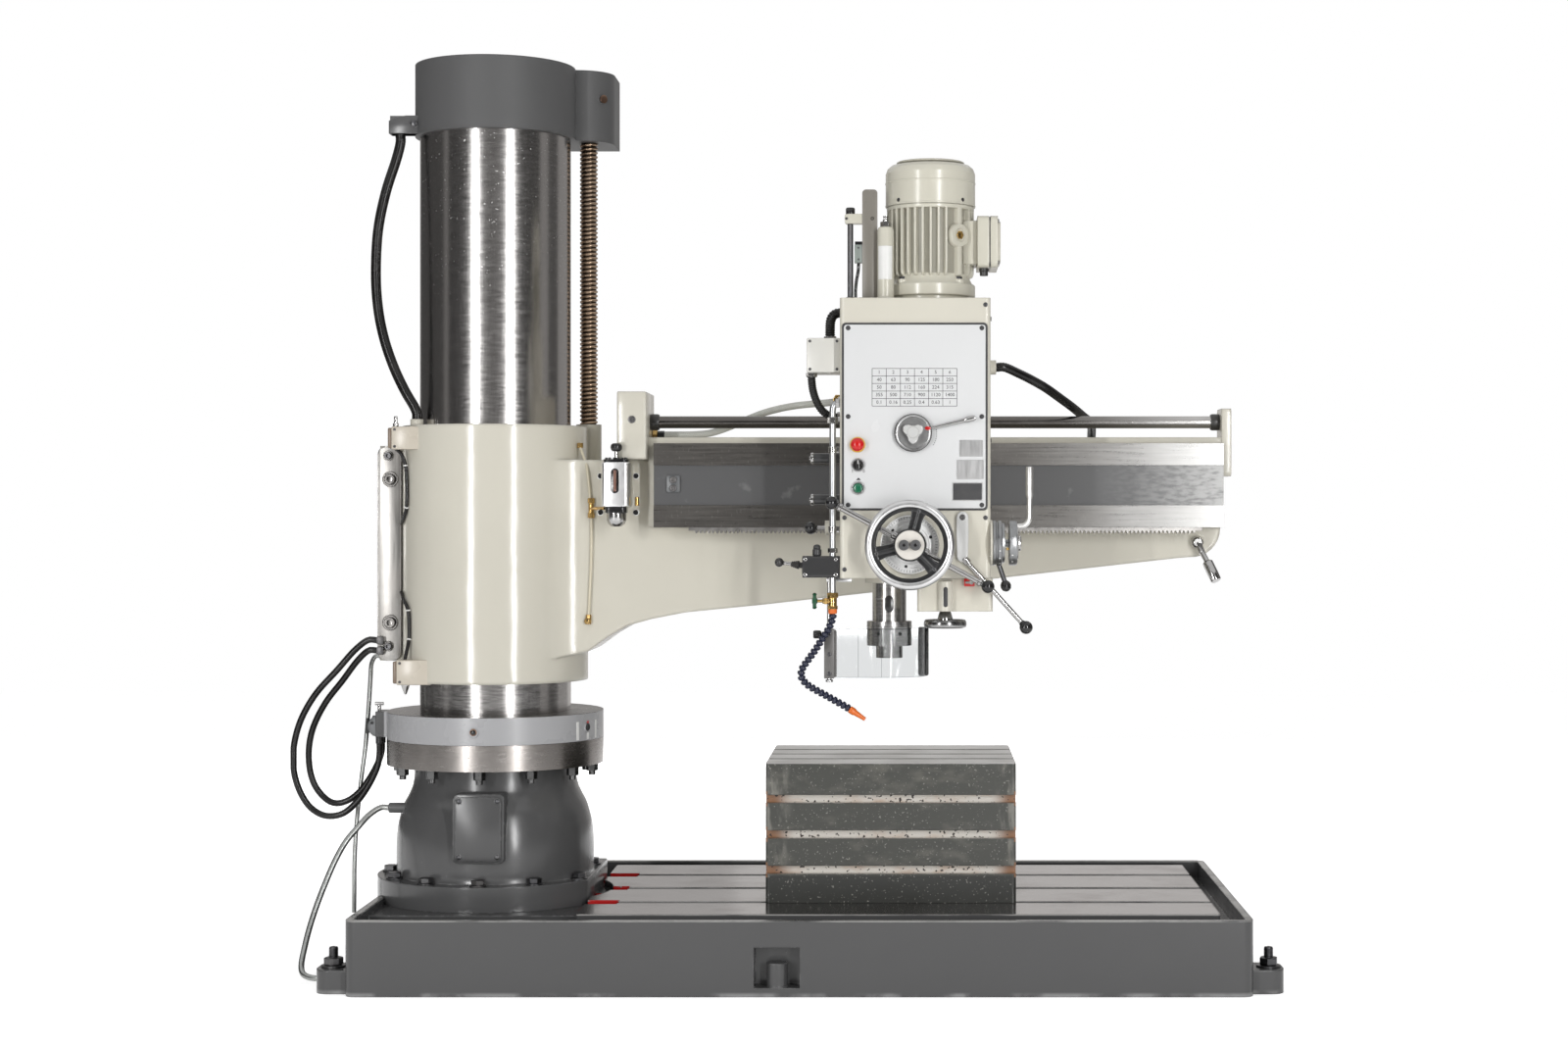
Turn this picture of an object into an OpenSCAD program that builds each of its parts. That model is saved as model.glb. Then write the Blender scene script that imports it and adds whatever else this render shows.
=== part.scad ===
// Radial arm drill. Origin: the column's axis at floor level.
// +X runs along the arm, +Y away from the operator, +Z up. Millimetres.

/* [Base] */
// Column axis to the base's left end
base_left = 250; // [246:2:280]
// Column axis to the base's right end
base_right = 1717; // [1650:5:1900]
// Base front to back
base_depth = 960; // [920:10:1100]
// Floor to the deck
base_h = 165; // [155:5:190]
// Rim thickness
rim_w = 16; // [12:1:20]
// Deck front to back
deck_depth = 780; // [740:10:820]
// Width of the gutter at the right end
gutter_w = 46; // [36:2:60]
// Depth of the gutter
gutter_drop = 45; // [30:5:50]
// Height of a foot lug
lug_h = 52; // [40:2:60]
// Foot lug beyond the base's end
lug_out = 72; // [66:1:90]
// Width of a foot lug
lug_w = 100; // [80:5:120]
// Radius of an anchor stud
anchor_r = 10; // [8:1:12]

/* [T-slots] */
// Throat width of the base's T-slots
slot_w = 28; // [24:1:30]
// Width under the lips
slot_head_w = 46; // [42:1:50]
// Height under the lips
slot_head_h = 20; // [16:1:22]
// Lip thickness
slot_lip = 20; // [16:1:22]
// Spacing of the base's T-slots
slot_pitch = 215; // [180:5:240]
// Length of a slot's widened end
slot_entry = 72; // [60:2:90]

/* [Box table] */
// Table's left face from the column axis
table_x = 647; // [600:5:700]
// Table length
table_w = 566; // [520:2:600]
// Table depth
table_d = 460; // [420:5:500]
// Table height
table_h = 315; // [300:1:320]
// Throat width of the table's slots
table_slot_w = 18; // [16:1:20]
// Width under the lips of the table's slots
table_slot_head = 32; // [28:1:34]
// Height under the lips of the table's slots
table_slot_head_h = 14; // [12:1:16]
// Lip thickness of the table's slots
table_slot_lip = 14; // [12:1:16]
// Spacing of the table's top slots
table_top_pitch = 115; // [100:5:130]
// Spacing of the table's front slots
table_side_pitch = 80; // [70:2:84]

/* [Pedestal] */
// Radius of the pedestal's flange
flange_r = 272; // [266:1:280]
// Height of the pad the pedestal stands on
pad_h = 148; // [140:1:150]
// Flange thickness
flange_h = 57; // [45:1:60]
// Flange's flat side from the column axis
flange_cut = 235; // [232:1:236]
// Radius of the flange bolt circle
flange_bolt_r = 246; // [242:1:250]
// Radius of the bell's foot
bell_r = 233; // [226:1:234]
// Radius of the pedestal's neck
neck_r = 187; // [180:1:190]
// Top of the pedestal
pedestal_top = 462; // [455:1:470]
// Width of the pedestal's cover plate
cover_w = 104; // [90:2:110]
// Height of the pedestal's cover plate
cover_h = 144; // [130:2:150]

/* [Column] */
// Radius of the column sleeve
column_r = 175; // [174:0.5:176]
// Sleeve wall
column_wall = 20; // [16:1:22]
// Top of the sleeve
column_top = 1924; // [1900:2:1980]
// Radius of the inner post
post_r = 130; // [120:1:134]
// Radius of the clamp rings
ring_r = 251; // [246:1:251]
// Thickness of the lower clamp ring
lower_ring_h = 59; // [55:1:62]
// Thickness of the upper clamp ring
upper_ring_h = 62.7; // [58:0.1:66]
// Radius of the cap
cap_r = 186; // [184:1:190]
// Height of the cap
cap_h = 166; // [150:2:180]
// Elevating screw from the column axis, along the arm
screw_x = 209; // [208:0.5:212]
// Elevating screw behind the column axis
screw_y = 75; // [72:1:80]
// Radius of the elevating screw
screw_r = 21; // [18:0.5:22]

/* [Arm] */
// Bottom of the arm's barrel
barrel_bottom = 656; // [650:2:670]
// Top of the arm's barrel
barrel_top = 1248; // [1240:2:1270]
// Radius of the barrel
barrel_r = 215; // [212:1:216]
// Column axis to the arm's end
arm_end = 1687; // [1660:1:1750]
// Top of the arm
arm_top = 1219; // [1216:1:1221]
// Half depth of the arm's web
arm_half = 120; // [110:2:122]
// Front face of the ways
way_front = 200; // [196:1:204]
// Top of the upper way
way_top = 1204; // [1200:1:1206]
// Bottom of the lower way
way_bottom = 1013; // [1010:1:1016]
// Height of each ground way
way_h = 50; // [44:1:54]
// Radius of the stop bar
bar_r = 14; // [11:0.5:15]

/* [Head] */
// Head's left side
head_x = 824; // [822:1:826]
// Head's width
head_w = 321; // [316:1:326]
// Head's front face
head_front = 560; // [550:1:570]
// Head's bottom
head_bottom = 906; // [904:1:908]
// Head's top
head_top = 1503; // [1498:1:1530]
// Head's wall
head_wall = 12; // [9:1:13]
// Spindle axis along the arm
spindle_x = 928; // [927:0.5:929]
// Spindle axis in front of the column axis
spindle_y = 400; // [396:1:404]
// Radius of the quill
quill_r = 37; // [35:0.5:38]
// Radius of the spindle
spindle_r = 22; // [20:0.5:23]
// Radius of the motor
motor_r = 98; // [92:1:99]

/* [Controls] */
// Handwheel axis along the arm
wheel_x = 973; // [972:0.5:973.5]
// Handwheel axis height
wheel_z = 978; // [977.5:0.5:978.5]
// Radius of the traverse wheel
wheel_r = 95; // [80:1:100]
// Handle-ball circle of the feed levers
lever_r = 187; // [160:1:195]
// Radius of the black balls
ball_r = 14; // [11:0.5:14]
// Radius of the fine feed wheel
fine_r = 46; // [38:1:46]
// Radius of the speed dial
dial_r = 40; // [32:1:42]

/* [Hidden] */
$fn = 64;

// Radial clearance of a running fit
fit = 0.05;
// Gap between faces that slide past each other
gap = 0.3;
// Overshoot of a cut past the face it opens
cut = 5;
// Bore of a threaded or bolted hole round its own stud
hole_play = 0.3;

deck_right = base_right - rim_w - gutter_w;
pad_right = flange_cut + 5;
pad_half = 300;
gutter_z = base_h - gutter_drop;
lug_y = 396;
lower_ring_z = pedestal_top;
upper_ring_z = lower_ring_z + lower_ring_h + gap;
sleeve_z = upper_ring_z + upper_ring_h;
flange_top = pad_h + flange_h;
cap_top = column_top + cap_h;
sleeve_bore = column_r - column_wall;
ledge_z = 1168;
beam_x = 374;
table_top = base_h + table_h;
head_right = head_x + head_w;
head_back = way_front + 6;
panel_t = 6;
panel_y = head_front + panel_t;
bar_y = -105;
bar_z = 1255;
quill_lip = 809;
quill_collar = 53;
nose_h = 27;
quill_bottom = quill_lip - quill_collar;
quill_top = 1222;
gear_z = quill_top + 18.3;
gear_h = 15;
spindle_top = gear_z + gear_h + 225;
motor_x = spindle_x + 90;
motor_base = head_top;
fin_z = motor_base + 57;
cover_z = motor_base + 210;
motor_top = cover_z + 92;
pipe_x = 808;
pipe_y = -530;
pipe_r = 7;
guard_rod = [800, -500];
guard_z = [690, 796];

// The limits in v, counted from c
function around(c, v) = [for (d = v) c + d];

// Boxes and round bars between limits along each axis
module block(x, y, z)
    translate([x[0], y[0], z[0]]) cube([x[1] - x[0], y[1] - y[0], z[1] - z[0]]);
module rod_z(r, z, at) translate([at[0], at[1], z[0]]) cylinder(r = r, h = z[1] - z[0]);
module rod_x(r, x, at) translate([x[0], at[0], at[1]]) rotate([0, 90, 0]) cylinder(r = r, h = x[1] - x[0]);
module rod_y(r, y, at) translate([at[0], y[0], at[1]]) rotate([-90, 0, 0]) cylinder(r = r, h = y[1] - y[0]);
module hex_z(r, z, at) translate([at[0], at[1], z[0]]) cylinder(r = r, h = z[1] - z[0], $fn = 6);
module hex_y(r, y, at)
    translate([at[0], y[0], at[1]]) rotate([-90, 0, 0]) cylinder(r = r, h = y[1] - y[0], $fn = 6);

// Round bar from point a to point b
module link(a, b, r) {
    d = b - a;
    translate(a) rotate([0, acos(d[2] / norm(d)), atan2(d[1], d[0])]) cylinder(r = r, h = norm(d));
}

// Flat outline with rounded corners
module round_rect(w, h, r) {
    translate([r, 0]) square([w - 2 * r, h]);
    translate([0, r]) square([w, h - 2 * r]);
    for (x = [r, w - r], y = [r, h - r]) translate([x, y]) circle(r);
}
module slab_z(x, y, z, r)
    translate([x[0], y[0], z[0]]) linear_extrude(z[1] - z[0]) round_rect(x[1] - x[0], y[1] - y[0], r);
module slab_y(x, y, z, r)
    translate([x[0], y[1], z[0]]) rotate([90, 0, 0])
        linear_extrude(y[1] - y[0]) round_rect(x[1] - x[0], z[1] - z[0], r);
module slab_x(x, y, z, r)
    translate([x[0], y[0], z[0]]) rotate([90, 0, 90])
        linear_extrude(x[1] - x[0]) round_rect(y[1] - y[0], z[1] - z[0], r);

// Involute gear and rack outlines with backlash for a free mesh
backlash = 0.5;
pressure = 20;
addendum = 0.8;
dedendum = 1.1;
function involute(rb, t) = [rb * (cos(t) + t * PI / 180 * sin(t)), rb * (sin(t) - t * PI / 180 * cos(t))];
function roll(r, rb) = r <= rb ? 0 : sqrt(pow(r / rb, 2) - 1) * 180 / PI;
function polar(p) = atan2(p[1], p[0]);
module gear_2d(m, z) {
    rp = m * z / 2;
    rb = rp * cos(pressure);
    tip = rp + addendum * m;
    root = rp - dedendum * m;
    half = 90 / z - backlash / (2 * rp) * 180 / PI + polar(involute(rb, roll(rp, rb)));
    flank = [for (i = [0:4]) let (r = rb + (tip - rb) * i / 4) let (p = involute(rb, roll(r, rb)))
        [norm(p), half - polar(p)]];
    one = concat([[root - 1, half]], flank);
    circle(root);
    for (k = [0:z - 1]) rotate(k * 360 / z)
        polygon(concat([for (p = one) p[0] * [cos(p[1]), -sin(p[1])]],
            [for (i = [len(one) - 1:-1:0]) one[i][0] * [cos(one[i][1]), sin(one[i][1])]]));
}
// Rack outline along X with its pitch line at Y = 0, teeth down, centred on a tooth gap at X = 0
module rack_2d(m, left, right, back) {
    p = PI * m;
    tip = (p / 2 - backlash) / 2 - addendum * m * tan(pressure);
    root = (p / 2 - backlash) / 2 + dedendum * m * tan(pressure);
    first = ceil((left + p) / p);
    last = floor((right - p) / p) - 1;
    polygon(concat([[left, back], [left, dedendum * m]],
        [for (k = [first:last]) let (c = (k + 0.5) * p) each [[c - root, dedendum * m],
            [c - tip, -addendum * m], [c + tip, -addendum * m], [c + root, dedendum * m]]],
        [[right, dedendum * m], [right, back]]));
}

// Tube swept along a route: one polyhedron with a ring at each point
function unit(v) = v / norm(v);
function tangent(p, i) = unit(p[min(i + 1, len(p) - 1)] - p[max(i - 1, 0)]);
function ring(p, i, r, sides, side_way) =
    let (t = tangent(p, i), a = unit(cross(t, side_way)), b = cross(t, a))
    [for (k = [0:sides - 1]) p[i] + r * (a * cos(360 * k / sides) + b * sin(360 * k / sides))];
module tube(p, r, sides = 10, side_way = [0, 1, 0]) {
    n = len(p);
    radii = is_list(r) ? r : [for (i = [0:n - 1]) r];
    points = [for (i = [0:n - 1]) each ring(p, i, radii[i], sides, side_way)];
    walls = [for (i = [0:n - 2], k = [0:sides - 1]) let (q = (k + 1) % sides)
        each [[i * sides + k, (i + 1) * sides + k, i * sides + q],
            [i * sides + q, (i + 1) * sides + k, (i + 1) * sides + q]]];
    ends = [for (k = [1:sides - 2]) each [[0, k, k + 1],
        [(n - 1) * sides, (n - 1) * sides + k + 1, (n - 1) * sides + k]]];
    polyhedron(points, concat(walls, ends));
}
// Rounds a route's corners: each pass cuts every corner at a quarter
function chaikin(p) = concat([p[0]],
    [for (i = [0:len(p) - 2]) each [0.75 * p[i] + 0.25 * p[i + 1], 0.25 * p[i] + 0.75 * p[i + 1]]],
    [p[len(p) - 1]]);

// Routes of the cords and hoses
conduit_route = [[-212, -60, 1925], [-212, -60, 1905], [-222, -61, 1865], [-245, -65, 1790],
    [-262, -70, 1700], [-266, -74, 1600], [-260, -78, 1520], [-245, -84, 1450], [-222, -90, 1385],
    [-195, -98, 1330], [-172, -103, 1292], [-165, -104, 1275], [-165, -104, 1262]];
conduit_r = 12;
loop_outer_route = [[-266, -62, 750], [-288, -62, 750], [-320, -60, 725], [-360, -58, 680], [-410, -55, 625],
    [-445, -52, 565], [-462, -50, 505], [-463, -50, 450], [-450, -48, 400], [-425, -46, 360],
    [-390, -44, 340], [-350, -42, 345], [-315, -40, 375], [-288, -39, 415], [-270, -38, 455],
    [-265, -38, 485], [-265, -38, 508]];
loop_inner_route = [[-266, -62, 726], [-286, -62, 726], [-315, -54, 700], [-350, -45, 655], [-390, -38, 605],
    [-420, -30, 550], [-433, -24, 500], [-433, -20, 450], [-422, -18, 410], [-400, -16, 380],
    [-375, -15, 366], [-345, -14, 372], [-315, -14, 395], [-290, -14, 430], [-272, -14, 465],
    [-265, -14, 490], [-265, -14, 508]];
loop_r = 7.5;
supply_route = [[-276, 24, 708], [-288, 24, 708], [-297, 23, 690], [-299, 22, 660], [-301, 20, 620],
    [-304, 15, 560], [-308, 10, 500], [-316, 5, 430], [-323, 0, 360], [-328, -5, 290],
    [-330, -10, 220], [-330, -12, 160], [-330, -14, 110]];
supply_r = 5.5;
return_route = [[-236, -72, 362], [-256, -72, 362], [-279, -86, 347], [-300, -105, 322], [-325, -120, 290],
    [-345, -138, 250], [-362, -155, 205], [-378, -175, 155], [-390, -198, 105], [-396, -222, 62],
    [-396, -250, 32], [-388, -275, 16], [-372, -292, 10], [-352, -300, 8], [-330, -302, 8]];
return_r = 7;
rear_route = [[1165, -300, 1370], [1185, -300, 1370], [1215, -285, 1358], [1245, -262, 1345],
    [1280, -225, 1328], [1315, -170, 1308], [1350, -105, 1288], [1380, -30, 1270], [1400, 55, 1262],
    [1408, 115, 1250], [1410, 148, 1228], [1410, 158, 1195], [1410, 158, 1165], [1410, 158, 1140]];
rear_r = 10.5;
braided_route = [[378, -55, 1227.5], [400, -55, 1227.5], [430, -56, 1227.5], [470, -57, 1228],
    [510, -57, 1232], [550, -56, 1245], [590, -52, 1262], [630, -48, 1278], [670, -47, 1289],
    [710, -50, 1296], [745, -62, 1299], [775, -90, 1300], [795, -130, 1300], [808, -175, 1300],
    [812, -215, 1300], [812, -250, 1300]];
braided_r = 8;
nozzle_route = [[808, -530, 839], [808, -530, 822], [799, -530, 797], [785, -530, 775],
    [772, -530, 754], [757, -530, 733], [744, -530, 714], [741, -530, 696], [752, -530, 680],
    [770, -530, 668], [792, -530, 656], [815, -530, 643], [838, -530, 630], [856, -530, 618],
    [873, -530, 607]];
nozzle_r = 8.5;
nozzle_neck = 6;

module t_slot(x, w, lip, head_w, head_h) {
    block(x, [-w / 2, w / 2], [-lip - head_h, cut]);
    block(x, [-head_w / 2, head_w / 2], [-lip - head_h, -lip]);
}

lug_xs = [-base_left - lug_out + 32, base_right + lug_out - 30];
pocket = [636, 735];
pocket_z = [20, 107];
rib_pitch = 185;
rib_gap = 160;
rib_pitch_y = 190;
rib_gap_y = 158;
rib_ceiling = 90;
module base_casting() color([0.36, 0.36, 0.36]) difference() {
    union() {
        slab_z([-base_left, base_right], [-base_depth / 2, base_depth / 2], [0, base_h], 24);
        for (s = [-1, 1]) {
            lug = around(s * lug_y, [-lug_w, lug_w] / 2);
            slab_z([-base_left - lug_out, 0], lug, [0, lug_h], 30);
            slab_z([deck_right, base_right + lug_out], lug, [0, lug_h], 30);
        }
    }
    difference() {
        slab_z([rim_w - base_left, base_right - rim_w], [rim_w - base_depth / 2, base_depth / 2 - rim_w],
            [gutter_z, base_h + cut], 12);
        slab_z([pad_right, deck_right], [-deck_depth, deck_depth] / 2, [gutter_z - cut, base_h], 6);
        block([-base_left, pad_right + 10], [-pad_half, pad_half], [gutter_z - cut, pad_h]);
    }
    rod_z(flange_r + 2, [pad_h, base_h + cut], [0, 0]);
    for (k = [-1:1]) translate([0, k * slot_pitch, base_h]) {
        t_slot([pad_right - 10, deck_right + cut], slot_w, slot_lip, slot_head_w, slot_head_h);
        block([pad_right - 10, pad_right + slot_entry], [-slot_head_w / 2 - 6, slot_head_w / 2 + 6],
            [-slot_lip - slot_head_h, cut]);
    }
    for (x = [pad_right + 100:rib_pitch:deck_right - rib_gap], y = [-1.5:1.5])
        translate([x, y * rib_pitch_y, 0])
            block([-rib_gap, rib_gap] / 2, [-rib_gap_y, rib_gap_y] / 2, [-cut, rib_ceiling]);
    difference() {
        block(pocket, [-base_depth / 2 - cut, -base_depth / 2 + 50], pocket_z);
        rod_z(23, [0, pocket_z[0] + 52], [(pocket[0] + pocket[1]) / 2, -base_depth / 2 + 24]);
    }
    for (x = lug_xs, s = [-1, 1]) rod_z(anchor_r + hole_play, [-cut, lug_h + cut], [x, s * lug_y]);
    for (a = flange_angles)
        rod_z(bolt_r + hole_play, [pad_h - 32, pad_h + cut], flange_bolt_r * [cos(a), sin(a)]);
}

bolt_r = 8;
bolt_head_r = 16;
flange_angles = [for (a = [30:30:330]) a];
module base_bolts() color([0.3, 0.3, 0.31]) {
    for (x = lug_xs, s = [-1, 1]) {
        rod_z(anchor_r, [4, lug_h + 45], [x, s * lug_y]);
        hex_z(anchor_r * 2.1, [lug_h, lug_h + 20], [x, s * lug_y]);
    }
    for (a = flange_angles) {
        rod_z(bolt_r, [pad_h - 30, flange_top + 2], flange_bolt_r * [cos(a), sin(a)]);
        hex_z(bolt_head_r, [flange_top, flange_top + 15], flange_bolt_r * [cos(a), sin(a)]);
    }
}

cover_mid = 333;
cover_face = 240;
post_seat = pad_h + 40;
module pedestal() color([0.36, 0.36, 0.36]) difference() {
    union() {
        translate([0, 0, pad_h]) linear_extrude(flange_h) intersection() {
            union() {
                circle(flange_r);
                square([flange_r, 224]);
            }
            translate([-flange_r, -flange_r]) square([flange_r + flange_cut, 2 * flange_r]);
        }
        rotate_extrude() polygon([[0, pad_h + 5], [flange_r - 46, pad_h + 5], [flange_r - 46, flange_top],
            [bell_r - 5, flange_top + 6], [bell_r - 4, flange_top + 30],
            [bell_r - 5, flange_top + 75], [bell_r - 8, flange_top + 112], [bell_r - 14, flange_top + 140],
            [bell_r - 22, flange_top + 164], [bell_r - 33, flange_top + 185], [neck_r + 5, flange_top + 204],
            [neck_r + 1, flange_top + 225], [neck_r, pedestal_top], [0, pedestal_top]]);
        slab_y([-cover_w / 2 - 6, cover_w / 2 + 6], [-cover_face, -post_r - 20],
            [cover_mid - cover_h / 2 - 6, cover_mid + cover_h / 2 + 6], 10);
        rod_x(11, [-236, -post_r - 40], [-72, 362]);
    }
    rod_z(post_r + fit, [post_seat, pedestal_top + cut], [0, 0]);
    block([12 - cover_w / 2, cover_w / 2 - 12], [-cover_face - cut, -post_r - 30],
        [cover_mid - cover_h / 2 + 22, cover_mid + cover_h / 2 - 22]);
    for (a = flange_angles)
        rod_z(bolt_r + hole_play, [pad_h - cut, flange_top + cut], flange_bolt_r * [cos(a), sin(a)]);
}

module pedestal_cover() color([0.4, 0.4, 0.4]) {
    slab_y([-cover_w / 2, cover_w / 2], [-cover_face - 5, -cover_face],
        [cover_mid - cover_h / 2, cover_mid + cover_h / 2], 8);
    for (x = [-1, 1], z = [-1, 1])
        rod_y(5, [-cover_face - 9, -cover_face - 5],
            [x * (cover_w / 2 - 9), cover_mid + z * (cover_h / 2 - 9)]);
}

post_top = column_top - 74;
module inner_post() color([0.6, 0.6, 0.62]) difference() {
    union() {
        rod_z(post_r, [post_seat, post_top], [0, 0]);
        for (z = [sleeve_z + 16, post_top - 70]) rod_z(sleeve_bore - fit, [z, z + 60], [0, 0]);
    }
    rod_z(post_r - 30, [post_seat + 60, post_top + cut], [0, 0]);
}

ring_nut_r = 226;
module lower_ring() color([0.8, 0.8, 0.82]) difference() {
    union() {
        rod_z(ring_r, [lower_ring_z, lower_ring_z + lower_ring_h], [0, 0]);
        for (a = [0:30:330]) {
            hex_z(14, [lower_ring_z - 20, lower_ring_z + 1], ring_nut_r * [cos(a), sin(a)]);
            rod_z(8, [lower_ring_z - 30, lower_ring_z + 1], ring_nut_r * [cos(a), sin(a)]);
        }
    }
    rod_z(post_r + 1, [lower_ring_z - cut, sleeve_z], [0, 0]);
}

table_mid = base_h + 155;
module box_table() color([0.33, 0.35, 0.33]) difference() {
    slab_z([table_x, table_x + table_w], [-table_d, table_d] / 2, [base_h, table_top], 8);
    for (k = [-1:1]) {
        translate([0, k * table_top_pitch, table_top])
            t_slot([table_x - cut, table_x + table_w + cut], table_slot_w, table_slot_lip,
                table_slot_head, table_slot_head_h);
        translate([0, -table_d / 2, table_mid + k * table_side_pitch]) rotate([90, 0, 0])
            t_slot([table_x - cut, table_x + table_w + cut], table_slot_w, table_slot_lip,
                table_slot_head, table_slot_head_h);
    }
    block([table_x + 60, table_x + table_w - 60], [70 - table_d / 2, table_d / 2 - 50],
        [base_h - cut, table_top - 60]);
}

module return_hose() color([0.45, 0.45, 0.46]) tube(return_route, return_r, 8, [0.3, 0.9, 0.1]);

module column_sleeve() color([0.85, 0.85, 0.87]) difference() {
    rod_z(column_r, [sleeve_z, column_top], [0, 0]);
    rod_z(sleeve_bore, [sleeve_z - cut, column_top + cut], [0, 0]);
}

lock_x = -ring_r - 21;
lock_z = upper_ring_z + 27;
module upper_ring() color([0.75, 0.75, 0.74]) difference() {
    union() {
        rod_z(ring_r, [upper_ring_z, sleeve_z], [0, 0]);
        for (a = [-92, -25]) rotate([0, 0, a])
            rod_x(11, [ring_r - 10, ring_r + 3], [0, upper_ring_z + 29]);
        block([lock_x, 8 - ring_r], [-52, 20], [upper_ring_z + 3, sleeve_z - 1]);
        rod_x(24, [lock_x - 12, lock_x + 1], [-20, lock_z]);
        rod_x(5, [lock_x - 24, lock_x], [-20, lock_z]);
        rod_z(4, [lock_z - 18, lock_z + 18], [lock_x - 25, -20]);
        for (y = [-38, -14]) rod_z(9, [508, upper_ring_z + 4], [-265, y]);
    }
    rod_z(post_r + 1, [upper_ring_z - cut, sleeve_z + cut], [0, 0]);
}

cap_corner = 80;
cap_x = screw_x + 59;
cap_back = screw_y + 125;
module column_cap() color([0.3, 0.3, 0.3]) difference() {
    union() {
        rod_z(cap_r, [column_top, cap_top], [0, 0]);
        translate([0, 0, column_top]) linear_extrude(cap_h) {
            translate([0, screw_y - 55]) square([cap_x - cap_corner, cap_back - screw_y + 55]);
            translate([0, screw_y - 55 + cap_corner]) square([cap_x, cap_back - screw_y + 55 - cap_corner]);
            translate([cap_x - cap_corner, screw_y - 55 + cap_corner]) circle(cap_corner);
        }
        block([-75, 75], [120, motor_y], [column_top + 8, cap_top - 8]);
        translate([cap_x - cap_corner, screw_y - 55 + cap_corner, column_top + 100]) rotate([0, 0, -46])
            rod_x(9, [cap_corner - 10, cap_corner + 6], [0, 0]);
        block([-232, -160], [-80, -40], [column_top + 1, column_top + 42]);
    }
    rod_z(sleeve_bore - 5, [column_top - cut, cap_top - 15], [0, 0]);
    rod_z(screw_r + fit, [column_top - cut, column_top + 76], [screw_x, screw_y]);
}

motor_y = cap_back + 9;
lift_motor_z = column_top + 83;
module elevating_motor() color([0.35, 0.36, 0.38]) {
    slab_y([-70, 70], [motor_y, motor_y + 14], around(lift_motor_z, [-66, 66]), 12);
    difference() {
        rod_y(66, [motor_y + 14, motor_y + 200], [0, lift_motor_z]);
        for (a = [0:15:345]) translate([0, 0, lift_motor_z]) rotate([0, a, 0])
            block([60, 70], [motor_y + 35, motor_y + 180], [-4, 4]);
    }
    rod_y(70, [motor_y + 200, motor_y + 245], [0, lift_motor_z]);
}

module column_conduit() color([0.12, 0.12, 0.12]) tube(conduit_route, conduit_r, 10);

screw_bottom = 1110;
screw_core = screw_r - 2.5;
thread_pitch = 10;
module elevating_screw() color([0.62, 0.62, 0.63]) rod_z_thread([screw_bottom, column_top + 72]);
module rod_z_thread(z) translate([screw_x, screw_y, 0]) rotate_extrude()
    polygon(concat([[0, z[0]]], [[screw_r, z[0]]], [[screw_r, z[0] + thread_pitch]],
        [for (k = [1:floor((column_top - 10 - z[0]) / thread_pitch) - 1]) let (b = z[0] + k * thread_pitch)
            each [[screw_core, b + 1], [screw_core, b + 4.5], [screw_r, b + 5.5],
                [screw_r, b + thread_pitch]]],
        [[screw_r, z[1]], [0, z[1]]]));

root_x = 100;
end_r = 66;
// Fillet between the barrel and the beam, and its centre
fillet_r = 150;
fillet_y = arm_half + fillet_r;
fillet_x = sqrt(pow(barrel_r + fillet_r, 2) - pow(fillet_y, 2));
function arc(cx, cz, r, from, to, steps) =
    [for (i = [0:steps]) let (a = from + (to - from) * i / steps) [cx + r * cos(a), cz + r * sin(a)]];
arm_profile = concat([[root_x, ledge_z], [root_x, 700], [232, 727], [277, 760], [322, 786], [380, 802],
    [457, 817], [638, 835], [arm_end - 98, 942]], arc(arm_end - end_r, 1010, end_r, -94, 0, 8),
    [[arm_end, arm_top], [beam_x, arm_top], [beam_x, ledge_z]]);
handle_x = arm_end - 55;
handle_z = 978;
module arm_plan() {
    translate([root_x, -arm_half]) square([arm_end - root_x, 2 * arm_half]);
    difference() {
        translate([root_x, -160]) square([fillet_x - root_x, 320]);
        for (s = [-1, 1]) translate([fillet_x, s * fillet_y]) circle(fillet_r);
    }
}
lubricator_x = [276, 340];
clamp_lug = [-262, -180];
module arm_casting() color([0.82, 0.8, 0.74]) difference() {
    union() {
        rod_z(barrel_r, [barrel_bottom, barrel_top], [0, 0]);
        intersection() {
            translate([0, barrel_r, 0]) rotate([90, 0, 0]) linear_extrude(2 * barrel_r) polygon(arm_profile);
            linear_extrude(barrel_top) arm_plan();
        }
        block([beam_x, arm_end], [-way_front + 48, 0], [way_bottom, arm_top]);
        for (z = [way_bottom, way_top - way_h])
            block([beam_x + 17, arm_end - 1], [-way_front, -way_front + 49], [z, z + way_h]);
        block([beam_x + 17, arm_end - 1], [6 - way_front, -way_front + 49], [way_bottom, way_top]);
        block(clamp_lug, [-45, 45], [702, 1202]);
        slab_y([lubricator_x[0] + 6, lubricator_x[1] - 6], [-180, 0], [1060, 1160], 6);
        rod_z(15, [barrel_top - 20, 1262], [-165, -104]);
        rod_y(14, [-140, 0], [handle_x, handle_z]);
        slab_y([1382, 1438], [arm_half - 1, 185], [1070, 1140], 6);
    }
    rod_z(column_r + fit, [barrel_bottom - cut, 1262 + cut], [0, 0]);
    block([clamp_lug[0] - cut, 0], [-3, 3], [barrel_bottom - cut, barrel_top + cut]);
    rod_z(screw_r + 3, [barrel_bottom, barrel_top + cut], [screw_x, screw_y]);
    rod_z(nut_r + 1, [ledge_z, barrel_top + cut], [screw_x, screw_y]);
}

nut_r = 30;
module elevating_nut() color([0.7, 0.62, 0.4]) difference() {
    rod_z(nut_r, [ledge_z, ledge_z + 88], [screw_x, screw_y]);
    rod_z(screw_r + fit, [ledge_z - cut, ledge_z + 88 + cut], [screw_x, screw_y]);
}

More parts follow.
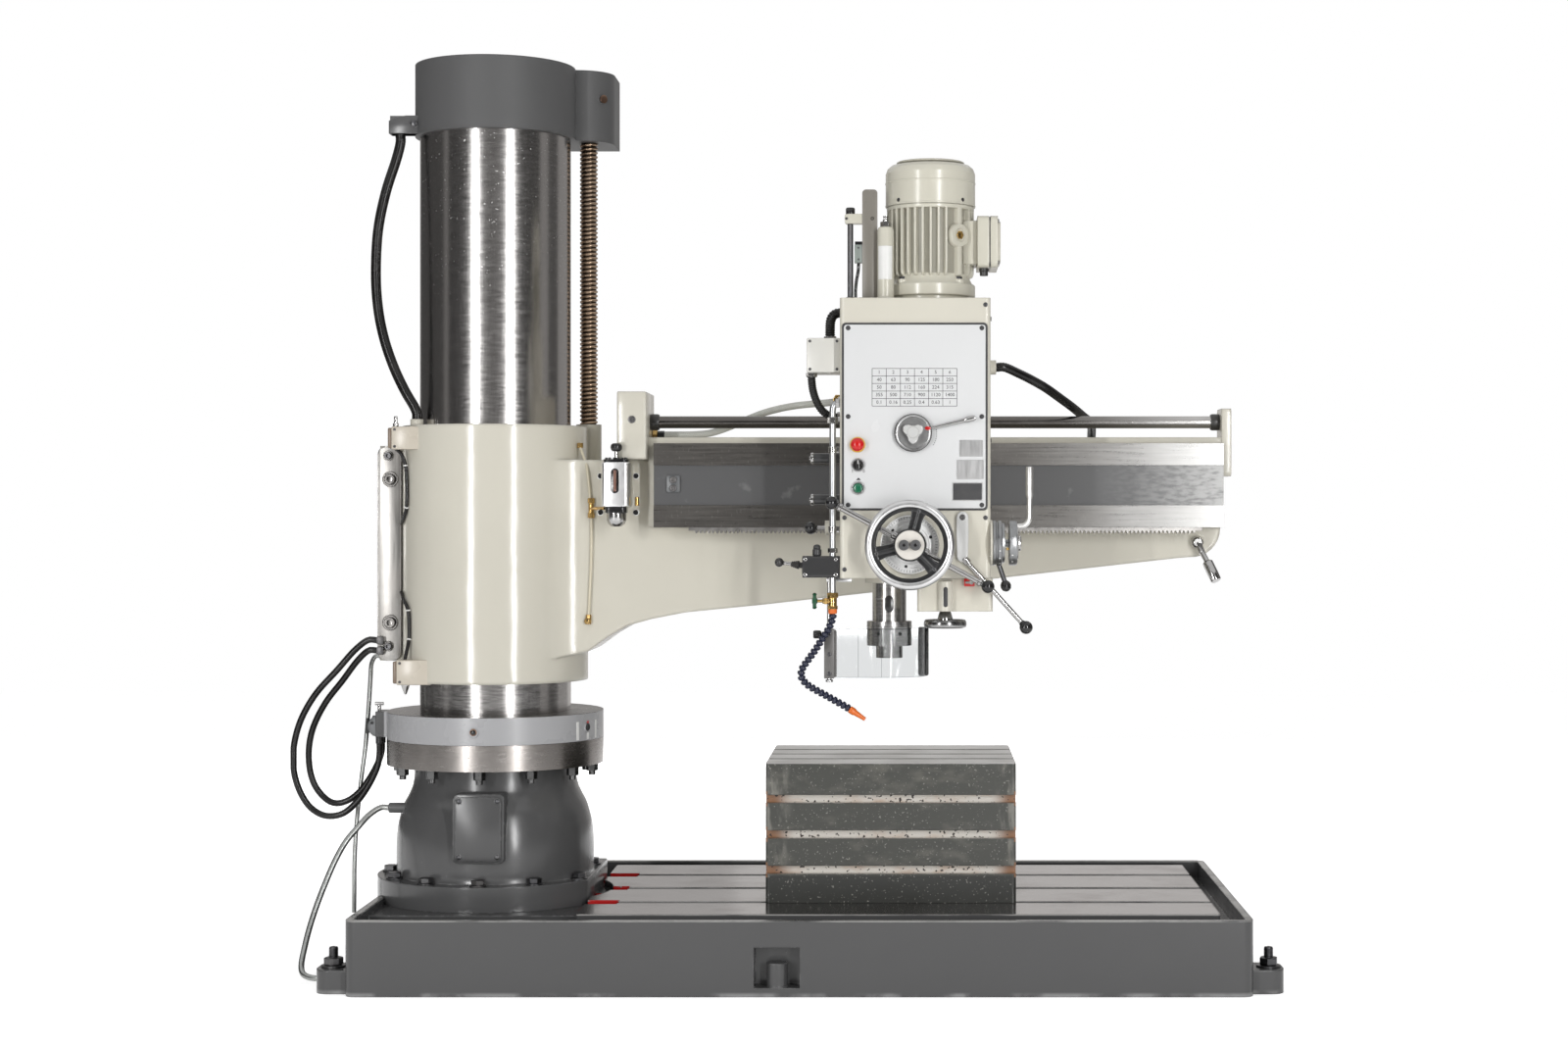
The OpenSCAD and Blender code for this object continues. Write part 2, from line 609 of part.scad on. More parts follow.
rack_m = 3;
rack_teeth = 16;
rack_line = wheel_z + rack_m * rack_teeth / 2;
rack_y = [-way_front + 4, -way_front + 30];
module traverse_rack() color([0.6, 0.6, 0.6])
    translate([wheel_x, rack_y[1], rack_line]) rotate([90, 0, 0]) linear_extrude(rack_y[1] - rack_y[0])
        rack_2d(rack_m, 470 - wheel_x, arm_end - 50 - wheel_x, way_bottom - rack_line);

buffer_r = 19;
module stop_bar() color([0.75, 0.75, 0.76]) {
    slab_y([beam_x - 67, beam_x], [5 - way_front, -20], [ledge_z, ledge_z + 154], 4);
    rod_y(9, [-2 - way_front, 5 - way_front], [beam_x - 33, ledge_z + 90]);
    rod_x(bar_r, [beam_x, arm_end], [bar_y, bar_z]);
    for (x = [[beam_x, beam_x + 20], [arm_end - 22, arm_end]]) rod_x(buffer_r, x, [bar_y, bar_z]);
    slab_x([arm_end, arm_end + 22], [-152, -60], [1130, 1285], 4);
}

module pull_handle() color([0.75, 0.75, 0.76]) {
    translate([handle_x, -148, handle_z]) {
        sphere(8);
        link([0, 0, 0], [9, -12, -23], 8);
        link([8, -12, -21], [42, -44, -96], 10.5);
    }
}

clamp_plate = [-266, -211];
module barrel_clamp() color([0.72, 0.72, 0.74]) {
    slab_y(clamp_plate, [-57, -45], [702, 1202], 6);
    for (b = [[-240, 1179, 9], [-236, 1124, 17], [-236, 791, 17], [-240, 736, 9]])
        hex_y(b[2], [-57 - b[2] * 0.8, -57], [b[0], b[1]]);
    for (z = [726, 750]) slab_y([-266, -250], [-70, -57], around(z, [-9, 9]), 3);
    slab_z([-276, -262], [14, 34], [700, 716], 2);
}

module limit_switches() color([0.2, 0.22, 0.24]) {
    difference() {
        union() {
            slab_y([-222, -150], [-150, -115], [1191, 1244], 4);
            rod_z(5, [1240, 1268], [-208, -132]);
            rod_y(6, [-150, -125], [-214, 1205]);
        }
        rod_z(barrel_r + gap, [1100, 1300], [0, 0]);
    }
    difference() {
        union() {
            slab_y([-206, -120], [-172, -130], [653, 710], 4);
            translate([-182, -151, 630]) cylinder(r1 = 5, r2 = 10, h = 24);
        }
        rod_z(barrel_r + gap, [600, 800], [0, 0]);
    }
}

pump = [(lubricator_x[0] + lubricator_x[1]) / 2, -210];
oil_route = [[232, -126, 1160], [233, -126, 1140], [236, -126, 1090], [240, -126, 1040], [241, -126, 990],
    [240, -126, 930], [237, -126, 860], [234, -126, 795]];
module lubricator() color([0.66, 0.67, 0.66]) {
    difference() {
        union() {
            slab_z(lubricator_x, [-240, -180], [1060, 1160], 12);
            slab_z(lubricator_x + [4, -4], [-236, -184], [1048, 1167], 10);
            rod_z(22, [1015, 1049], pump);
        }
        rod_z(5 + fit, [1120, 1180], pump);
    }
    tube(oil_route, 3.5, 8);
    difference() {
        rod_z(7, [1035, 1050], [240, -127]);
        rod_z(4.2, [1030, 1055], [240, -126]);
        block([220, 260], [-121, -110], [1000, 1080]);
    }
}
module lubricator_knob() color([0.08, 0.08, 0.08]) {
    rod_z(5, [1125, 1190], pump);
    rod_z(13, [1186, 1204], pump);
}

module loop_cables() color([0.1, 0.1, 0.1]) {
    tube(loop_outer_route, loop_r, 8);
    tube(loop_inner_route, loop_r, 8);
}
module supply_hose() color([0.5, 0.5, 0.5]) tube(supply_route, supply_r, 8);

guide_r = 53;
feed_m = 2.5;
feed_teeth = 16;
feed_line = wheel_x - feed_m * feed_teeth / 2;
saddle_x = [head_x + 9, head_right - 9];
hook_x = [[head_x + 9, wheel_x - 38], [wheel_x + 38, head_right - 40]];
selector_y = -536;
selector_z = 981;
start_at = [1085, 1036];
dial_at = [980, 1215];
estop_at = [862, 1190];
switch_at = [863, 1147];
green_at = [863, 1098];
module head_casing() color([0.82, 0.8, 0.74]) difference() {
    union() {
        difference() {
            slab_z([head_x, head_right], [-head_front, -head_back], [head_bottom, head_top], 10);
            block([head_x + head_wall, head_right - head_wall],
                [head_wall - head_front, -head_back - head_wall],
                [head_bottom + head_wall, head_top - head_wall]);
        }
        rod_z(guide_r, [893, 948], [spindle_x, -spindle_y]);
        for (z = [[1040, 1090], [quill_top + 4, gear_z - gap]])
            block(around(spindle_x, [-guide_r, guide_r]), [-spindle_y - guide_r, -head_back - 2], z);
        block(saddle_x, [-head_back - 2, -70], [arm_top + 4, bar_z + 35]);
        block(saddle_x, [-head_back - 2, -way_front + 48 - gap], [way_top + gap, arm_top + 5]);
        for (x = hook_x) {
            block(x, [-head_back - 2, -arm_half - 5], [952, 975]);
            block(x, [rack_y[1] + 5, -arm_half - 5], [974, way_bottom - gap]);
        }
        block([hook_x[0][1] - 2, hook_x[1][0] + 2], bridge_y, [974, 992]);
        rod_x(16, [head_right - 2, head_right + 20], [-300, 1370]);
        rod_x(50, [head_right - 1, head_right + 4], [selector_y, selector_z]);
    }
    rod_z(quill_r + fit, [800, quill_top + 3], [spindle_x, -spindle_y]);
    rod_z(24 + fit, [quill_top, gear_z], [spindle_x, -spindle_y]);
    rod_z(13, [head_top - 20, head_top + cut], [motor_x, -spindle_y]);
    rod_x(bar_r + 3, [head_x, head_right], [bar_y, bar_z]);
    rod_y(15 + fit, [-head_front - cut, -head_front + 20], [wheel_x, wheel_z]);
    rod_y(9 + fit, [-head_back - 20, -head_back + cut], [wheel_x, wheel_z]);
    rod_x(14 + fit, [head_right - 20, head_right + 10], [selector_y, selector_z]);
    rod_y(7 + fit, [-head_front - cut, -head_front + 20], start_at);
    rod_y(8 + fit, [-head_front - cut, -head_front + 20], dial_at);
    for (p = [estop_at, switch_at, green_at]) rod_y(6 + fit, [-head_front - cut, -head_front + 20], p);
    // the control shafts' corner stays clear of the drum's bore
    block([head_right - 40, head_right - head_wall], [head_wall - head_front, -500], [940, 1010]);
}

panel_x = [head_x + 9, head_right - 11];
panel_z = [1055, 1445];
module front_panel() color([0.8, 0.79, 0.74]) difference() {
    union() {
        slab_y(panel_x, [-panel_y, -head_front], panel_z, 8);
        rod_y(16, [-panel_y - 7, -panel_y + 1], estop_at);
        rod_y(13, [-panel_y - 4, -panel_y + 1], switch_at);
        rod_y(13.5, [-panel_y - 6, -panel_y + 1], green_at);
    }
    rod_y(8 + hole_play, [-panel_y - cut, -head_front + cut], dial_at);
    for (p = [estop_at, switch_at]) rod_y(6 + hole_play, [-panel_y - 10, -head_front + cut], p);
    rod_y(6 + hole_play, [-panel_y - 10, -head_front + cut], green_at);
    rod_y(10.5, [-panel_y - 10, -panel_y + 1], green_at);
}

fine_at = [1049, -500];
module feed_box() color([0.8, 0.78, 0.72]) difference() {
    union() {
        slab_z([989, 1150], [-545, -430], [835, head_bottom], 8);
        rod_z(15, [836, 900], [1049, -552]);
    }
    rod_z(8 + fit, [830, 880], fine_at);
}

motor_at = [motor_x, -spindle_y];
fins = 30;
module motor_frame() color([0.45, 0.47, 0.5]) difference() {
    union() {
        translate([motor_at[0], motor_at[1], 0]) rotate_extrude() polygon([[0, motor_base], [84, motor_base],
            [84, motor_base + 13], [motor_r, motor_base + 13], [motor_r, motor_base + 39],
            [92, motor_base + 44], [82, fin_z], [82, cover_z - 8], [motor_r - 2, cover_z - 8],
            [motor_r - 2, cover_z], [0, cover_z]]);
        for (k = [0:fins - 1]) translate([motor_at[0], motor_at[1], 0]) rotate([0, 0, k * 360 / fins])
            block([78, motor_r - 3], [-1.6, 1.6], [fin_z - 2, cover_z - 7]);
        slab_x([motor_x + 70, 1119], [-446, -354], [motor_base + 82, motor_base + 178], 4);
    }
    rod_z(64, [motor_base + 25, cover_z - 14], motor_at);
    rod_z(12 + fit, [motor_base - cut, cover_z + cut], motor_at);
}

module fan_cover() color([0.4, 0.42, 0.45]) translate([motor_at[0], motor_at[1], 0]) difference() {
    rotate_extrude() polygon([[motor_r - 3, cover_z], [motor_r, cover_z], [motor_r, motor_top - 20],
        [motor_r - 4, motor_top - 9], [motor_r - 12, motor_top - 2], [motor_r - 20, motor_top],
        [0, motor_top], [0, motor_top - 3], [motor_r - 21, motor_top - 3], [motor_r - 14, motor_top - 5],
        [motor_r - 7, motor_top - 11], [motor_r - 3, motor_top - 21]]);
    for (k = [0:11], r = [35, 55, 75]) rotate([0, 0, k * 30])
        block([r - 7, r + 7], [-2.5, 2.5], [motor_top - 8, motor_top + cut]);
}

module terminal_box() color([0.42, 0.44, 0.47]) {
    slab_x([1119, 1164], [-470, -330], around(motor_base, [74, 186]), 8);
    slab_x([1164, 1170], [-466, -334], around(motor_base, [78, 182]), 8);
    rod_z(9, [motor_base + 57, motor_base + 74], [1134, -440]);
}

tank_at = [921, -482];
module accumulator() color([0.75, 0.76, 0.76]) {
    rod_z(18, [head_top, head_top + 159], tank_at);
    hex_z(11, [head_top + 159, head_top + 170], tank_at);
    rod_z(6, [head_top + 170, head_top + 183], tank_at);
}

trip_rod = [844, -452];
module depth_trip() color([0.7, 0.7, 0.7]) {
    slab_y([870, 903], [-468, -460], [head_top, head_top + 242], 3);
    block([862, 902], [-476, -452], [head_top, head_top + 8]);
    rod_z(6.5, [head_top, head_top + 174], trip_rod);
    rod_z(11, [head_top, head_top + 10], trip_rod);
    rod_z(10, [head_top + 188, head_top + 204], trip_rod);
    slab_y([832, 900], [-466, -440], [head_top + 168, head_top + 190], 4);
    slab_y([853, 871], [-466, -442], [head_top + 84, head_top + 130], 3);
}

hose_top = [[824, -445, 1479], [815, -445, 1479], [806, -446, 1473], [801, -448, 1461], [800, -450, 1440],
    [800, -450, 1420]];
hose_low = [[762, -500, 1346], [762, -500, 1330], [765, -500, 1308], [773, -500, 1284], [787, -500, 1263],
    [806, -500, 1252], [824, -500, 1252]];
module junction_box() color([0.75, 0.74, 0.7]) {
    slab_x([752, 824], [-525, -420], [1346, 1420], 6);
    tube(hose_top, 11, 10);
    tube(hose_low, 9, 10);
}

module coolant_pipe() color([0.75, 0.75, 0.76]) {
    difference() {
        union() {
            rod_z(pipe_r, [874, 1280], [pipe_x, pipe_y]);
            translate([pipe_x, pipe_y, 1280]) sphere(pipe_r);
            rod_x(pipe_r, [pipe_x, head_x], [pipe_y, 1280]);
            for (z = [1010, 1180]) block([pipe_x - 2, head_x], around(pipe_y, [-5, 5]), around(z, [-8, 8]));
            slab_z([pipe_x - 11, pipe_x + 11], around(pipe_y, [-11, 11]), [839, 875], 3);
        }
        rod_x(4 + fit, [pipe_x - 11 - cut, pipe_x - 3], [pipe_y, 857]);
    }
    block([guard_rod[0] - 6, 848], around(guard_rod[1], [-6, 6]), [head_bottom - 9, head_bottom]);
    rod_z(5, [guard_z[0] - 3, head_bottom - 9], guard_rod);
    rod_z(8, [guard_z[0] - 8, guard_z[0] - 3], guard_rod);
}

stick_at = [764, -520, 930];
pivot_r = 12.7;
knob_at = [-480, 1013];
module joystick_housing() color([0.15, 0.15, 0.15]) {
    difference() {
        slab_x([stick_at[0] - 20, head_x], around(stick_at[1], [-26, 26]), around(stick_at[2], [-23, 23]), 6);
        block([stick_at[0] - 20 - cut, stick_at[0]], around(stick_at[1], [-13, 13]),
            around(stick_at[2], [-16, 17]));
        rod_y(pivot_r + gap, around(stick_at[1], [-13, 13]), [stick_at[0], stick_at[2]]);
        rod_z(pipe_r + 2 * gap, [900, 960], [pipe_x, pipe_y]);
    }
    for (z = [1163, 1074]) rod_x(11, [765, 824], [-480, z]);
    difference() {
        rod_x(16, [790, 824], knob_at);
        rod_x(5 + fit, [780, 823], knob_at);
    }
}

module rear_conduit() color([0.1, 0.1, 0.1]) tube(rear_route, rear_r, 10, [0.2, 0.3, 0.9]);
module braided_hose() color([0.8, 0.8, 0.75]) tube(chaikin(braided_route), braided_r, 8, [0.1, 0.1, 1]);

dial_front = -head_front - 24;
// Front of the traverse wheel's hub, its rim's middle and the cap in front of it
hub_front = -head_front - 92;
rim_y = -head_front - 78;
cap_y = [hub_front - 16, hub_front - 4];
// Bridge that carries the back end of the wheel's clamp spindle
bridge_y = [-165, -150];
module wheel_dial() color([0.7, 0.7, 0.7]) {
    difference() {
        rod_y(58, [dial_front, -head_front], [wheel_x, wheel_z]);
        rod_y(15 + fit, [dial_front - cut, cut - head_front], [wheel_x, wheel_z]);
    }
    difference() {
        union() {
            rod_y(31, cap_y, [wheel_x, wheel_z]);
            rod_y(5, [cap_y[0] + 8, bridge_y[0]], [wheel_x, wheel_z]);
        }
        for (s = [-12, 12]) rod_y(3 + fit, [cap_y[0] - 2, cap_y[1] + 6], [wheel_x + s, wheel_z]);
    }
}

rotor_z = [gear_z, cover_z + 60];
module motor_rotor() color([0.6, 0.6, 0.62]) {
    translate([motor_at[0], motor_at[1], gear_z]) rotate([0, 0, 10]) linear_extrude(gear_h) gear_2d(2.5, 18);
    rod_z(12, rotor_z, motor_at);
    rod_z(58, [motor_base + 40, cover_z - 30], motor_at);
    difference() {
        rod_z(82, [cover_z + 20, cover_z + 50], motor_at);
        for (k = [0:7]) translate([motor_at[0], motor_at[1], 0]) rotate([0, 0, k * 45 + 4])
            block([25, 90], [0, 34], [cover_z + 26, cover_z + 60]);
    }
}

module drive_gear() color([0.6, 0.58, 0.5]) difference() {
    translate([spindle_x, -spindle_y, 0]) union() {
        translate([0, 0, gear_z]) linear_extrude(gear_h) gear_2d(2.5, 54);
        rod_z(24, [quill_top + 5, gear_z + 1], [0, 0]);
    }
    rod_z(16 + fit, [quill_top, gear_z + gear_h + cut], [spindle_x, -spindle_y]);
}

module quill() color([0.78, 0.78, 0.8]) difference() {
    union() {
        intersection() {
            rod_z(quill_r, [quill_lip - 1, quill_top], [spindle_x, -spindle_y]);
            union() {
                rod_z(quill_r + 1, [quill_lip - 1, 880], [spindle_x, -spindle_y]);
                translate([feed_line, -spindle_y + 50, wheel_z]) rotate([90, 0, 0]) linear_extrude(100)
                    rotate(90) rack_2d(feed_m, 870 - wheel_z, quill_top - wheel_z, 100);
            }
        }
        rod_z(49, [quill_bottom, quill_lip], [spindle_x, -spindle_y]);
    }
    rod_z(spindle_r + fit, [quill_bottom - cut, quill_top + cut], [spindle_x, -spindle_y]);
}

module spindle() color([0.72, 0.72, 0.74]) difference() {
    union() {
        rod_z(29, [quill_bottom - nose_h, quill_bottom - gap], [spindle_x, -spindle_y]);
        rod_z(spindle_r, [quill_bottom - 1, quill_top], [spindle_x, -spindle_y]);
        rod_z(16, [quill_top - 1, spindle_top], [spindle_x, -spindle_y]);
    }
    translate([spindle_x, -spindle_y, quill_bottom - nose_h - 1]) cylinder(r1 = 15.7, r2 = 13, h = 104);
}

hub_y = [-head_front - 52, -head_front - 28];
lever_angle = 151.8;
module feed_levers() color([0.78, 0.78, 0.8]) difference() {
    union() {
        rod_y(15, [hub_y[0], -spindle_y + 15], [wheel_x, wheel_z]);
        rod_y(32, hub_y, [wheel_x, wheel_z]);
        translate([wheel_x, -spindle_y + 15, wheel_z]) rotate([90, 0, 0]) linear_extrude(30)
            gear_2d(feed_m, feed_teeth);
        for (a = [lever_angle, lever_angle + 180]) translate([wheel_x, (hub_y[0] + hub_y[1]) / 2, wheel_z])
            rotate([0, -a, 0]) {
                rod_x(6.5, [20, lever_r - 5], [0, 0]);
                translate([lever_r, 0, 0]) sphere(ball_r);
            }
    }
    rod_y(9 + fit, [hub_y[0] - cut, -spindle_y + 30], [wheel_x, wheel_z]);
}

spoke_angle = 75;
module traverse_wheel() color([0.2, 0.2, 0.2]) difference() {
    union() {
        rod_y(9, [hub_front, rack_y[1]], [wheel_x, wheel_z]);
        rod_y(26, [hub_front, hub_y[0] - 1], [wheel_x, wheel_z]);
        translate([wheel_x, rack_y[1], wheel_z]) rotate([90, 0, 0]) linear_extrude(rack_y[1] - rack_y[0])
            rotate(90) gear_2d(rack_m, rack_teeth);
        translate([wheel_x, rim_y, wheel_z]) rotate([90, 0, 0]) rotate_extrude()
            translate([wheel_r - 10, 0]) circle(10);
        for (k = [0:2]) translate([wheel_x, rim_y, wheel_z]) rotate([0, -spoke_angle - 120 * k, 0])
            rod_x(7, [15, wheel_r - 10], [0, 0]);
    }
    rod_y(5 + fit, [hub_front - 3, bridge_y[1]], [wheel_x, wheel_z]);
}

module fine_feed_wheel() color([0.2, 0.2, 0.2]) {
    difference() {
        rod_z(fine_r, [799, 817], fine_at);
        for (k = [0:2]) translate([fine_at[0], fine_at[1], 0]) rotate([0, 0, 60 + 120 * k])
            rod_z(11, [790, 820], [fine_r * 0.58, 0]);
    }
    translate([fine_at[0], fine_at[1], 817]) cylinder(r1 = 18, r2 = 12, h = 16);
    rod_z(8, [830, 875], fine_at);
}

module speed_dial() color([0.12, 0.12, 0.12]) {
    rod_y(8, [-panel_y - 2, -head_front + 16], dial_at);
    rod_y(dial_r, [-panel_y - 12, -panel_y - 1], dial_at);
    rod_y(14, [-panel_y - 32, -panel_y - 11], dial_at);
    for (a = [30, 150, 270]) translate([dial_at[0], 0, dial_at[1]]) rotate([0, -a, 0])
        rod_y(9, [-panel_y - 32, -panel_y - 11], [15, 0]);
    translate([dial_at[0], -panel_y, dial_at[1]]) {
        link([30, -7, 8], [111, -14, 28], 4);
        translate([111, -14, 28]) sphere(6);
    }
}

drum_r = 48;
module feed_selector() color([0.25, 0.25, 0.25]) difference() {
    union() {
        rod_x(drum_r, around(head_right, [4 + gap, 30]), [selector_y, selector_z]);
        rod_x(14, around(head_right, [-16, 10]), [selector_y, selector_z]);
        translate([head_right, selector_y, selector_z]) {
            link([17, 0, -44], [33, 0, -90], 5);
            translate([33, 0, -93]) sphere(11);
        }
    }
    rod_x(8 + fit, around(head_right, [-25, 40]), [selector_y, selector_z]);
}
module speed_crank() color([0.22, 0.22, 0.22]) {
    rod_x(8, around(head_right, [-24, 45]), [selector_y, selector_z]);
    rod_x(drum_r, around(head_right, [40, 57]), [selector_y, selector_z]);
    rod_x(17, around(head_right, [56, 65]), [selector_y, selector_z]);
    link([head_right + 50, selector_y, selector_z + 40], [head_right + 81, selector_y, selector_z + 100], 6);
    rod_z(7.5, around(selector_z, [97, 159]), [head_right + 81, selector_y]);
    translate([head_right + 81, selector_y, selector_z + 159]) sphere(7.5);
}

module start_lever() color([0.85, 0.84, 0.8]) {
    rod_y(7, [-head_front - 8, -head_front + 18], start_at);
    slab_y(around(start_at[0], [-12, 12]), [-head_front - 14, -head_front - 2],
        [940, start_at[1] + 12], 11.9);
    link([start_at[0] + 3, -head_front - 8, 948], [1214, -head_front - 8, 808], 5);
    translate([1220, -head_front - 8, 802]) sphere(ball_r);
}

// One turned piece along Z: an optional pivot ball, a stem and a hand ball
module ball_lever(length, stem_r, pivot_r, from) rotate_extrude() intersection() {
    union() {
        circle(pivot_r);
        translate([-stem_r, from]) square([2 * stem_r, length - from]);
        translate([0, length]) circle(ball_r);
    }
    translate([0, -length]) square([length, 3 * length]);
}

module joystick() color([0.1, 0.1, 0.1])
    translate(stick_at) rotate([0, -82.5, 0]) ball_lever(68.5, 5, pivot_r, 0);

guard_c = [912, -400];
guard_r = 98;
module chip_guard() color([0.85, 0.88, 0.9, 0.5]) difference() {
    union() {
        intersection() {
            difference() {
                rod_z(guard_r, guard_z, guard_c);
                rod_z(guard_r - 4, [guard_z[0] - cut, guard_z[1] + cut], guard_c);
            }
            block([guard_c[0] - 120, guard_c[0] + 120], [-520, guard_c[1]], guard_z);
        }
        slab_z(around(guard_rod[0], [-11, 11]), around(guard_rod[1], [-11, 11]), guard_z, 4);
        block([guard_rod[0] + 8, guard_c[0] + 3], [-503, -496], guard_z + [25, -15]);
        slab_z([991, 1014], [guard_c[1] - 14, guard_c[1] + 2], guard_z, 3);
        rod_x(3, [guard_rod[0] - 30, guard_rod[0] - 8], [guard_rod[1], guard_z[1] - 12]);
        rod_x(9, [guard_rod[0] - 35, guard_rod[0] - 17], [guard_rod[1], guard_z[1] - 12]);
    }
    rod_z(5 + fit, [guard_z[0] - cut, guard_z[1] + cut], guard_rod);
}

module coolant_nozzle() color([0.1, 0.25, 0.75]) {
    route = chaikin(nozzle_route);
    tube(route, [for (i = [0:len(route) - 1]) i > len(route) - 4 ? nozzle_neck - 2 :
        i % 2 == 0 ? nozzle_r : nozzle_neck], 12);
}

module valve_wheel() color([0.1, 0.45, 0.2]) {
    difference() {
        rod_x(18, [764, 776], [pipe_y, 857]);
        for (k = [0:5]) translate([0, pipe_y, 857]) rotate([k * 60, 0, 0]) rod_x(4, [760, 780], [18, 0]);
    }
    rod_x(4, [775, pipe_x - 4], [pipe_y, 857]);
}

module pull_knob() color([0.1, 0.1, 0.1]) {
    translate([808, knob_at[0], knob_at[1]]) rotate([0, -90, 0]) ball_lever(49, 5, 5, -5);
}

module estop_button() color([0.8, 0.1, 0.1]) {
    translate([estop_at[0], 0, estop_at[1]]) rotate([90, 0, 0]) rotate_extrude()
        polygon([[0, head_front - 8], [6, head_front - 8], [6, panel_y + 11], [12, panel_y + 11],
            [14, panel_y + 13], [14, panel_y + 18], [12, panel_y + 22], [8, panel_y + 24],
            [0, panel_y + 24.5]]);
}
module start_button() color([0.1, 0.5, 0.2]) {
    rod_y(6, [-panel_y - 5, -head_front + 8], green_at);
    rod_y(10, [-panel_y - 9, -panel_y - 4], green_at);
}
module selector_switch() color([0.1, 0.1, 0.1]) {
    rod_y(6, [-panel_y - 5, -head_front + 8], switch_at);
    rod_y(11, [-panel_y - 10, -panel_y - 4 - gap], switch_at);
    slab_y(around(switch_at[0], [-3.5, 3.5]), [-panel_y - 20, -panel_y - 9],
        around(switch_at[1], [-11, 11]), 3);
}
module hub_button(side) {
    rod_y(11, [cap_y[0] - 12, cap_y[0] - 5], [wheel_x + side, wheel_z]);
    rod_y(3, [cap_y[0] - 6, cap_y[0] + 6], [wheel_x + side, wheel_z]);
}
module clamp_button() color([0.45, 0.45, 0.45]) hub_button(-12);
module release_button() color([0.45, 0.45, 0.45]) hub_button(12);

base_casting();
base_bolts();
pedestal();
pedestal_cover();
inner_post();
lower_ring();
box_table();
return_hose();
column_sleeve();
upper_ring();
column_cap();
elevating_motor();
column_conduit();
elevating_screw();
arm_casting();
elevating_nut();
traverse_rack();
stop_bar();
pull_handle();
barrel_clamp();
limit_switches();
lubricator();
lubricator_knob();
loop_cables();
supply_hose();
head_casing();
front_panel();
feed_box();
motor_frame();
fan_cover();
terminal_box();
accumulator();
depth_trip();
junction_box();
coolant_pipe();
joystick_housing();
rear_conduit();
braided_hose();
wheel_dial();
motor_rotor();
drive_gear();
quill();
spindle();
feed_levers();
traverse_wheel();
fine_feed_wheel();
speed_dial();
speed_crank();
feed_selector();
start_lever();
joystick();
chip_guard();
coolant_nozzle();
valve_wheel();
pull_knob();
estop_button();
start_button();
selector_switch();
clamp_button();
release_button();
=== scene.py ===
"""Radial arm drill: the finishes and the finer shapes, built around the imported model.

Metres. The origin is the column's axis at floor level, +X runs along the arm,
+Y away from the operator and +Z up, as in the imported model.
"""

from math import acos, cos, degrees, radians, sin, tau

import bmesh
import bpy
from mathutils import Matrix, Vector


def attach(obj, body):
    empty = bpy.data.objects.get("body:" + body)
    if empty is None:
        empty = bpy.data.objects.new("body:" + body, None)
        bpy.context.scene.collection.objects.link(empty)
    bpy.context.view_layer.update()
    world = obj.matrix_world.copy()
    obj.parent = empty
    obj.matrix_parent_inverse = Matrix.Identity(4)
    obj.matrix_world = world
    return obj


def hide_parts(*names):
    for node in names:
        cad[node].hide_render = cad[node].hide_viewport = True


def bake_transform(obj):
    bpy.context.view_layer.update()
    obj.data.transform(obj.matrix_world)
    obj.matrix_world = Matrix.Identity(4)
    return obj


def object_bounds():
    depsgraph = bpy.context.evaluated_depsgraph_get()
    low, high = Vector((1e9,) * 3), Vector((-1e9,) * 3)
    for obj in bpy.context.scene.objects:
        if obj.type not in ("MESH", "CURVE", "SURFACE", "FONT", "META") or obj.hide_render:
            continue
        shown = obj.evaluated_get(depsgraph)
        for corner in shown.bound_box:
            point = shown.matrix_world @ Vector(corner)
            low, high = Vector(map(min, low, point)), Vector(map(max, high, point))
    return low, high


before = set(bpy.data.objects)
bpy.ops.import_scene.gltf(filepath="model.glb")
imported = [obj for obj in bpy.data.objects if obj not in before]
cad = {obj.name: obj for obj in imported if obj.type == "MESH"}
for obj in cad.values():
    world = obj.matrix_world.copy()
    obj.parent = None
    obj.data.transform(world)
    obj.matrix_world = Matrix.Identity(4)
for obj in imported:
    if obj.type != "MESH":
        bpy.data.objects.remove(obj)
cad_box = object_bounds()
scene = bpy.context.scene


# Studio
# A pale floor under a white surround, seen from the operator's side at chest height. Two tall narrow
# lamps give the paint its upright highlights, a wide one lights the far side, and dark boards that
# only gloss sees give the chrome something to mirror.
CAMERA_AT = (0.9764, -5.895, 1.0375)
CAMERA_LENS = 57.6
CAMERA_SHIFT = (-0.08125, -0.0041)
SURROUND_LIGHT = 0.42
FLOOR_HALF = 9.0
LAMP_TURNS = (-21.0, 31.0)
LAMP_SIZE = (0.13, 2.6)
LAMP_WATTS, LAMP_AWAY, LAMP_Z = 90.0, 5.2, 1.45
BACK_AT, BACK_SIZE, BACK_WATTS = (0.6, 5.6, 2.0), 3.0, 150.0
BOARD_RADIUS, BOARD_Z, BOARD_STEPS = 4.6, (0.02, 3.6), 12
BOARD_TURNS = ((-150.0, -74.0, 0.07), (-74.0, -66.0, 0.26), (-66.0, -25.5, 0.05), (-16.5, 26.5, 0.15),
    (35.5, 79.0, 0.06), (79.0, 95.0, 0.32), (95.0, 117.0, 0.1), (117.0, 150.0, 0.36), (150.0, 177.0, 0.62),
    (177.0, 210.0, 0.48))


def feed(socket, value):
    """Links a socket to another one, or sets its value."""
    if isinstance(value, bpy.types.NodeSocket):
        socket.id_data.links.new(value, socket)
    else:
        socket.default_value = value


def node(tree, kind, sockets=None, **settings):
    made = tree.nodes.new("ShaderNode" + kind)
    for name, value in settings.items():
        setattr(made, name, value)
    for name, value in (sockets or {}).items():
        feed(made.inputs[name], value)
    return made


def either(mask, *others):
    """The greatest of several masks."""
    for other in others:
        mask = calc("MAXIMUM", mask, other)
    return mask


def give(shader, **values):
    """Feeds a shader's sockets, each named with underscores for its spaces."""
    for label, value in values.items():
        feed(shader.inputs[label.replace("_", " ")], value)


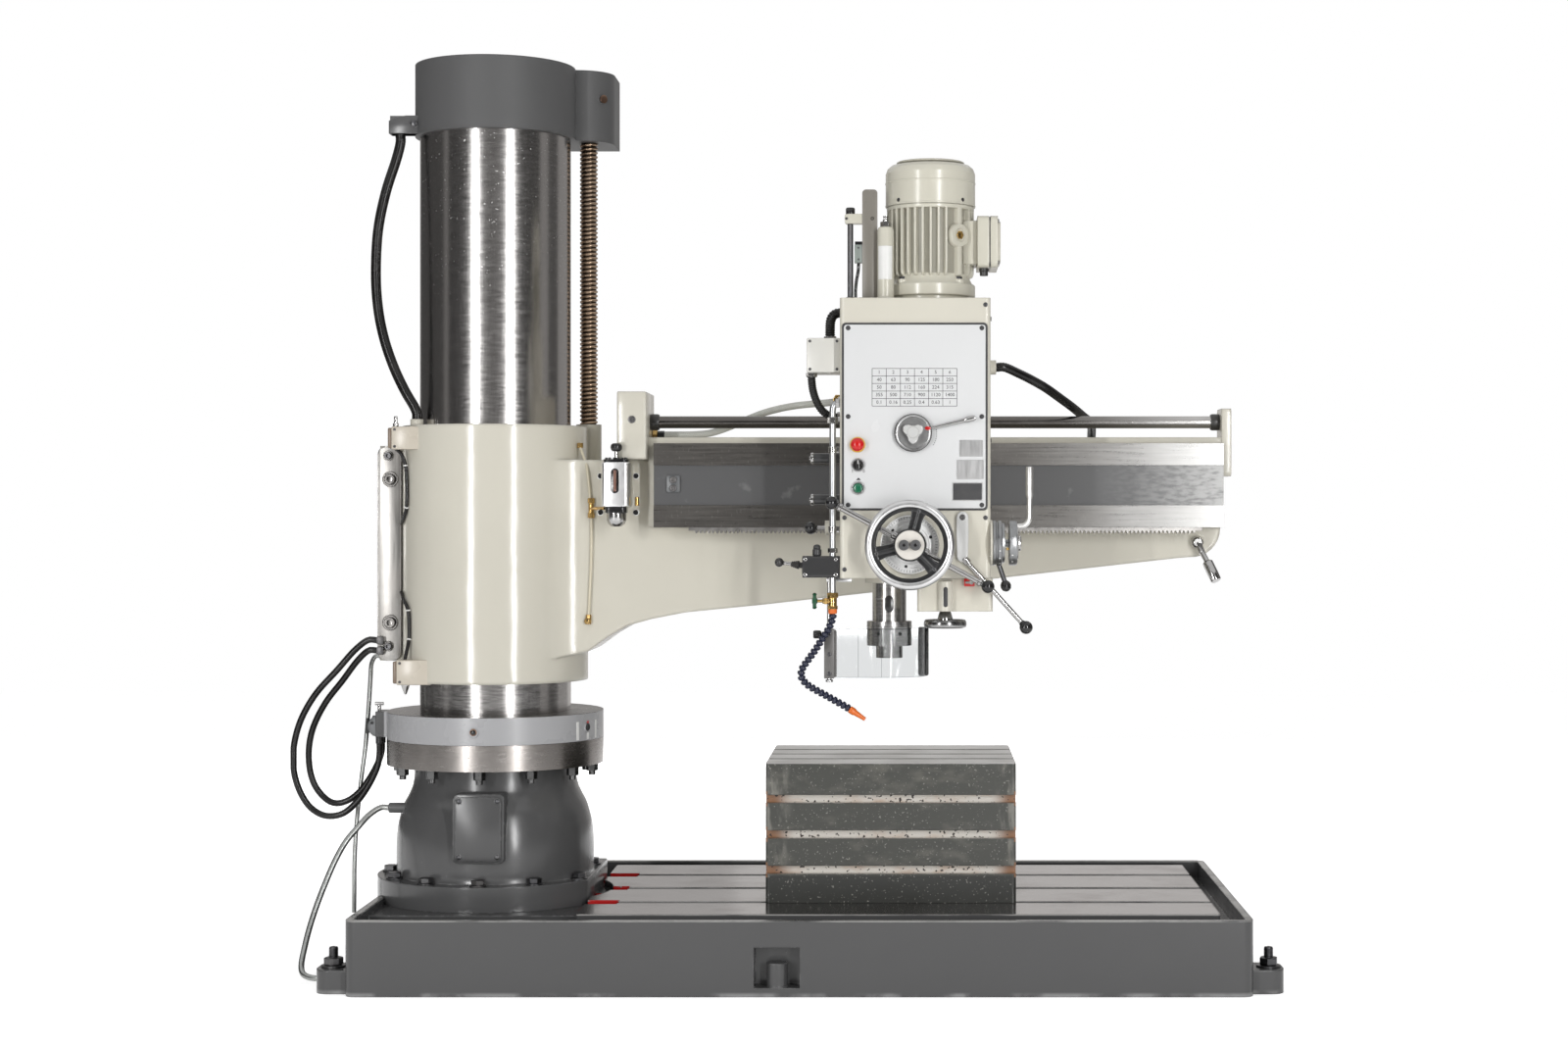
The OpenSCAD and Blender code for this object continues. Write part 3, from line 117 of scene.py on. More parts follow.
def calc(operation, *values, clamp=False):
    tree = next(v for v in values if isinstance(v, bpy.types.NodeSocket)).id_data
    return node(tree, "Math", dict(enumerate(values)), operation=operation, use_clamp=clamp).outputs[0]


def times(a, b):
    return calc("MULTIPLY", a, b)


def new_material(name):
    made = bpy.data.materials.new(name)
    made.use_nodes = True
    tree = made.node_tree
    return made, tree, tree.nodes["Principled BSDF"]


def seen_white(tree):
    """1 where the surround or the floor is seen, mirrored or looked at through glass."""
    path = node(tree, "LightPath")
    seen = either(path.outputs["Is Camera Ray"], path.outputs["Is Glossy Ray"])
    return either(seen, path.outputs["Is Transmission Ray"])


camera = bpy.data.objects.new("camera", bpy.data.cameras.new("camera"))
scene.collection.objects.link(camera)
camera.location = CAMERA_AT
camera.rotation_euler = (radians(90), 0, 0)
camera.data.lens = CAMERA_LENS
camera.data.shift_x, camera.data.shift_y = CAMERA_SHIFT
camera.data.clip_end = 60
scene.camera = camera
scene.view_settings.view_transform = "Standard"

world = bpy.data.worlds.new("surround")
scene.world = world
world.use_nodes = True
surround = world.node_tree
level = node(surround, "MapRange", {"Value": seen_white(surround), "To Min": SURROUND_LIGHT, "To Max": 1.0})
feed(surround.nodes["Background"].inputs["Strength"], level.outputs[0])
feed(surround.nodes["Background"].inputs["Color"], (1, 1, 1, 1))

floor_mesh = bpy.data.meshes.new("floor")
corners = [(x * FLOOR_HALF + 0.7, y * FLOOR_HALF, 0) for x, y in ((-1, -1), (1, -1), (1, 1), (-1, 1))]
floor_mesh.from_pydata(corners, [], [(0, 1, 2, 3)])
floor = bpy.data.objects.new("floor", floor_mesh)
scene.collection.objects.link(floor)
floor_finish, tree, shader = new_material("floor_finish")
give(shader, Base_Color=(0.9, 0.9, 0.9, 1), Roughness=0.9, Specular_IOR_Level=0.1,
    Emission_Color=(1, 1, 1, 1), Emission_Strength=times(seen_white(tree), 0.6))
floor_mesh.materials.append(floor_finish)

for number, turn in enumerate(LAMP_TURNS):
    lamp = bpy.data.lights.new(f"lamp_{number}", "AREA")
    lamp.shape = "RECTANGLE"
    lamp.size, lamp.size_y = LAMP_SIZE
    lamp.energy = LAMP_WATTS
    holder = bpy.data.objects.new(f"lamp_{number}", lamp)
    scene.collection.objects.link(holder)
    away = radians(turn)
    holder.location = (LAMP_AWAY * sin(away), -LAMP_AWAY * cos(away), LAMP_Z)
    holder.rotation_euler = (radians(90), 0, away)
lamp = bpy.data.lights.new("back_fill", "AREA")
lamp.size, lamp.energy = BACK_SIZE, BACK_WATTS
holder = bpy.data.objects.new("back_fill", lamp)
scene.collection.objects.link(holder)
holder.location = BACK_AT
holder.rotation_euler = (radians(-85), 0, 0)
holder.visible_glossy = False

board_wall, board_faces, board_greys = [], [], []
for first, last, grey in BOARD_TURNS:
    start = len(board_wall)
    for i in range(BOARD_STEPS + 1):
        away = radians(first + (last - first) * i / BOARD_STEPS)
        board_wall += [(BOARD_RADIUS * sin(away), -BOARD_RADIUS * cos(away), z) for z in BOARD_Z]
    board_faces += [(start + 2 * i, start + 2 * i + 2, start + 2 * i + 3, start + 2 * i + 1)
        for i in range(BOARD_STEPS)]
    board_greys += [grey] * BOARD_STEPS
boards = bpy.data.meshes.new("boards")
boards.from_pydata(board_wall, [], board_faces)
for number, grey in enumerate(sorted(set(board_greys))):
    board_finish, tree, shader = new_material(f"board_finish_{number}")
    give(shader, Base_Color=(0, 0, 0, 1), Roughness=1.0, Emission_Color=(grey, grey * 0.97, grey * 0.95, 1),
        Emission_Strength=1.0)
    boards.materials.append(board_finish)
for face, grey in zip(boards.polygons, board_greys):
    face.material_index = sorted(set(board_greys)).index(grey)
board_screen = bpy.data.objects.new("boards", boards)
scene.collection.objects.link(board_screen)
for hidden in ("camera", "diffuse", "shadow", "transmission", "volume_scatter"):
    setattr(board_screen, "visible_" + hidden, False)


# Base casting
# A grey cast-iron base, painted all over but for its planed deck with three T-slots. The slots'
# widened left ends are painted red. It stands on four foot lugs with anchor bolts.
GREY = (0.085, 0.085, 0.086, 1)
GREY_WORN = (0.34, 0.34, 0.34, 1)
STEEL = (0.5, 0.5, 0.5, 1)
STEEL_DARK = (0.16, 0.15, 0.14, 1)
SLOT_RED = (0.42, 0.012, 0.012, 1)
DECK_LEFT, DECK_RIGHT, DECK_HALF, DECK_Z = 0.235, 1.655, 0.39, 0.165
SLOT_PITCH, SLOT_END, SLOT_HALF = 0.215, 0.312, 0.0295


def between(value, low, high):
    """Rises smoothly from 0 at low to 1 at high."""
    sockets = {"Value": value, "From Min": low, "From Max": high}
    return node(value.id_data, "MapRange", sockets, interpolation_type="SMOOTHSTEP").outputs[0]


def band(value, low, high, soft=0.0004):
    """1 where value lies from low to high."""
    rise = between(value, low - soft, low + soft)
    fall = between(value, high - soft, high + soft)
    return calc("SUBTRACT", rise, fall, clamp=True)


def tint(mask, under, over):
    return node(mask.id_data, "Mix", {0: mask, 6: under, 7: over}, data_type="RGBA").outputs[2]


def scaled(colour, by):
    return node(colour.id_data, "VectorMath", {0: colour, "Scale": by}, operation="SCALE").outputs[0]


def here(tree):
    """The point on the piece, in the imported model's frame: (vector, x, y, z)."""
    spot = node(tree, "TexCoord").outputs["Object"]
    parts = node(tree, "SeparateXYZ", {0: spot}).outputs
    return spot, parts[0], parts[1], parts[2]


def noise(spot, scale, detail=2.0, stretch=None):
    tree = spot.id_data
    if stretch:
        spot = node(tree, "VectorMath", {0: spot, 1: stretch}, operation="MULTIPLY").outputs[0]
    return node(tree, "TexNoise", {"Vector": spot, "Scale": scale, "Detail": detail}).outputs[0]


def new_effect(name, takes):
    """A shader group with named inputs and four outputs: (group, its inputs, its outputs)."""
    made = bpy.data.node_groups.new(name, "ShaderNodeTree")
    for label, start in takes.items():
        kind = {4: "Color", 3: "Vector"}[len(start)] if isinstance(start, tuple) else "Float"
        made.interface.new_socket(label, in_out="INPUT",
            socket_type="NodeSocket" + kind).default_value = start
    for label, kind in (("Colour", "Color"), ("Roughness", "Float"), ("Height", "Float"),
        ("Normal", "Vector")):
        made.interface.new_socket(label, in_out="OUTPUT", socket_type="NodeSocket" + kind)
    return made, made.nodes.new("NodeGroupInput").outputs, made.nodes.new("NodeGroupOutput").inputs


def rounded_edges(radius):
    """(normal that rounds the edges, how near an edge is)."""
    tree = radius.id_data
    bevel = node(tree, "Bevel", {"Radius": radius}, samples=4).outputs[0]
    flat = node(tree, "NewGeometry").outputs["Normal"]
    turn = node(tree, "VectorMath", {0: bevel, 1: flat}, operation="DOT_PRODUCT").outputs["Value"]
    return bevel, between(turn, 0.995, 0.86)


# Brushed paint: slight clouds, orange peel, worn edges and a few chips
enamel, takes, gives = new_effect("brushed_enamel", {"Colour": GREY, "Worn": GREY_WORN, "Wear": 0.3,
    "Gloss": 0.2, "Edge": 0.004})
spot = here(enamel)[0]
cloud = noise(spot, 3.1, 4)
shade = calc("MULTIPLY_ADD", cloud, 0.14, 0.93)
shaded = scaled(takes["Colour"], shade)
rounded, near_edge = rounded_edges(takes["Edge"])
patch = between(noise(spot, 34, 6), 0.46, 0.68)
chip = between(noise(spot, 150, 3), 0.73, 0.76)
rubbed = times(times(near_edge, patch), takes["Wear"])
rubbed = calc("MULTIPLY_ADD", chip, times(takes["Wear"], 0.35), rubbed, clamp=True)
feed(gives["Colour"], tint(rubbed, shaded, takes["Worn"]))
dull = calc("MULTIPLY_ADD", noise(spot, 11, 4), 0.16, takes["Gloss"])
feed(gives["Roughness"], calc("MULTIPLY_ADD", rubbed, 0.3, calc("SUBTRACT", dull, 0.06)))
peel = times(noise(spot, 260, 1), 0.12)
ripple = times(noise(spot, 7, 3), 3.0)
feed(gives["Height"], calc("ADD", calc("ADD", noise(spot, 21, 2), ripple), peel))
feed(gives["Normal"], rounded)

# Machined metal: fine tool marks along one direction, stains and worn edges
machined, takes, gives = new_effect("machined_metal", {"Colour": STEEL, "Stain": STEEL_DARK, "Staining": 0.3,
    "Roughness": 0.25, "Grain": (1, 1, 1), "Marks": 0.2, "Edge": 0.001})
spot = here(machined)[0]
grained = node(machined, "VectorMath", {0: spot, 1: takes["Grain"]}, operation="MULTIPLY").outputs[0]
marks = noise(grained, 60, 5)
light = calc("MULTIPLY_ADD", calc("SUBTRACT", marks, 0.5), takes["Marks"], 1.0)
lit = scaled(takes["Colour"], light)
stain = between(noise(spot, 7, 7), 0.42, 0.74)
speck = between(noise(spot, 120, 3), 0.66, 0.72)
dirty = times(either(stain, speck), takes["Staining"])
rounded, near_edge = rounded_edges(takes["Edge"])
feed(gives["Colour"], tint(dirty, lit, takes["Stain"]))
rough = calc("MULTIPLY_ADD", marks, 0.18, takes["Roughness"])
feed(gives["Roughness"], calc("MULTIPLY_ADD", dirty, 0.25, calc("SUBTRACT", rough, 0.09)))
feed(gives["Height"], marks)
feed(gives["Normal"], rounded)

# Moulded plastic or rubber: faint clouds, dust and a fine grain
moulded, takes, gives = new_effect("moulded_skin", {"Colour": (0.02, 0.02, 0.02, 1),
    "Dust": (0.3, 0.29, 0.27, 1), "Dusting": 0.1, "Roughness": 0.3, "Edge": 0.001})
spot = here(moulded)[0]
cloud = noise(spot, 26, 4)
dust = times(between(cloud, 0.4, 0.8), takes["Dusting"])
fleck = times(between(noise(spot, 420, 2), 0.66, 0.74), takes["Dusting"])
feed(gives["Colour"], tint(either(dust, fleck), takes["Colour"], takes["Dust"]))
feed(gives["Roughness"], calc("MULTIPLY_ADD", cloud, 0.16, calc("SUBTRACT", takes["Roughness"], 0.08)))
feed(gives["Height"], noise(spot, 700, 2))
feed(gives["Normal"], rounded_edges(takes["Edge"])[0])


def finish_with(name, effect, values, bump=0.1, depth=0.0006, **constants):
    """A material whose Principled shader takes its varying sockets from one of the effects."""
    made, tree, shader = new_material(name)
    placed = node(tree, "Group", values, node_tree=effect)
    relief = node(tree, "Bump", {"Strength": bump, "Distance": depth, "Height": placed.outputs["Height"],
        "Normal": placed.outputs["Normal"]})
    give(shader, Base_Color=placed.outputs["Colour"], Roughness=placed.outputs["Roughness"],
        Normal=relief.outputs[0])
    give(shader, **constants)
    return made, tree, shader, placed


def paint(name, colour, worn, wear=0.3, gloss=0.2, edge=0.004, bump=0.12):
    values = {"Colour": colour, "Worn": worn, "Wear": wear, "Gloss": gloss, "Edge": edge}
    return finish_with(name, enamel, values, bump, 0.0012)


def metal(name, colour, roughness=0.25, grain=(1, 1, 1), marks=0.2, staining=0.25, stain=STEEL_DARK,
          edge=0.001, bump=0.06):
    values = {"Colour": colour, "Stain": stain, "Staining": staining, "Roughness": roughness, "Grain": grain,
        "Marks": marks, "Edge": edge}
    return finish_with(name, machined, values, bump, 0.0003, Metallic=1.0)


def plastic(name, colour, roughness=0.3, dusting=0.08, edge=0.001, bump=0.08, **constants):
    values = {"Colour": colour, "Dusting": dusting, "Roughness": roughness, "Edge": edge}
    return finish_with(name, moulded, values, bump, 0.0001, **constants)


def dress(material, *names):
    """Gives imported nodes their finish."""
    for name in names:
        mesh = cad[name].data
        mesh.materials.clear()
        mesh.materials.append(material)


grey_enamel = paint("grey_enamel", GREY, GREY_WORN, wear=0.35)[0]
base_finish, tree, shader, placed = paint("base_finish", GREY, GREY_WORN, wear=0.5, edge=0.006)
spot, x, y, z = here(tree)
on_deck = times(band(x, DECK_LEFT, DECK_RIGHT), band(y, -DECK_HALF, DECK_HALF))
on_deck = times(on_deck, between(z, DECK_Z - 0.0012, DECK_Z - 0.0006))
deck = node(tree, "Group", {"Colour": (0.4, 0.385, 0.375, 1), "Stain": (0.2, 0.17, 0.155, 1), "Staining": 0.3,
    "Roughness": 0.15, "Grain": (0.12, 5, 5), "Marks": 0.35, "Edge": 0.002}, node_tree=machined)
slot_mask = either(*[band(y, k * SLOT_PITCH - SLOT_HALF, k * SLOT_PITCH + SLOT_HALF) for k in (-1, 0, 1)])
slot_mask = times(slot_mask, band(x, DECK_LEFT - 0.01, SLOT_END))
slot_mask = times(slot_mask, band(z, 0.12, DECK_Z + 0.0006))
chipped = between(noise(spot, 70, 5), 0.68, 0.6)
in_red = times(slot_mask, chipped)
low_edge = times(between(z, 0.012, 0.004), between(noise(spot, 9, 7), 0.44, 0.6))
painted = scaled(placed.outputs["Colour"], 0.84)
# Painted highlight: lighter grey in patches along the rim's top edge, standing in for its reflection of the
# light
rim_highlight_painted = times(between(z, DECK_Z - 0.004, DECK_Z - 0.0015),
    between(noise(spot, 14, 6, (0.4, 1, 1)), 0.3, 0.55))
painted = tint(times(low_edge, 0.6), painted, GREY_WORN)
painted = tint(times(rim_highlight_painted, 0.75), painted, (0.42, 0.415, 0.4, 1))
shown = tint(on_deck, painted, deck.outputs["Colour"])
give(shader, Base_Color=tint(in_red, shown, SLOT_RED), Metallic=calc("SUBTRACT", on_deck, in_red, clamp=True))
mixed = node(tree, "Mix", {0: on_deck, 2: placed.outputs["Roughness"], 3: deck.outputs["Roughness"]})
give(shader, Roughness=mixed.outputs[0])
dress(base_finish, "base_casting")


# Base bolts
# Hexagon bolts of blackened steel hold the pedestal's flange to the base. A stud with washer and
# nut stands in each of the four foot lugs.
FLANGE_BOLTS = [(0.246, radians(a)) for a in range(30, 360, 30)]
FLANGE_TOP, LUG_TOP = 0.205, 0.052
LUG_AT = [(x, y) for x in (-0.29, 1.759) for y in (-0.396, 0.396)]


def mm(*numbers):
    """An outline in metres from millimetres in pairs: (radius, height), or (across, up)."""
    return [(a / 1000, b / 1000) for a, b in zip(numbers[::2], numbers[1::2])]


UP, FRONT, LEFT, RIGHT = (0, 0, 1), (0, -1, 0), (-1, 0, 0), (1, 0, 0)


def heading(axis, turn):
    """The direction at an angle, in degrees, round an axis."""
    c, s = cos(radians(turn)), sin(radians(turn))
    return Vector({"x": (0, c, s), "y": (c, 0, s), "z": (c, s, 0)}[axis])


def moved(stand, shape):
    return [stand @ Vector(p) for p in shape[0]], shape[1]


def taken(bm):
    """Empties a bmesh into (points, faces)."""
    bm.verts.index_update()
    made = [v.co.copy() for v in bm.verts], [[v.index for v in f.verts] for f in bm.faces]
    bm.free()
    return made


def block(x, y, z, bevel=0.001, steps=2):
    """A box between limits, with rounded edges."""
    bm = bmesh.new()
    bmesh.ops.create_cube(bm, size=1.0)
    for v in bm.verts:
        v.co = [low + (high - low) * (c + 0.5) for (low, high), c in zip((x, y, z), v.co)]
    bmesh.ops.bevel(bm, geom=bm.edges[:], offset=bevel, segments=steps, profile=0.5, affect="EDGES")
    return taken(bm)


def turned(outline, at=(0, 0, 0), way=UP, steps=40, from_turn=0.0):
    """A lathed shape of (radius, height) pairs, standing at a point along a direction."""
    points, faces, rings = [], [], []
    for radius, height in outline:
        first = len(points)
        if radius < 1e-6:
            points.append((0, 0, height))
            rings.append([first] * steps)
        else:
            points += [(radius * cos(a), radius * sin(a), height)
                for a in (from_turn + tau * i / steps for i in range(steps))]
            rings.append(list(range(first, first + steps)))
    for low, high in zip(rings, rings[1:]):
        for i in range(steps):
            around = (low[i], low[(i + 1) % steps], high[(i + 1) % steps], high[i])
            if len(set(around)) > 2:
                faces.append(list(dict.fromkeys(around)))
    stand = Matrix.Translation(at) @ Vector(way).to_track_quat("Z", "Y").to_matrix().to_4x4()
    return moved(stand, (points, faces))


def rod(start, end, radius, rounded=0.0008, steps=24, tip=None):
    """A round bar between two points with rounded ends, tapering to a tip radius where one is given."""
    start, end = Vector(start), Vector(end)
    long = (end - start).length
    last = radius if tip is None else tip
    return turned([(0, 0), (radius - rounded, 0), (radius, rounded), (last, long - rounded),
        (last - rounded, long), (0, long)], start, end - start, steps)


def in_finish(number, *shapes):
    """The same shapes, in the piece's finish of that number."""
    return [(points, faces, number) for points, faces, *_ in shapes]


def piece(name, body, kind, finishes, *shapes, replaces=(), crease=34.0):
    """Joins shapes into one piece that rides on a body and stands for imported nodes."""
    mesh = bpy.data.meshes.new(name)
    bm = bmesh.new()
    flat = [s for group in shapes for s in (group if isinstance(group, list) else [group])]
    for points, faces, *number in flat:
        corners = [bm.verts.new(p) for p in points]
        for face in faces:
            made = bm.faces.new([corners[i] for i in face])
            made.material_index = number[0] if number else 0
            made.smooth = True
    bmesh.ops.recalc_face_normals(bm, faces=bm.faces[:])
    for edge in bm.edges:
        if len(edge.link_faces) == 2 and edge.calc_face_angle(0) > radians(crease):
            edge.smooth = False
    bm.to_mesh(mesh)
    bm.free()
    for finish in finishes if isinstance(finishes, (list, tuple)) else [finishes]:
        mesh.materials.append(finish)
    made = bpy.data.objects.new(name, mesh)
    scene.collection.objects.link(made)
    if body:
        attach(made, body)
    if replaces:
        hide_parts(*replaces)
    return made


def hexagon(at, way, radius, height, turn=0.0):
    """A chamfered bolt head or nut."""
    cut = radius * 0.12
    outline = [(0, 0), (radius - cut, 0), (radius, cut * 0.6), (radius, height - cut * 0.7),
        (radius - cut * 1.3, height), (0, height)]
    return turned(outline, at, way, 6, turn)


def socket_screw(at, way, radius, height):
    """A socket-head cap screw with its recess."""
    well = radius * 0.5
    outline = [(0, 0), (radius, 0), (radius, height * 0.85), (radius * 0.88, height), (well, height),
        (well * 0.94, height * 0.4), (0, height * 0.35)]
    return turned(outline, at, way, 24)


def screw_grid(xs, y, zs, radius, height):
    """Socket screws in rows, facing the operator."""
    return [socket_screw((x, y, z), FRONT, radius, height) for x in xs for z in zs]


dark_steel = metal("dark_steel", (0.1, 0.1, 0.105, 1), 0.32, marks=0.5, staining=0.5, edge=0.002)[0]
bolts = []
for out, turn in FLANGE_BOLTS:
    at = (out * cos(turn), out * sin(turn), FLANGE_TOP)
    bolts.append(turned(mm(0, 0, 19.5, 0, 19.5, 2, 18, 3, 0, 3), at, steps=28))
    bolts.append(hexagon((at[0], at[1], FLANGE_TOP + 0.003), UP, 0.016, 0.012, turn))
for x, y in LUG_AT:
    bolts.append(turned(mm(0, 0, 27, 0, 27, 3, 25, 4, 0, 4), (x, y, LUG_TOP)))
    bolts.append(hexagon((x, y, LUG_TOP + 0.004), UP, 0.021, 0.017, 0.3))
    ridges = [(0.0105 if i % 2 else 0.0092, LUG_TOP + 0.02 + 0.0015 * i) for i in range(15)]
    bolts.append(turned([(0, LUG_TOP)] + ridges + [(0.009, LUG_TOP + 0.043), (0, LUG_TOP + 0.045)],
        (x, y, 0)))
piece("foundation_bolts", "base", "black_steel", dark_steel, *bolts, replaces=["base_bolts"])


# Pedestal
# A bell-shaped casting in the base's grey, with a round flange that is flat at its right side. A
# raised facing at the front takes the screwed cover plate, and the return hose enters at the left.
BELL = mm(230, 204, 228.5, 215, 229, 235, 228.5, 280, 225.5, 317, 219, 345, 211, 369, 200, 390, 192, 409, 188,
    430, 187, 462)
FLANGE_R, FLANGE_FLAT, PAD_TOP = 0.272, 0.235, 0.148
COVER_X, COVER_Z, COVER_FACE = (-0.052, 0.052), (0.261, 0.405), 0.24


def smooth_line(points, steps=4):
    """Points on the curve that runs through the given ones."""
    points = [Vector(p) for p in points]
    line, ends = [], [points[0] * 2 - points[1]] + points + [points[-1] * 2 - points[-2]]
    for a, b, c, d in zip(ends, ends[1:], ends[2:], ends[3:]):
        for t in (i / steps for i in range(steps)):
            bent = (2 * a - 5 * b + 4 * c - d) * t * t + (3 * b - a - 3 * c + d) * t * t * t
            line.append(0.5 * (2 * b + (c - a) * t + bent))
    return line + [points[-1]]


def arc(middle, radius, first, last, steps=8):
    """Points round a centre, from one angle to another, in degrees."""
    turns = [radians(first + (last - first) * i / steps) for i in range(steps + 1)]
    return [(middle[0] + radius * cos(a), middle[1] + radius * sin(a)) for a in turns]


def round_box(x, z, radius, steps=6):
    """The outline of a rectangle with rounded corners."""
    corners = [(x[1], z[0], -90), (x[1], z[1], 0), (x[0], z[1], 90), (x[0], z[0], 180)]
    line = []
    for cx, cz, turn in corners:
        inward = (cx - radius if cx == x[1] else cx + radius, cz - radius if cz == z[1] else cz + radius)
        line += arc(inward, radius, turn, turn + 90, steps)
    return line


def drawn_out(outline, low, high, across="y", bevel=0.0008, steps=2):
    """A flat outline drawn out across one axis, its rims rounded."""
    bm = bmesh.new()
    order = {"x": lambda u, v, w: (w, u, v), "y": lambda u, v, w: (u, w, v),
        "z": lambda u, v, w: (u, v, w)}[across]
    near = [bm.verts.new(order(u, v, low)) for u, v in outline]
    far = [bm.verts.new(order(u, v, high)) for u, v in outline]
    rims = [bm.faces.new(near), bm.faces.new(far[::-1])]
    for i in range(len(near)):
        j = (i + 1) % len(near)
        bm.faces.new((near[j], near[i], far[i], far[j]))
    if bevel:
        around = list({e for f in rims for e in f.edges})
        bmesh.ops.bevel(bm, geom=around, offset=bevel, segments=steps, profile=0.5, affect="EDGES")
    return taken(bm)


def plate(x, z, radius, low, high, across="y", bevel=0.0008, steps=2):
    """A flat plate with rounded corners, from one depth to another."""
    return drawn_out(round_box(x, z, radius), low, high, across, bevel, steps)


cut = degrees(acos(FLANGE_FLAT / FLANGE_R))
flange = [(FLANGE_FLAT, 0.224), (0.0, 0.224)] + arc((0, 0), FLANGE_R, 124.5, 360 - cut, 70)
bell = smooth_line([(r, h, 0) for r, h in BELL], 4)
shell = [(0.14, 0.2)] + [(p.x, p.y) for p in bell] + [(0.14, 0.462)]
piece("pedestal_bell", "base", "grey_paint", grey_enamel, drawn_out(flange, PAD_TOP, FLANGE_TOP, "z", 0.003),
    turned(shell, steps=96), plate((-0.058, 0.058), (0.255, 0.411), 0.01, -COVER_FACE, -0.15, "y", 0.003),
    rod((-0.236, -0.072, 0.362), (-0.16, -0.072, 0.362), 0.012, 0.002), replaces=["pedestal"])
cover = [plate(COVER_X, COVER_Z, 0.009, -COVER_FACE - 0.0055, -COVER_FACE, "y", 0.0018, 3)]
screws = [turned(mm(0, 0, 5.5, 0, 5, 2.2, 3, 3.2, 0.8, 3.4, 0, 2.6), (x, -COVER_FACE - 0.005, z), FRONT, 20)
    for x in (-0.043, 0.043) for z in (0.27, 0.396)]
piece("pedestal_hatch", "base", "grey_paint", [grey_enamel, dark_steel], cover, in_finish(1, *screws),
    replaces=["pedestal_cover"])


# Column
# The inner post stands in the pedestal. The hard-chromed sleeve turns on it, held by two clamp
# rings, and carries the cap with the elevating motor and screw.
RING_BOTTOM, RING_TOP, RING_R = 0.462, 0.584, 0.251
SCREW_AT, SCREW_R, SCREW_PITCH = (0.209, 0.075), 0.021, 0.01
THREAD_Z, THREAD_TURNS, THREAD_STEPS = 1.11, 88, 28
ground_steel = metal("ground_steel", STEEL, 0.28, grain=(1, 1, 1), marks=0.3)[0]
dress(ground_steel, "inner_post")
ring_chrome, tree, shader, placed = metal("ring_chrome", (0.3, 0.28, 0.265, 1), 0.25, grain=(0.6, 0.6, 3),
    marks=0.12, staining=0.06, bump=0.02)
spot, x, y, z = here(tree)
hanging = between(z, RING_BOTTOM - 0.0002, RING_BOTTOM - 0.0008)
give(shader, Base_Color=tint(hanging, placed.outputs["Colour"], (0.1, 0.1, 0.1, 1)))
dress(ring_chrome, "lower_ring")

ring_satin, tree, shader, placed = paint("ring_satin", (0.38, 0.38, 0.39, 1), (0.2, 0.2, 0.2, 1), wear=0.3,
    gloss=0.26, edge=0.002)
spot, x, y, z = here(tree)
on_lock = between(x, -RING_R - 0.0005, -RING_R - 0.0012)
on_top = between(z, RING_TOP - 0.0012, RING_TOP - 0.0002)
give(shader, Base_Color=tint(on_lock, tint(on_top, placed.outputs["Colour"], (0.2, 0.19, 0.18, 1)),
    (0.02, 0.02, 0.021, 1)), Metallic=times(on_top, 0.9))
dress(ring_satin, "upper_ring")

column_chrome, tree, shader, placed = metal("column_chrome", (0.5, 0.485, 0.475, 1), 0.19,
    grain=(0.6, 0.6, 4), marks=0.1, staining=0.05)
spot, x, y, z = here(tree)
spatter = times(between(noise(spot, 170, 2), 0.7, 0.74), between(z, 1.3, 1.95))
give(shader, Base_Color=tint(spatter, placed.outputs["Colour"], (0.8, 0.8, 0.78, 1)))
fine = noise(spot, 900, 1, (1, 1, 0.02))
grain = calc("MULTIPLY_ADD", fine, 0.1, calc("SUBTRACT", placed.outputs["Roughness"], 0.05))
give(shader, Roughness=calc("MULTIPLY_ADD", spatter, 0.3, grain))
dress(column_chrome, "column_sleeve")
cap_enamel = paint("cap_enamel", GREY, GREY_WORN, wear=0.3, gloss=0.52)[0]
dress(cap_enamel, "column_cap")
motor_grey = paint("motor_grey", (0.12, 0.125, 0.13, 1), GREY_WORN, wear=0.25, gloss=0.3)[0]
dress(motor_grey, "elevating_motor")

black_gloss = plastic("black_gloss", (0.012, 0.012, 0.013, 1), 0.14)[0]
bright_steel = metal("bright_steel", (0.42, 0.415, 0.41, 1), 0.16, marks=0.15, staining=0.12)[0]
copper = metal("copper", (0.2, 0.12, 0.08, 1), 0.3, marks=0.3)[0]
white_mark = plastic("white_mark", (0.75, 0.75, 0.73, 1), 0.4)[0]
red_mark = plastic("red_mark", (0.5, 0.02, 0.02, 1), 0.4)[0]


def on_ring(turn, z, out=RING_R):
    """A point on the rings' face and the way it faces."""
    way = heading("z", turn)
    return way * out + Vector((0, 0, z)), way


plug, plug_way = on_ring(-92, 0.552, RING_R + 0.0028)
dark_plug, dark_way = on_ring(-25, 0.552, RING_R + 0.0028)
fittings = in_finish(0, turned(mm(8.5, -4, 8.5, 0, 7.2, 1.2, 0, 1.2), plug, plug_way, 24))
fittings += in_finish(1, turned(mm(6, 0, 6, 2, 4, 3, 0, 3), plug, plug_way, 16),
    turned(mm(9.5, -4, 9.5, 0, 8, 1, 0, 0.5), dark_plug, dark_way, 24))
disc = (-0.2665, -0.0445, 0.549)
fittings += in_finish(3, turned(mm(0, -12, 23.5, -12, 24.5, -10, 24.5, 4, 22.5, 5.8, 20.5, 5.8, 20, 5, 0, 5),
    disc, FRONT, 48))
for turn in (30, 150, 270):
    at = Vector(disc) + Vector(FRONT) * 0.005 + heading("y", turn) * 0.016
    fittings += in_finish(1, socket_screw(at, FRONT, 0.003, 0.0014))
fittings += in_finish(2, rod((-0.266, -0.036, 0.583), (-0.266, -0.036, 0.598), 0.004),
    rod((-0.276, -0.036, 0.601), (-0.256, -0.036, 0.601), 0.004))
piece("ring_fittings", "column", "black_steel", [copper, black_gloss, bright_steel, motor_grey], fittings)

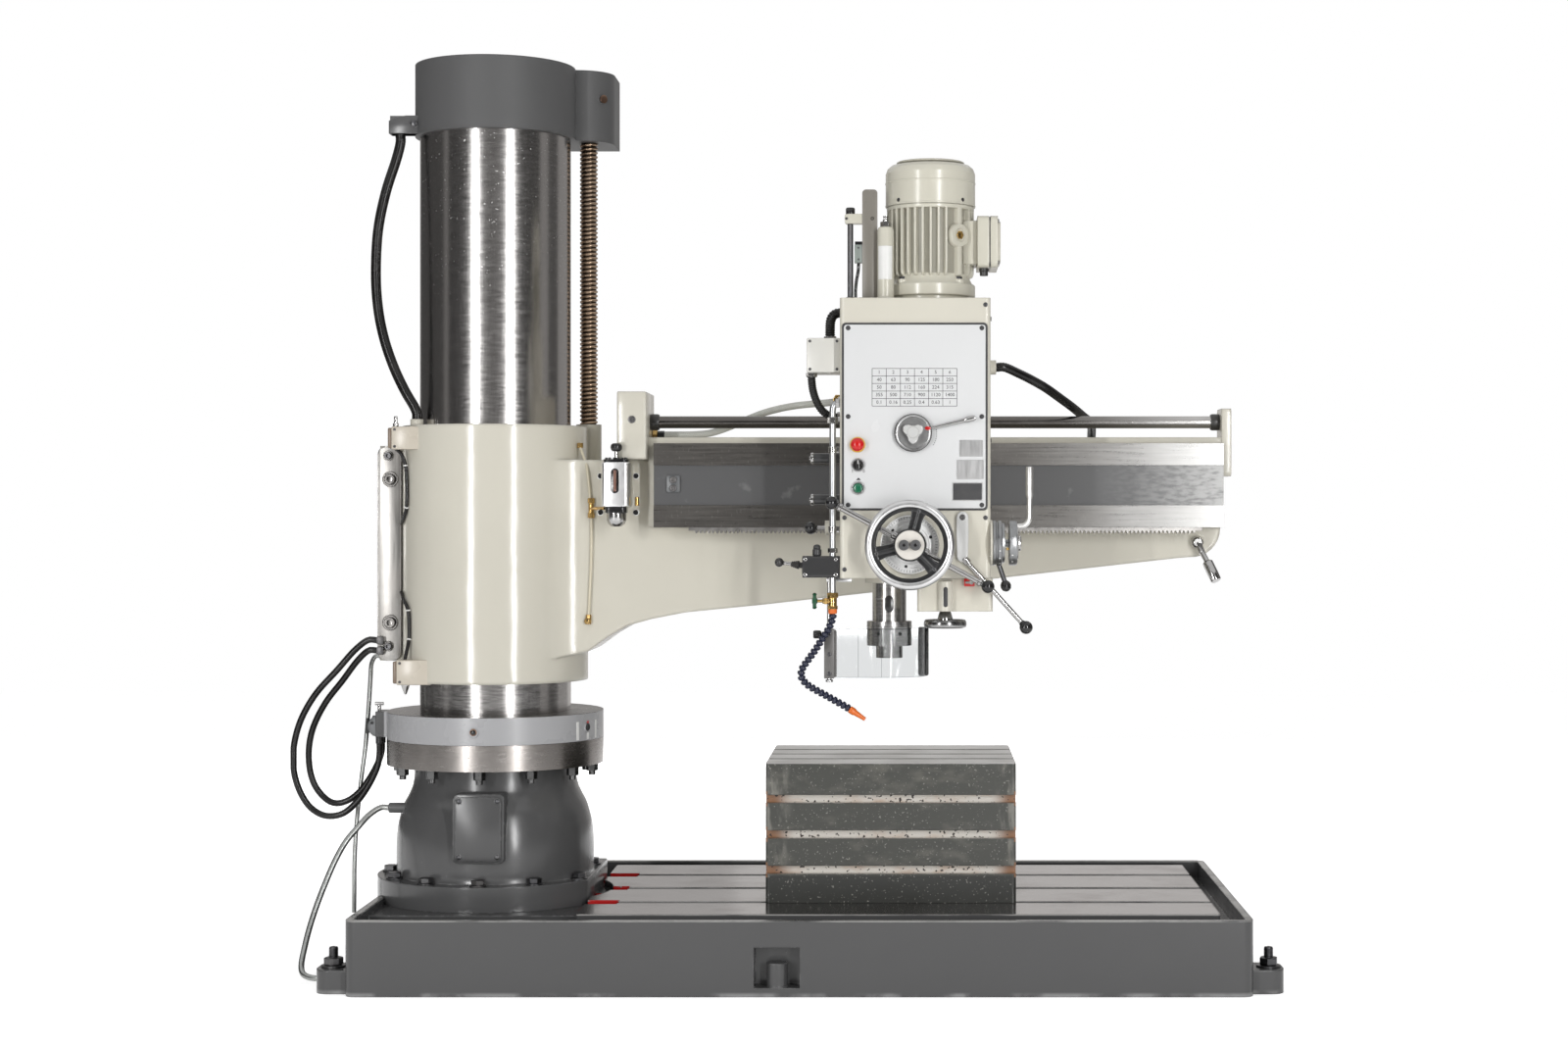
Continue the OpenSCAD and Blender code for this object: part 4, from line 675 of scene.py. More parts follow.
scale = []
for k, turn in enumerate((-33, -24, -15)):
    at, way = on_ring(turn, 0.0, RING_R + 0.0004)
    side = Vector((-way.y, way.x, 0))
    for low, high, number in ((0.524, 0.55, 0), (0.55, 0.566, 1 if k == 1 else 0)):
        wide = 0.0045
        points = [at - side * wide + Vector((0, 0, low)), at + side * wide + Vector((0, 0, low)),
            at + side * wide + Vector((0, 0, high)), at - side * wide + Vector((0, 0, high))]
        points += [p - way * 0.003 for p in points]
        faces = [(0, 1, 2, 3), (4, 7, 6, 5), (0, 4, 5, 1), (1, 5, 6, 2), (2, 6, 7, 3), (3, 7, 4, 0)]
        scale.append((points, faces, number))
piece("swing_scale", "column", "white_enamel", [white_mark, red_mark], scale)

cap_way = heading("z", -46)
cap_plug = Vector((0.188, 0.1, 2.024)) + cap_way * 0.086
clip = [drawn_out(mm(-235, 1925, -157, 1925, -157, 1967, -196, 1967, -235, 1955), -0.082, -0.038, "y", 0.002)]
clip += in_finish(1, hexagon((-0.176, -0.082, 1.948), FRONT, 0.008, 0.006))
clip += in_finish(2, turned(mm(0, 0, 10, 0, 10, 3, 6, 4, 0, 3), cap_plug, cap_way, 20))
piece("cap_fittings", "column", "grey_paint", [grey_enamel, dark_steel, copper], clip)


def off_axis(u, v, at):
    """How far a point is from an axis, by its two coordinates across it."""
    across = node(u.id_data, "CombineXYZ", {0: calc("SUBTRACT", u, at[0]), 1: calc("SUBTRACT", v, at[1])})
    return node(u.id_data, "VectorMath", {0: across.outputs[0]}, operation="LENGTH").outputs["Value"]


# The screw's own thread, one helix from the nut to the cap
screw_steel, tree, shader, placed = metal("screw_steel", (0.42, 0.3, 0.21, 1), 0.28, marks=0.5, staining=0.35)
spot, x, y, z = here(tree)
in_groove = between(off_axis(x, y, SCREW_AT), SCREW_R - 0.0008, SCREW_R - 0.002)
give(shader, Base_Color=tint(in_groove, placed.outputs["Colour"], (0.05, 0.035, 0.025, 1)))
thread = [(SCREW_R, 0), (SCREW_R, 0.0038), (SCREW_R - 0.003, 0.005), (SCREW_R - 0.003, 0.0088)]
steps = THREAD_STEPS
points, faces = [], []
for k in range(THREAD_TURNS):
    for radius, rise in thread:
        for i in range(steps):
            a = tau * i / steps
            height = THREAD_Z + k * SCREW_PITCH + rise + SCREW_PITCH * i / steps
            points.append((SCREW_AT[0] + radius * cos(a), SCREW_AT[1] + radius * sin(a), height))
rows = THREAD_TURNS * len(thread)
for row in range(rows - len(thread) - 1):
    for i in range(steps):
        step = (row, i + 1) if i < steps - 1 else (row + len(thread), 0)
        if step[0] + 1 < rows:
            corner = step[0] * steps + step[1]
            faces.append((row * steps + i, corner, corner + steps, (row + 1) * steps + i))
piece("leadscrew", "screw", "ground_steel", screw_steel, (points, faces), replaces=["elevating_screw"],
    crease=70)


# Arm
# One cream-painted casting, a barrel round the column and a tapering beam. Its two ways are ground
# and scraped steel, and the strip between them is painted dark grey and rubbed bare at its end.
CREAM = (0.62, 0.595, 0.515, 1)
CREAM_WORN = (0.3, 0.27, 0.22, 1)
WAY_FACE, WAY_LEFT = -0.2, 0.391
WAYS = ((1.013, 1.063), (1.154, 1.204))
cream_enamel = paint("cream_enamel", CREAM, CREAM_WORN, wear=0.12, gloss=0.15, edge=0.008, bump=0.2)[0]
arm_finish, tree, shader, placed = paint("arm_finish", CREAM, CREAM_WORN, wear=0.12, gloss=0.13, edge=0.012,
    bump=0.3)
spot, x, y, z = here(tree)
in_front = times(between(y, WAY_FACE + 0.0465, WAY_FACE + 0.0455), between(x, WAY_LEFT - 0.0006, WAY_LEFT))
on_way = either(*[band(z, low - 0.0005, high + 0.0005) for low, high in WAYS])
on_way = times(on_way, in_front)
way = node(tree, "Group", {"Stain": (0.13, 0.12, 0.11, 1), "Staining": 0.06, "Roughness": 0.3,
    "Grain": (0.12, 4, 4), "Marks": 0.4, "Edge": 0.0008}, node_tree=machined)
lighter = between(calc("MULTIPLY_ADD", noise(spot, 9, 4), 0.2, x), 1.2, 1.95)
nicks = times(between(noise(spot, 230, 3, (1, 1, 0.35)), 0.6, 0.7), between(x, 1.6, 1.1))
plain_way = tint(lighter, (0.13, 0.123, 0.115, 1), (0.31, 0.31, 0.305, 1))
feed(way.inputs["Colour"], tint(times(nicks, 0.12), plain_way, (0.5, 0.49, 0.46, 1)))
scraped = noise(spot, 75, 2, (1, 1, 1.6))
streaks = between(calc("MULTIPLY_ADD", noise(spot, 150, 9, (0.3, 1, 0.9)), 0.9, times(x, 0.35)), 0.84, 1.1)
bared = times(between(x, 1.36, 1.68), calc("MULTIPLY_ADD", streaks, 0.6, 0.4))
scuff = between(noise(spot, 16, 8), 0.63, 0.72)
strip = tint(times(scuff, 0.4), (0.085, 0.085, 0.087, 1), (0.24, 0.24, 0.24, 1))
strip = tint(bared, strip, (0.27, 0.27, 0.265, 1))
shown = tint(in_front, placed.outputs["Colour"], strip)
give(shader, Base_Color=tint(on_way, shown, way.outputs["Colour"]),
    Metallic=either(on_way, times(times(bared, in_front), 0.35)))
worked = calc("MULTIPLY_ADD", calc("SUBTRACT", scraped, 0.5), 0.07, way.outputs["Roughness"])
dull = node(tree, "Mix", {0: in_front, 2: placed.outputs["Roughness"], 3: 0.34}).outputs[0]
give(shader, Roughness=node(tree, "Mix", {0: on_way, 2: dull, 3: worked}).outputs[0])
relief = shader.inputs["Normal"].links[0].from_socket
level = node(tree, "Mix", {0: in_front, 4: relief, 5: way.outputs["Normal"]}, data_type="VECTOR").outputs[1]
give(shader, Normal=level)
dress(arm_finish, "arm_casting")
dress(cream_enamel, "elevating_nut")
rack_steel = metal("rack_steel", (0.3, 0.29, 0.28, 1), 0.3, marks=0.4, staining=0.5)[0]
dress(rack_steel, "traverse_rack")

# A blackened plate with two socket screws on the strip
joint_plate = [plate((0.42, 0.451), (1.092, 1.131), 0.004, -0.1985, -0.193, "y", 0.0012)]
joint_plate += in_finish(1, *screw_grid((0.4355,), -0.1975, (1.102, 1.121), 0.0078, 0.0035))
piece("way_plate", "arm", "black_steel", [motor_grey, dark_steel], joint_plate)


# Stop bar
# A ground bar above the arm, from a cream block at the column's side to a bracket at the arm's end,
# with a black rubber buffer at each end for the head to run against.
BAR_AT, BAR_R = (-0.105, 1.255), 0.014
bar_steel, tree, shader, placed = metal("bar_steel", (0.12, 0.112, 0.105, 1), 0.2, grain=(0.08, 3, 3),
    marks=0.5, staining=0.4)
x = here(tree)[1]
feed(placed.inputs["Colour"], tint(between(x, 1.25, 1.75), (0.12, 0.112, 0.105, 1), (0.5, 0.49, 0.48, 1)))
black_rubber = plastic("black_rubber", (0.018, 0.017, 0.016, 1), 0.36, dusting=0.15)[0]
bar = [block((0.307, 0.374), (-0.195, -0.02), (1.168, 1.322), 0.0035),
    plate((-0.152, -0.06), (1.13, 1.285), 0.006, 1.687, 1.709, "x", 0.003),
    turned(mm(17, 0, 17, 3, 14, 4, 0, 4), (1.709, -0.105, 1.255), RIGHT, 24)]
bar += in_finish(1, rod((0.37, *BAR_AT), (1.69, *BAR_AT), BAR_R, 0.001, 32))
for x, way in ((0.374, 1), (1.687, -1)):
    bar += in_finish(2, turned(mm(0, 0, 18, 0, 19, 2, 19, 17, 17.5, 21, 0, 21), (x, *BAR_AT), (way, 0, 0)))
bar += in_finish(3, socket_screw((0.341, -0.195, 1.258), FRONT, 0.0085, 0.002),
    socket_screw((1.709, -0.105, 1.165), RIGHT, 0.007, 0.004))
piece("stop_rail", "arm", "cream_paint", [cream_enamel, bar_steel, black_rubber, dark_steel], bar,
    replaces=["stop_bar"])


# Pull handle
# A bright steel grip on a bent stem, screwed into a pad under the arm's end, to swing the arm by.
grip = [Vector((1.632, -0.148, 0.978)), Vector((1.641, -0.16, 0.955)), Vector((1.651, -0.17, 0.935)),
    Vector((1.674, -0.192, 0.882))]
down = (grip[3] - grip[2]).normalized()
piece("swing_handle", "arm", "bright_steel", bright_steel,
    turned(mm(12.5, -6, 12.5, 4, 9, 8, 0, 8), grip[0], FRONT, 28), rod(grip[0], grip[1], 0.0075),
    rod(grip[1] - down * 0.004, grip[2] + down * 0.004, 0.0065),
    turned(mm(0, 0, 9, 0, 12.2, 3, 12.6, 30, 12.2, 48, 10.8, 51, 0, 51), grip[2], down, 32),
    replaces=["pull_handle"])


# Barrel clamp
# A bright steel plate closes the slit at the barrel's left side. Two large and two small socket
# bolts draw it tight, and the limit switches' cables are tied along its edge.
CLAMP_X, CLAMP_Y = (-0.266, -0.211), (-0.057, -0.045)
clamp_steel = metal("clamp_steel", (0.36, 0.35, 0.335, 1), 0.32, grain=(3, 3, 0.2), marks=0.6, staining=0.45,
    stain=(0.24, 0.22, 0.2, 1), edge=0.003)[0]
bolt_steel = metal("bolt_steel", (0.13, 0.125, 0.12, 1), 0.2, marks=0.4, staining=0.3)[0]
clamp = [plate(CLAMP_X, (0.702, 1.202), 0.02, CLAMP_Y[0], CLAMP_Y[1], "y", 0.0025, 3)]
for x, z, big in ((-0.24, 1.179, 0), (-0.236, 1.124, 1), (-0.236, 0.791, 1), (-0.24, 0.736, 0)):
    wide = 0.018 if big else 0.0115
    clamp += in_finish(2, turned([(0, 0), (wide, 0), (wide, 0.0022), (wide - 0.001, 0.0032), (0, 0.0032)],
        (x, CLAMP_Y[0], z), FRONT))
    clamp += in_finish(1 + big, socket_screw((x, CLAMP_Y[0] - 0.003, z), FRONT, wide * 0.72, 0.009))
clamp += in_finish(1, *[plate((-0.266, -0.25), (z - 0.009, z + 0.009), 0.003, -0.07, -0.056)
    for z in (0.726, 0.75)], block((-0.276, -0.262), (0.014, 0.034), (0.7, 0.716), 0.001))
piece("clamp_bar", "arm", "bright_steel", [clamp_steel, dark_steel, bolt_steel], clamp,
    replaces=["barrel_clamp"])


# Limit switches
# Two small cast boxes in a brownish cream, one above with an upright plunger and one below with a
# pointed tip, stop the arm at both ends of its lift.
switch_cream = paint("switch_cream", (0.55, 0.5, 0.42, 1), (0.2, 0.15, 0.1, 1), wear=0.6, gloss=0.25,
    edge=0.002)[0]
switch_brown = paint("switch_brown", (0.2, 0.15, 0.11, 1), GREY_WORN, wear=0.4, gloss=0.3, edge=0.002)[0]
limits = [block((-0.215, -0.15), (-0.151, -0.112), (1.191, 1.244), 0.003),
    block((-0.199, -0.12), (-0.173, -0.128), (0.653, 0.71), 0.003)]
limits += in_finish(1, block((-0.2235, -0.213), (-0.149, -0.117), (1.194, 1.241), 0.003),
    block((-0.2075, -0.197), (-0.171, -0.132), (0.656, 0.707), 0.003))
limits += in_finish(2, rod((-0.208, -0.132, 1.24), (-0.208, -0.132, 1.252), 0.0065),
    rod((-0.208, -0.132, 1.25), (-0.208, -0.132, 1.268), 0.004),
    turned(mm(9.5, 24, 9.5, 20, 8.5, 17, 3, 2, 0, 0), (-0.182, -0.151, 0.63), steps=24))
limits += in_finish(3, *[socket_screw((x, y, z), FRONT, 0.003, 0.0015)
    for x, y, z in ((-0.207, -0.151, 1.237), (-0.207, -0.151, 1.198), (-0.191, -0.173, 0.703),
    (-0.191, -0.173, 0.66))])
piece("lift_limits", "arm", "black_steel", [switch_cream, switch_brown, bright_steel, dark_steel], limits,
    replaces=["limit_switches"])


# Lubricator
# A plated hand pump with a sight window and a bowl. Its knob is pressed to send oil down the cream
# pipe along the barrel, through brass fittings.
PUMP_AT = (0.308, -0.21)
brass = metal("brass", (0.55, 0.36, 0.13, 1), 0.22, marks=0.3, staining=0.3)[0]
oil_cream = paint("oil_cream", (0.6, 0.55, 0.42, 1), (0.35, 0.22, 0.1, 1), wear=0.5, gloss=0.25,
    edge=0.001)[0]
sight_pink = plastic("sight_pink", (0.22, 0.11, 0.08, 1), 0.12)[0]
pump_plate = metal("pump_plate", (0.86, 0.86, 0.86, 1), 0.3, marks=0.1, staining=0.08)[0]
pump = [plate((0.276, 0.34), (-0.24, -0.18), 0.011, 1.06, 1.16, "z", 0.003, 3),
    *in_finish(5, turned(mm(0, 0, 12, 0, 19, 6, 22, 14, 22, 30, 18, 34, 0, 34), (*PUMP_AT, 1.015), steps=12))]
pump += in_finish(1, plate((0.2805, 0.3355), (-0.236, -0.184), 0.01, 1.158, 1.167, "z", 0.002),
    plate((0.284, 0.332), (-0.232, -0.188), 0.01, 1.046, 1.061, "z", 0.001),
    plate((0.299, 0.317), (1.09, 1.146), 0.0089, -0.2412, -0.2385, "y", 0.0005))
pump += in_finish(2, rod((0.308, -0.2405, 1.094), (0.308, -0.2405, 1.142), 0.0034))
pump += in_finish(1, *[rod((0.286 + 0.009 * i, -0.216 - 0.012 * (i % 2), 1.166),
    (0.286 + 0.009 * i, -0.216 - 0.012 * (i % 2), 1.171), 0.0035) for i in range(6)])
for x in (0.268, 0.349):
    pump += in_finish(1, *screw_grid((x,), -0.178, (1.13, 1.047), 0.006, 0.006))
    pump += in_finish(0, *[turned(mm(0, 0, 7.2, 0, 7.2, 2, 0, 2), (x, -0.177, z), FRONT, 20)
        for z in (1.13, 1.047)])
pump += in_finish(3, rod((0.352, -0.186, 1.062), (0.352, -0.186, 1.082), 0.005),
    rod((0.24, -0.13, 1.056), (0.279, -0.2, 1.056), 0.0035), hexagon((0.24, -0.127, 1.068), UP, 0.008, 0.012),
    hexagon((0.24, -0.127, 1.034), UP, 0.008, 0.012), rod((0.24, -0.127, 1.04), (0.24, -0.127, 1.076), 0.006),
    hexagon((0.209, -0.084, 1.196), UP, 0.007, 0.012),
    rod((0.234, -0.126, 0.79), (0.234, -0.126, 0.812), 0.0065),
    hexagon((0.234, -0.126, 0.797), (-0.6, -1, 0), 0.0075, 0.008))


def swept(route, radius, sides=12):
    """A tube along a route, its radius one number or one at each point."""
    route = [Vector(p) for p in route]
    radii = radius if isinstance(radius, list) else [radius] * len(route)
    points, faces, side = [], [], None
    for i, (middle, r) in enumerate(zip(route, radii)):
        along = (route[min(i + 1, len(route) - 1)] - route[max(i - 1, 0)]).normalized()
        side = along.orthogonal() if side is None else side - along * side.dot(along)
        side.normalize()
        up = along.cross(side)
        points += [middle + r * (side * cos(a) + up * sin(a))
            for a in (tau * k / sides for k in range(sides))]
    for i in range(len(route) - 1):
        for k in range(sides):
            m = (k + 1) % sides
            faces.append((i * sides + k, i * sides + m, (i + 1) * sides + m, (i + 1) * sides + k))
    faces += [tuple(range(sides))[::-1], tuple(range((len(route) - 1) * sides, len(route) * sides))]
    return points, faces


OIL_PIPE = [(0.208, -0.083, 1.2), (0.217, -0.1, 1.182), (0.229, -0.121, 1.155), (0.233, -0.126, 1.13),
    (0.237, -0.126, 1.09), (0.24, -0.126, 1.05), (0.241, -0.126, 0.99), (0.24, -0.126, 0.93),
    (0.237, -0.126, 0.86), (0.234, -0.126, 0.8)]
pump += in_finish(4, swept(smooth_line(OIL_PIPE), 0.0033, 12))
piece("oil_pump", "arm", "bright_steel", [pump_plate, black_gloss, sight_pink, brass, oil_cream,
    bright_steel], pump, replaces=["lubricator"])
piece("pump_knob", "pump", "black_plastic", [black_gloss, bright_steel],
    turned(mm(0, 0, 9, 0, 12.5, 4, 13.5, 10, 12, 15, 8, 18, 0, 18.5), (*PUMP_AT, 1.1855), steps=32),
    in_finish(1, rod((*PUMP_AT, 1.13), (*PUMP_AT, 1.188), 0.0045)), replaces=["lubricator_knob"])


# Cords and hoses
# A black rubber conduit feeds the arm from the cap, and two black cables loop round the barrel from
# the ring. Grey armoured hoses carry the oil and a clear braided one the coolant.
CONDUIT = [(-0.212, -0.06, 1.925), (-0.212, -0.06, 1.905), (-0.222, -0.061, 1.865), (-0.245, -0.065, 1.79),
    (-0.262, -0.07, 1.7), (-0.266, -0.074, 1.6), (-0.26, -0.078, 1.52), (-0.245, -0.084, 1.45),
    (-0.222, -0.09, 1.385), (-0.195, -0.098, 1.33), (-0.172, -0.103, 1.292), (-0.165, -0.104, 1.275),
    (-0.165, -0.104, 1.262)]
LOOP_OUTER = [(-0.266, -0.062, 0.75), (-0.288, -0.062, 0.75), (-0.32, -0.06, 0.725), (-0.36, -0.058, 0.68),
    (-0.41, -0.055, 0.625), (-0.445, -0.052, 0.565), (-0.462, -0.05, 0.505), (-0.463, -0.05, 0.45),
    (-0.45, -0.048, 0.4), (-0.425, -0.046, 0.36), (-0.39, -0.044, 0.34), (-0.35, -0.042, 0.345),
    (-0.315, -0.04, 0.375), (-0.288, -0.039, 0.415), (-0.27, -0.038, 0.455), (-0.265, -0.038, 0.485),
    (-0.265, -0.038, 0.508)]
LOOP_INNER = [(-0.266, -0.062, 0.726), (-0.286, -0.062, 0.726), (-0.315, -0.054, 0.7), (-0.35, -0.045, 0.655),
    (-0.39, -0.038, 0.605), (-0.42, -0.03, 0.55), (-0.433, -0.024, 0.5), (-0.433, -0.02, 0.45),
    (-0.422, -0.018, 0.41), (-0.4, -0.016, 0.38), (-0.375, -0.015, 0.366), (-0.345, -0.014, 0.372),
    (-0.315, -0.014, 0.395), (-0.29, -0.014, 0.43), (-0.272, -0.014, 0.465), (-0.265, -0.014, 0.49),
    (-0.265, -0.014, 0.508)]
SUPPLY = [(-0.276, 0.024, 0.708), (-0.288, 0.024, 0.708), (-0.297, 0.023, 0.69), (-0.299, 0.022, 0.66),
    (-0.301, 0.02, 0.62), (-0.304, 0.015, 0.56), (-0.308, 0.01, 0.5), (-0.316, 0.005, 0.43),
    (-0.323, 0.0, 0.36), (-0.328, -0.005, 0.29), (-0.33, -0.01, 0.22), (-0.33, -0.012, 0.16),
    (-0.33, -0.014, 0.11)]
RETURN = [(-0.236, -0.072, 0.362), (-0.256, -0.072, 0.362), (-0.279, -0.086, 0.347), (-0.3, -0.105, 0.322),
    (-0.325, -0.12, 0.29), (-0.345, -0.138, 0.25), (-0.362, -0.155, 0.205), (-0.378, -0.175, 0.155),
    (-0.39, -0.198, 0.105), (-0.396, -0.222, 0.062), (-0.396, -0.25, 0.032), (-0.388, -0.275, 0.016),
    (-0.372, -0.292, 0.01), (-0.352, -0.3, 0.008), (-0.33, -0.302, 0.008)]
REAR = [(1.165, -0.3, 1.37), (1.185, -0.3, 1.37), (1.215, -0.285, 1.358), (1.245, -0.262, 1.345),
    (1.28, -0.225, 1.328), (1.315, -0.17, 1.308), (1.35, -0.105, 1.288), (1.38, -0.03, 1.27),
    (1.4, 0.055, 1.262), (1.408, 0.115, 1.25), (1.41, 0.148, 1.228), (1.41, 0.158, 1.195),
    (1.41, 0.158, 1.165), (1.41, 0.158, 1.14)]
BRAIDED = [(0.378, -0.055, 1.2275), (0.4, -0.055, 1.2275), (0.43, -0.056, 1.2275), (0.47, -0.057, 1.228),
    (0.51, -0.057, 1.232), (0.55, -0.056, 1.245), (0.59, -0.052, 1.262), (0.63, -0.048, 1.278),
    (0.67, -0.047, 1.289), (0.71, -0.05, 1.296), (0.745, -0.062, 1.299), (0.775, -0.09, 1.3),
    (0.795, -0.13, 1.3), (0.808, -0.175, 1.3), (0.812, -0.215, 1.3), (0.812, -0.25, 1.3)]


def paced(line, step):
    """The same line with points a step apart."""
    line = [Vector(p) for p in line]
    marks = [0.0]
    for a, b in zip(line, line[1:]):
        marks.append(marks[-1] + (b - a).length)
    count = max(2, round(marks[-1] / step))
    evenly, k = [], 0
    for i in range(count + 1):
        along = marks[-1] * i / count
        while k < len(line) - 2 and marks[k + 1] < along:
            k += 1
        evenly.append(line[k].lerp(line[k + 1], (along - marks[k]) / (marks[k + 1] - marks[k])))
    return evenly


def cord(name, route, radius, kind, finishes, body=None, blend=None, ribs=None, extras=(),
         replaces=(), sides=14):
    """A hose on a route, ribbed where (pitch, depth) is given. It rides on a body where one is given."""
    centres = paced(smooth_line(route, 6), ribs[0] / 2 if ribs else 0.008)
    for p in centres:
        p.x = max(p.x, cad_box[0][0] + radius)
    radii = [radius - (ribs[1] if ribs and i % 2 else 0.0) for i in range(len(centres))]
    made = piece(name, body, kind, finishes, swept(centres, radii, sides), *extras, replaces=replaces,
        crease=60)
    if blend:
        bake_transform(made)
    return made, centres


cable_black = plastic("cable_black", (0.006, 0.0055, 0.0055, 1), 0.26, dusting=0.05,
    Specular_IOR_Level=0.35)[0]
hose_grey = metal("hose_grey", (0.36, 0.37, 0.36, 1), 0.34, marks=0.3, staining=0.3)[0]
cord("arm_conduit", CONDUIT, 0.012, "black_cable", cable_black, ribs=(0.0052, 0.0007),
    blend=("column", "arm", (-0.2, -0.06, 1.88), (-0.17, -0.1, 1.28)), replaces=["column_conduit"])
for name, route, length in (("loop_outer", LOOP_OUTER, 0.76), ("loop_inner", LOOP_INNER, 0.65)):
    cord(name, route, 0.0075, "black_cable", cable_black,
        blend=("column", "arm", (-0.27, -0.03, 0.51), (-0.27, -0.06, 0.73)), replaces=["loop_cables"])
cord("oil_supply", SUPPLY, 0.0055, "grey_hose", hose_grey, ribs=(0.0044, 0.0006),
    blend=("column", "arm", (-0.33, -0.01, 0.15), (-0.29, 0.02, 0.7)), replaces=["supply_hose"], sides=10)
cord("oil_return", RETURN, 0.007, "grey_hose", hose_grey, body="base", ribs=(0.005, 0.0006),
    replaces=["return_hose"], sides=12)
cord("head_conduit", REAR, 0.0105, "black_cable", cable_black, ribs=(0.0052, 0.0008),
    blend=("head", "arm", (1.19, -0.3, 1.37), (1.4, 0.1, 1.25)), replaces=["rear_conduit"])

clear_hose = plastic("clear_hose", (0.7, 0.71, 0.66, 1), 0.16, dusting=0.1)[0]
braid_thread = plastic("braid_thread", (0.5, 0.49, 0.44, 1), 0.4)[0]
tube_line = paced(smooth_line(BRAIDED, 6), 0.008)
threads = []
for way in (-1, 1):
    for start in range(5):
        wound, side = [], Vector(UP)
        fine = paced(tube_line, 0.002)
        for i, middle in enumerate(fine):
            along = (fine[min(i + 1, len(fine) - 1)] - fine[max(i - 1, 0)]).normalized()
            side = (side - along * side.dot(along)).normalized()
            turn = way * i * 0.002 * 240 + tau * start / 5
            wound.append(middle + 0.0079 * (side * cos(turn) + along.cross(side) * sin(turn)))
        threads.append(swept(wound, 0.0005, 3))
cord("coolant_hose", BRAIDED, 0.008, "clear_hose", [clear_hose, braid_thread],
    extras=in_finish(1, *threads), blend=("arm", "head", (0.4, -0.057, 1.2275), (0.8, -0.2, 1.3)),
    replaces=["braided_hose"], sides=16)
piece("hose_fittings", "head", "bronze", [brass, bright_steel],
    in_finish(0, hexagon((0.812, -0.262, 1.3), (0, 1, 0), 0.0125, 0.014),
    rod((0.812, -0.25, 1.3), (0.812, -0.21, 1.3), 0.0098, 0.0015)),
    in_finish(1, rod((0.812, -0.26, 1.3), (0.826, -0.262, 1.3), 0.007)))
piece("hose_clip", "arm", "bronze", [brass, black_gloss],
    in_finish(0, hexagon((0.374, -0.055, 1.2275), RIGHT, 0.012, 0.012)),
    in_finish(1, rod((0.386, -0.055, 1.2275), (0.402, -0.055, 1.2275), 0.0095, 0.001)))

# The limit switches' cables, tied to the clamp plate
ties, cables = [], []
for line in ([(-0.206, -0.135, 1.192), (-0.196, -0.126, 1.18), (-0.188, -0.12, 1.155), (-0.185, -0.12, 1.11),
    (-0.186, -0.119, 1.06), (-0.196, -0.1, 1.035), (-0.208, -0.07, 1.022)],
    [(-0.208, -0.07, 0.862), (-0.195, -0.105, 0.845), (-0.18, -0.13, 0.822), (-0.178, -0.13, 0.79),
    (-0.178, -0.131, 0.755), (-0.181, -0.14, 0.73), (-0.184, -0.15, 0.708)]):
    cables.append(swept(paced(smooth_line(line, 5), 0.006), 0.0042, 12))
    for k in (2, 4):
        ties.append(turned(mm(4.2, -1.6, 5.6, -1.4, 5.6, 1.4, 4.2, 1.6), line[k],
            Vector(line[k + 1]) - Vector(line[k]), 14))
piece("switch_cables", "arm", "black_cable", [cable_black, white_mark], cables, in_finish(1, *ties))


# Head casing
# The traversing head is a cast gearbox in the arm's cream, with a separate cream feed box screwed
# under its right side.
HEAD_FACE = -0.56
head_enamel = paint("head_enamel", CREAM, CREAM_WORN, wear=0.14, gloss=0.17, edge=0.005, bump=0.15)[0]
dress(head_enamel, "head_casing", "feed_box")
screw_heads = [socket_screw((x, HEAD_FACE - 0.0003, z), FRONT, 0.0048, 0.0016)
    for x, z in ((0.834, 1.035), (1.134, 1.035), (0.834, 0.925), (1.134, 1.488))]
screw_heads += [socket_screw((1.1455, y, z), RIGHT, 0.005, 0.002) for y in (-0.53, -0.24)
    for z in (1.46, 1.2, 1.06)]
screw_heads.append(socket_screw((0.885, -0.4, 1.5033), UP, 0.005, 0.002))
piece("casing_screws", "head", "black_steel", dark_steel, screw_heads)


# Front panel
# A white enamelled sheet on a black gasket, held by black screws. It holds the speed table, the dial,
# the buttons and three blank plates.
PANEL_X, PANEL_Z, PANEL_FACE = (0.833, 1.134), (1.055, 1.445), -0.566
STOP_AT, SWITCH_AT, START_AT = ((x, PANEL_FACE, z)
    for x, z in ((0.862, 1.19), (0.863, 1.147), (0.863, 1.098)))
panel_white = paint("panel_white", (0.655, 0.66, 0.662, 1), (0.5, 0.5, 0.5, 1), wear=0.05, gloss=0.22,
    edge=0.001, bump=0.05)[0]
print_black = plastic("print_black", (0.03, 0.03, 0.032, 1), 0.5)[0]
plate_silver = metal("plate_silver", (0.55, 0.55, 0.55, 1), 0.3, grain=(4, 1, 0.3), marks=0.3)[0]
button_yellow = plastic("button_yellow", (0.75, 0.42, 0.02, 1), 0.3)[0]


def sheet_y(x, z, front, thick, radius=0.002, bevel=0.0003):
    """A thin upright plate facing the operator."""
    return drawn_out(round_box(x, z, radius, 3), front, front + thick, "y", bevel, 1)


def figures(words, x, z, size, front):
    """Raised numbers in Blender's own face, facing the operator."""
    curve = bpy.data.curves.new("figures", "FONT")
    curve.body, curve.size, curve.extrude = words, size, 0.0001
    curve.align_x, curve.align_y = "CENTER", "CENTER"
    curve.resolution_u = 2
    shown = bpy.data.objects.new("figures", curve)
    flat = bpy.data.meshes.new_from_object(shown)
    stand = Matrix.Translation((x, front, z)) @ Matrix.Rotation(radians(90), 4, "X")
    shape = [stand @ v.co for v in flat.vertices], [list(f.vertices) for f in flat.polygons]
    bpy.data.objects.remove(shown)
    return shape


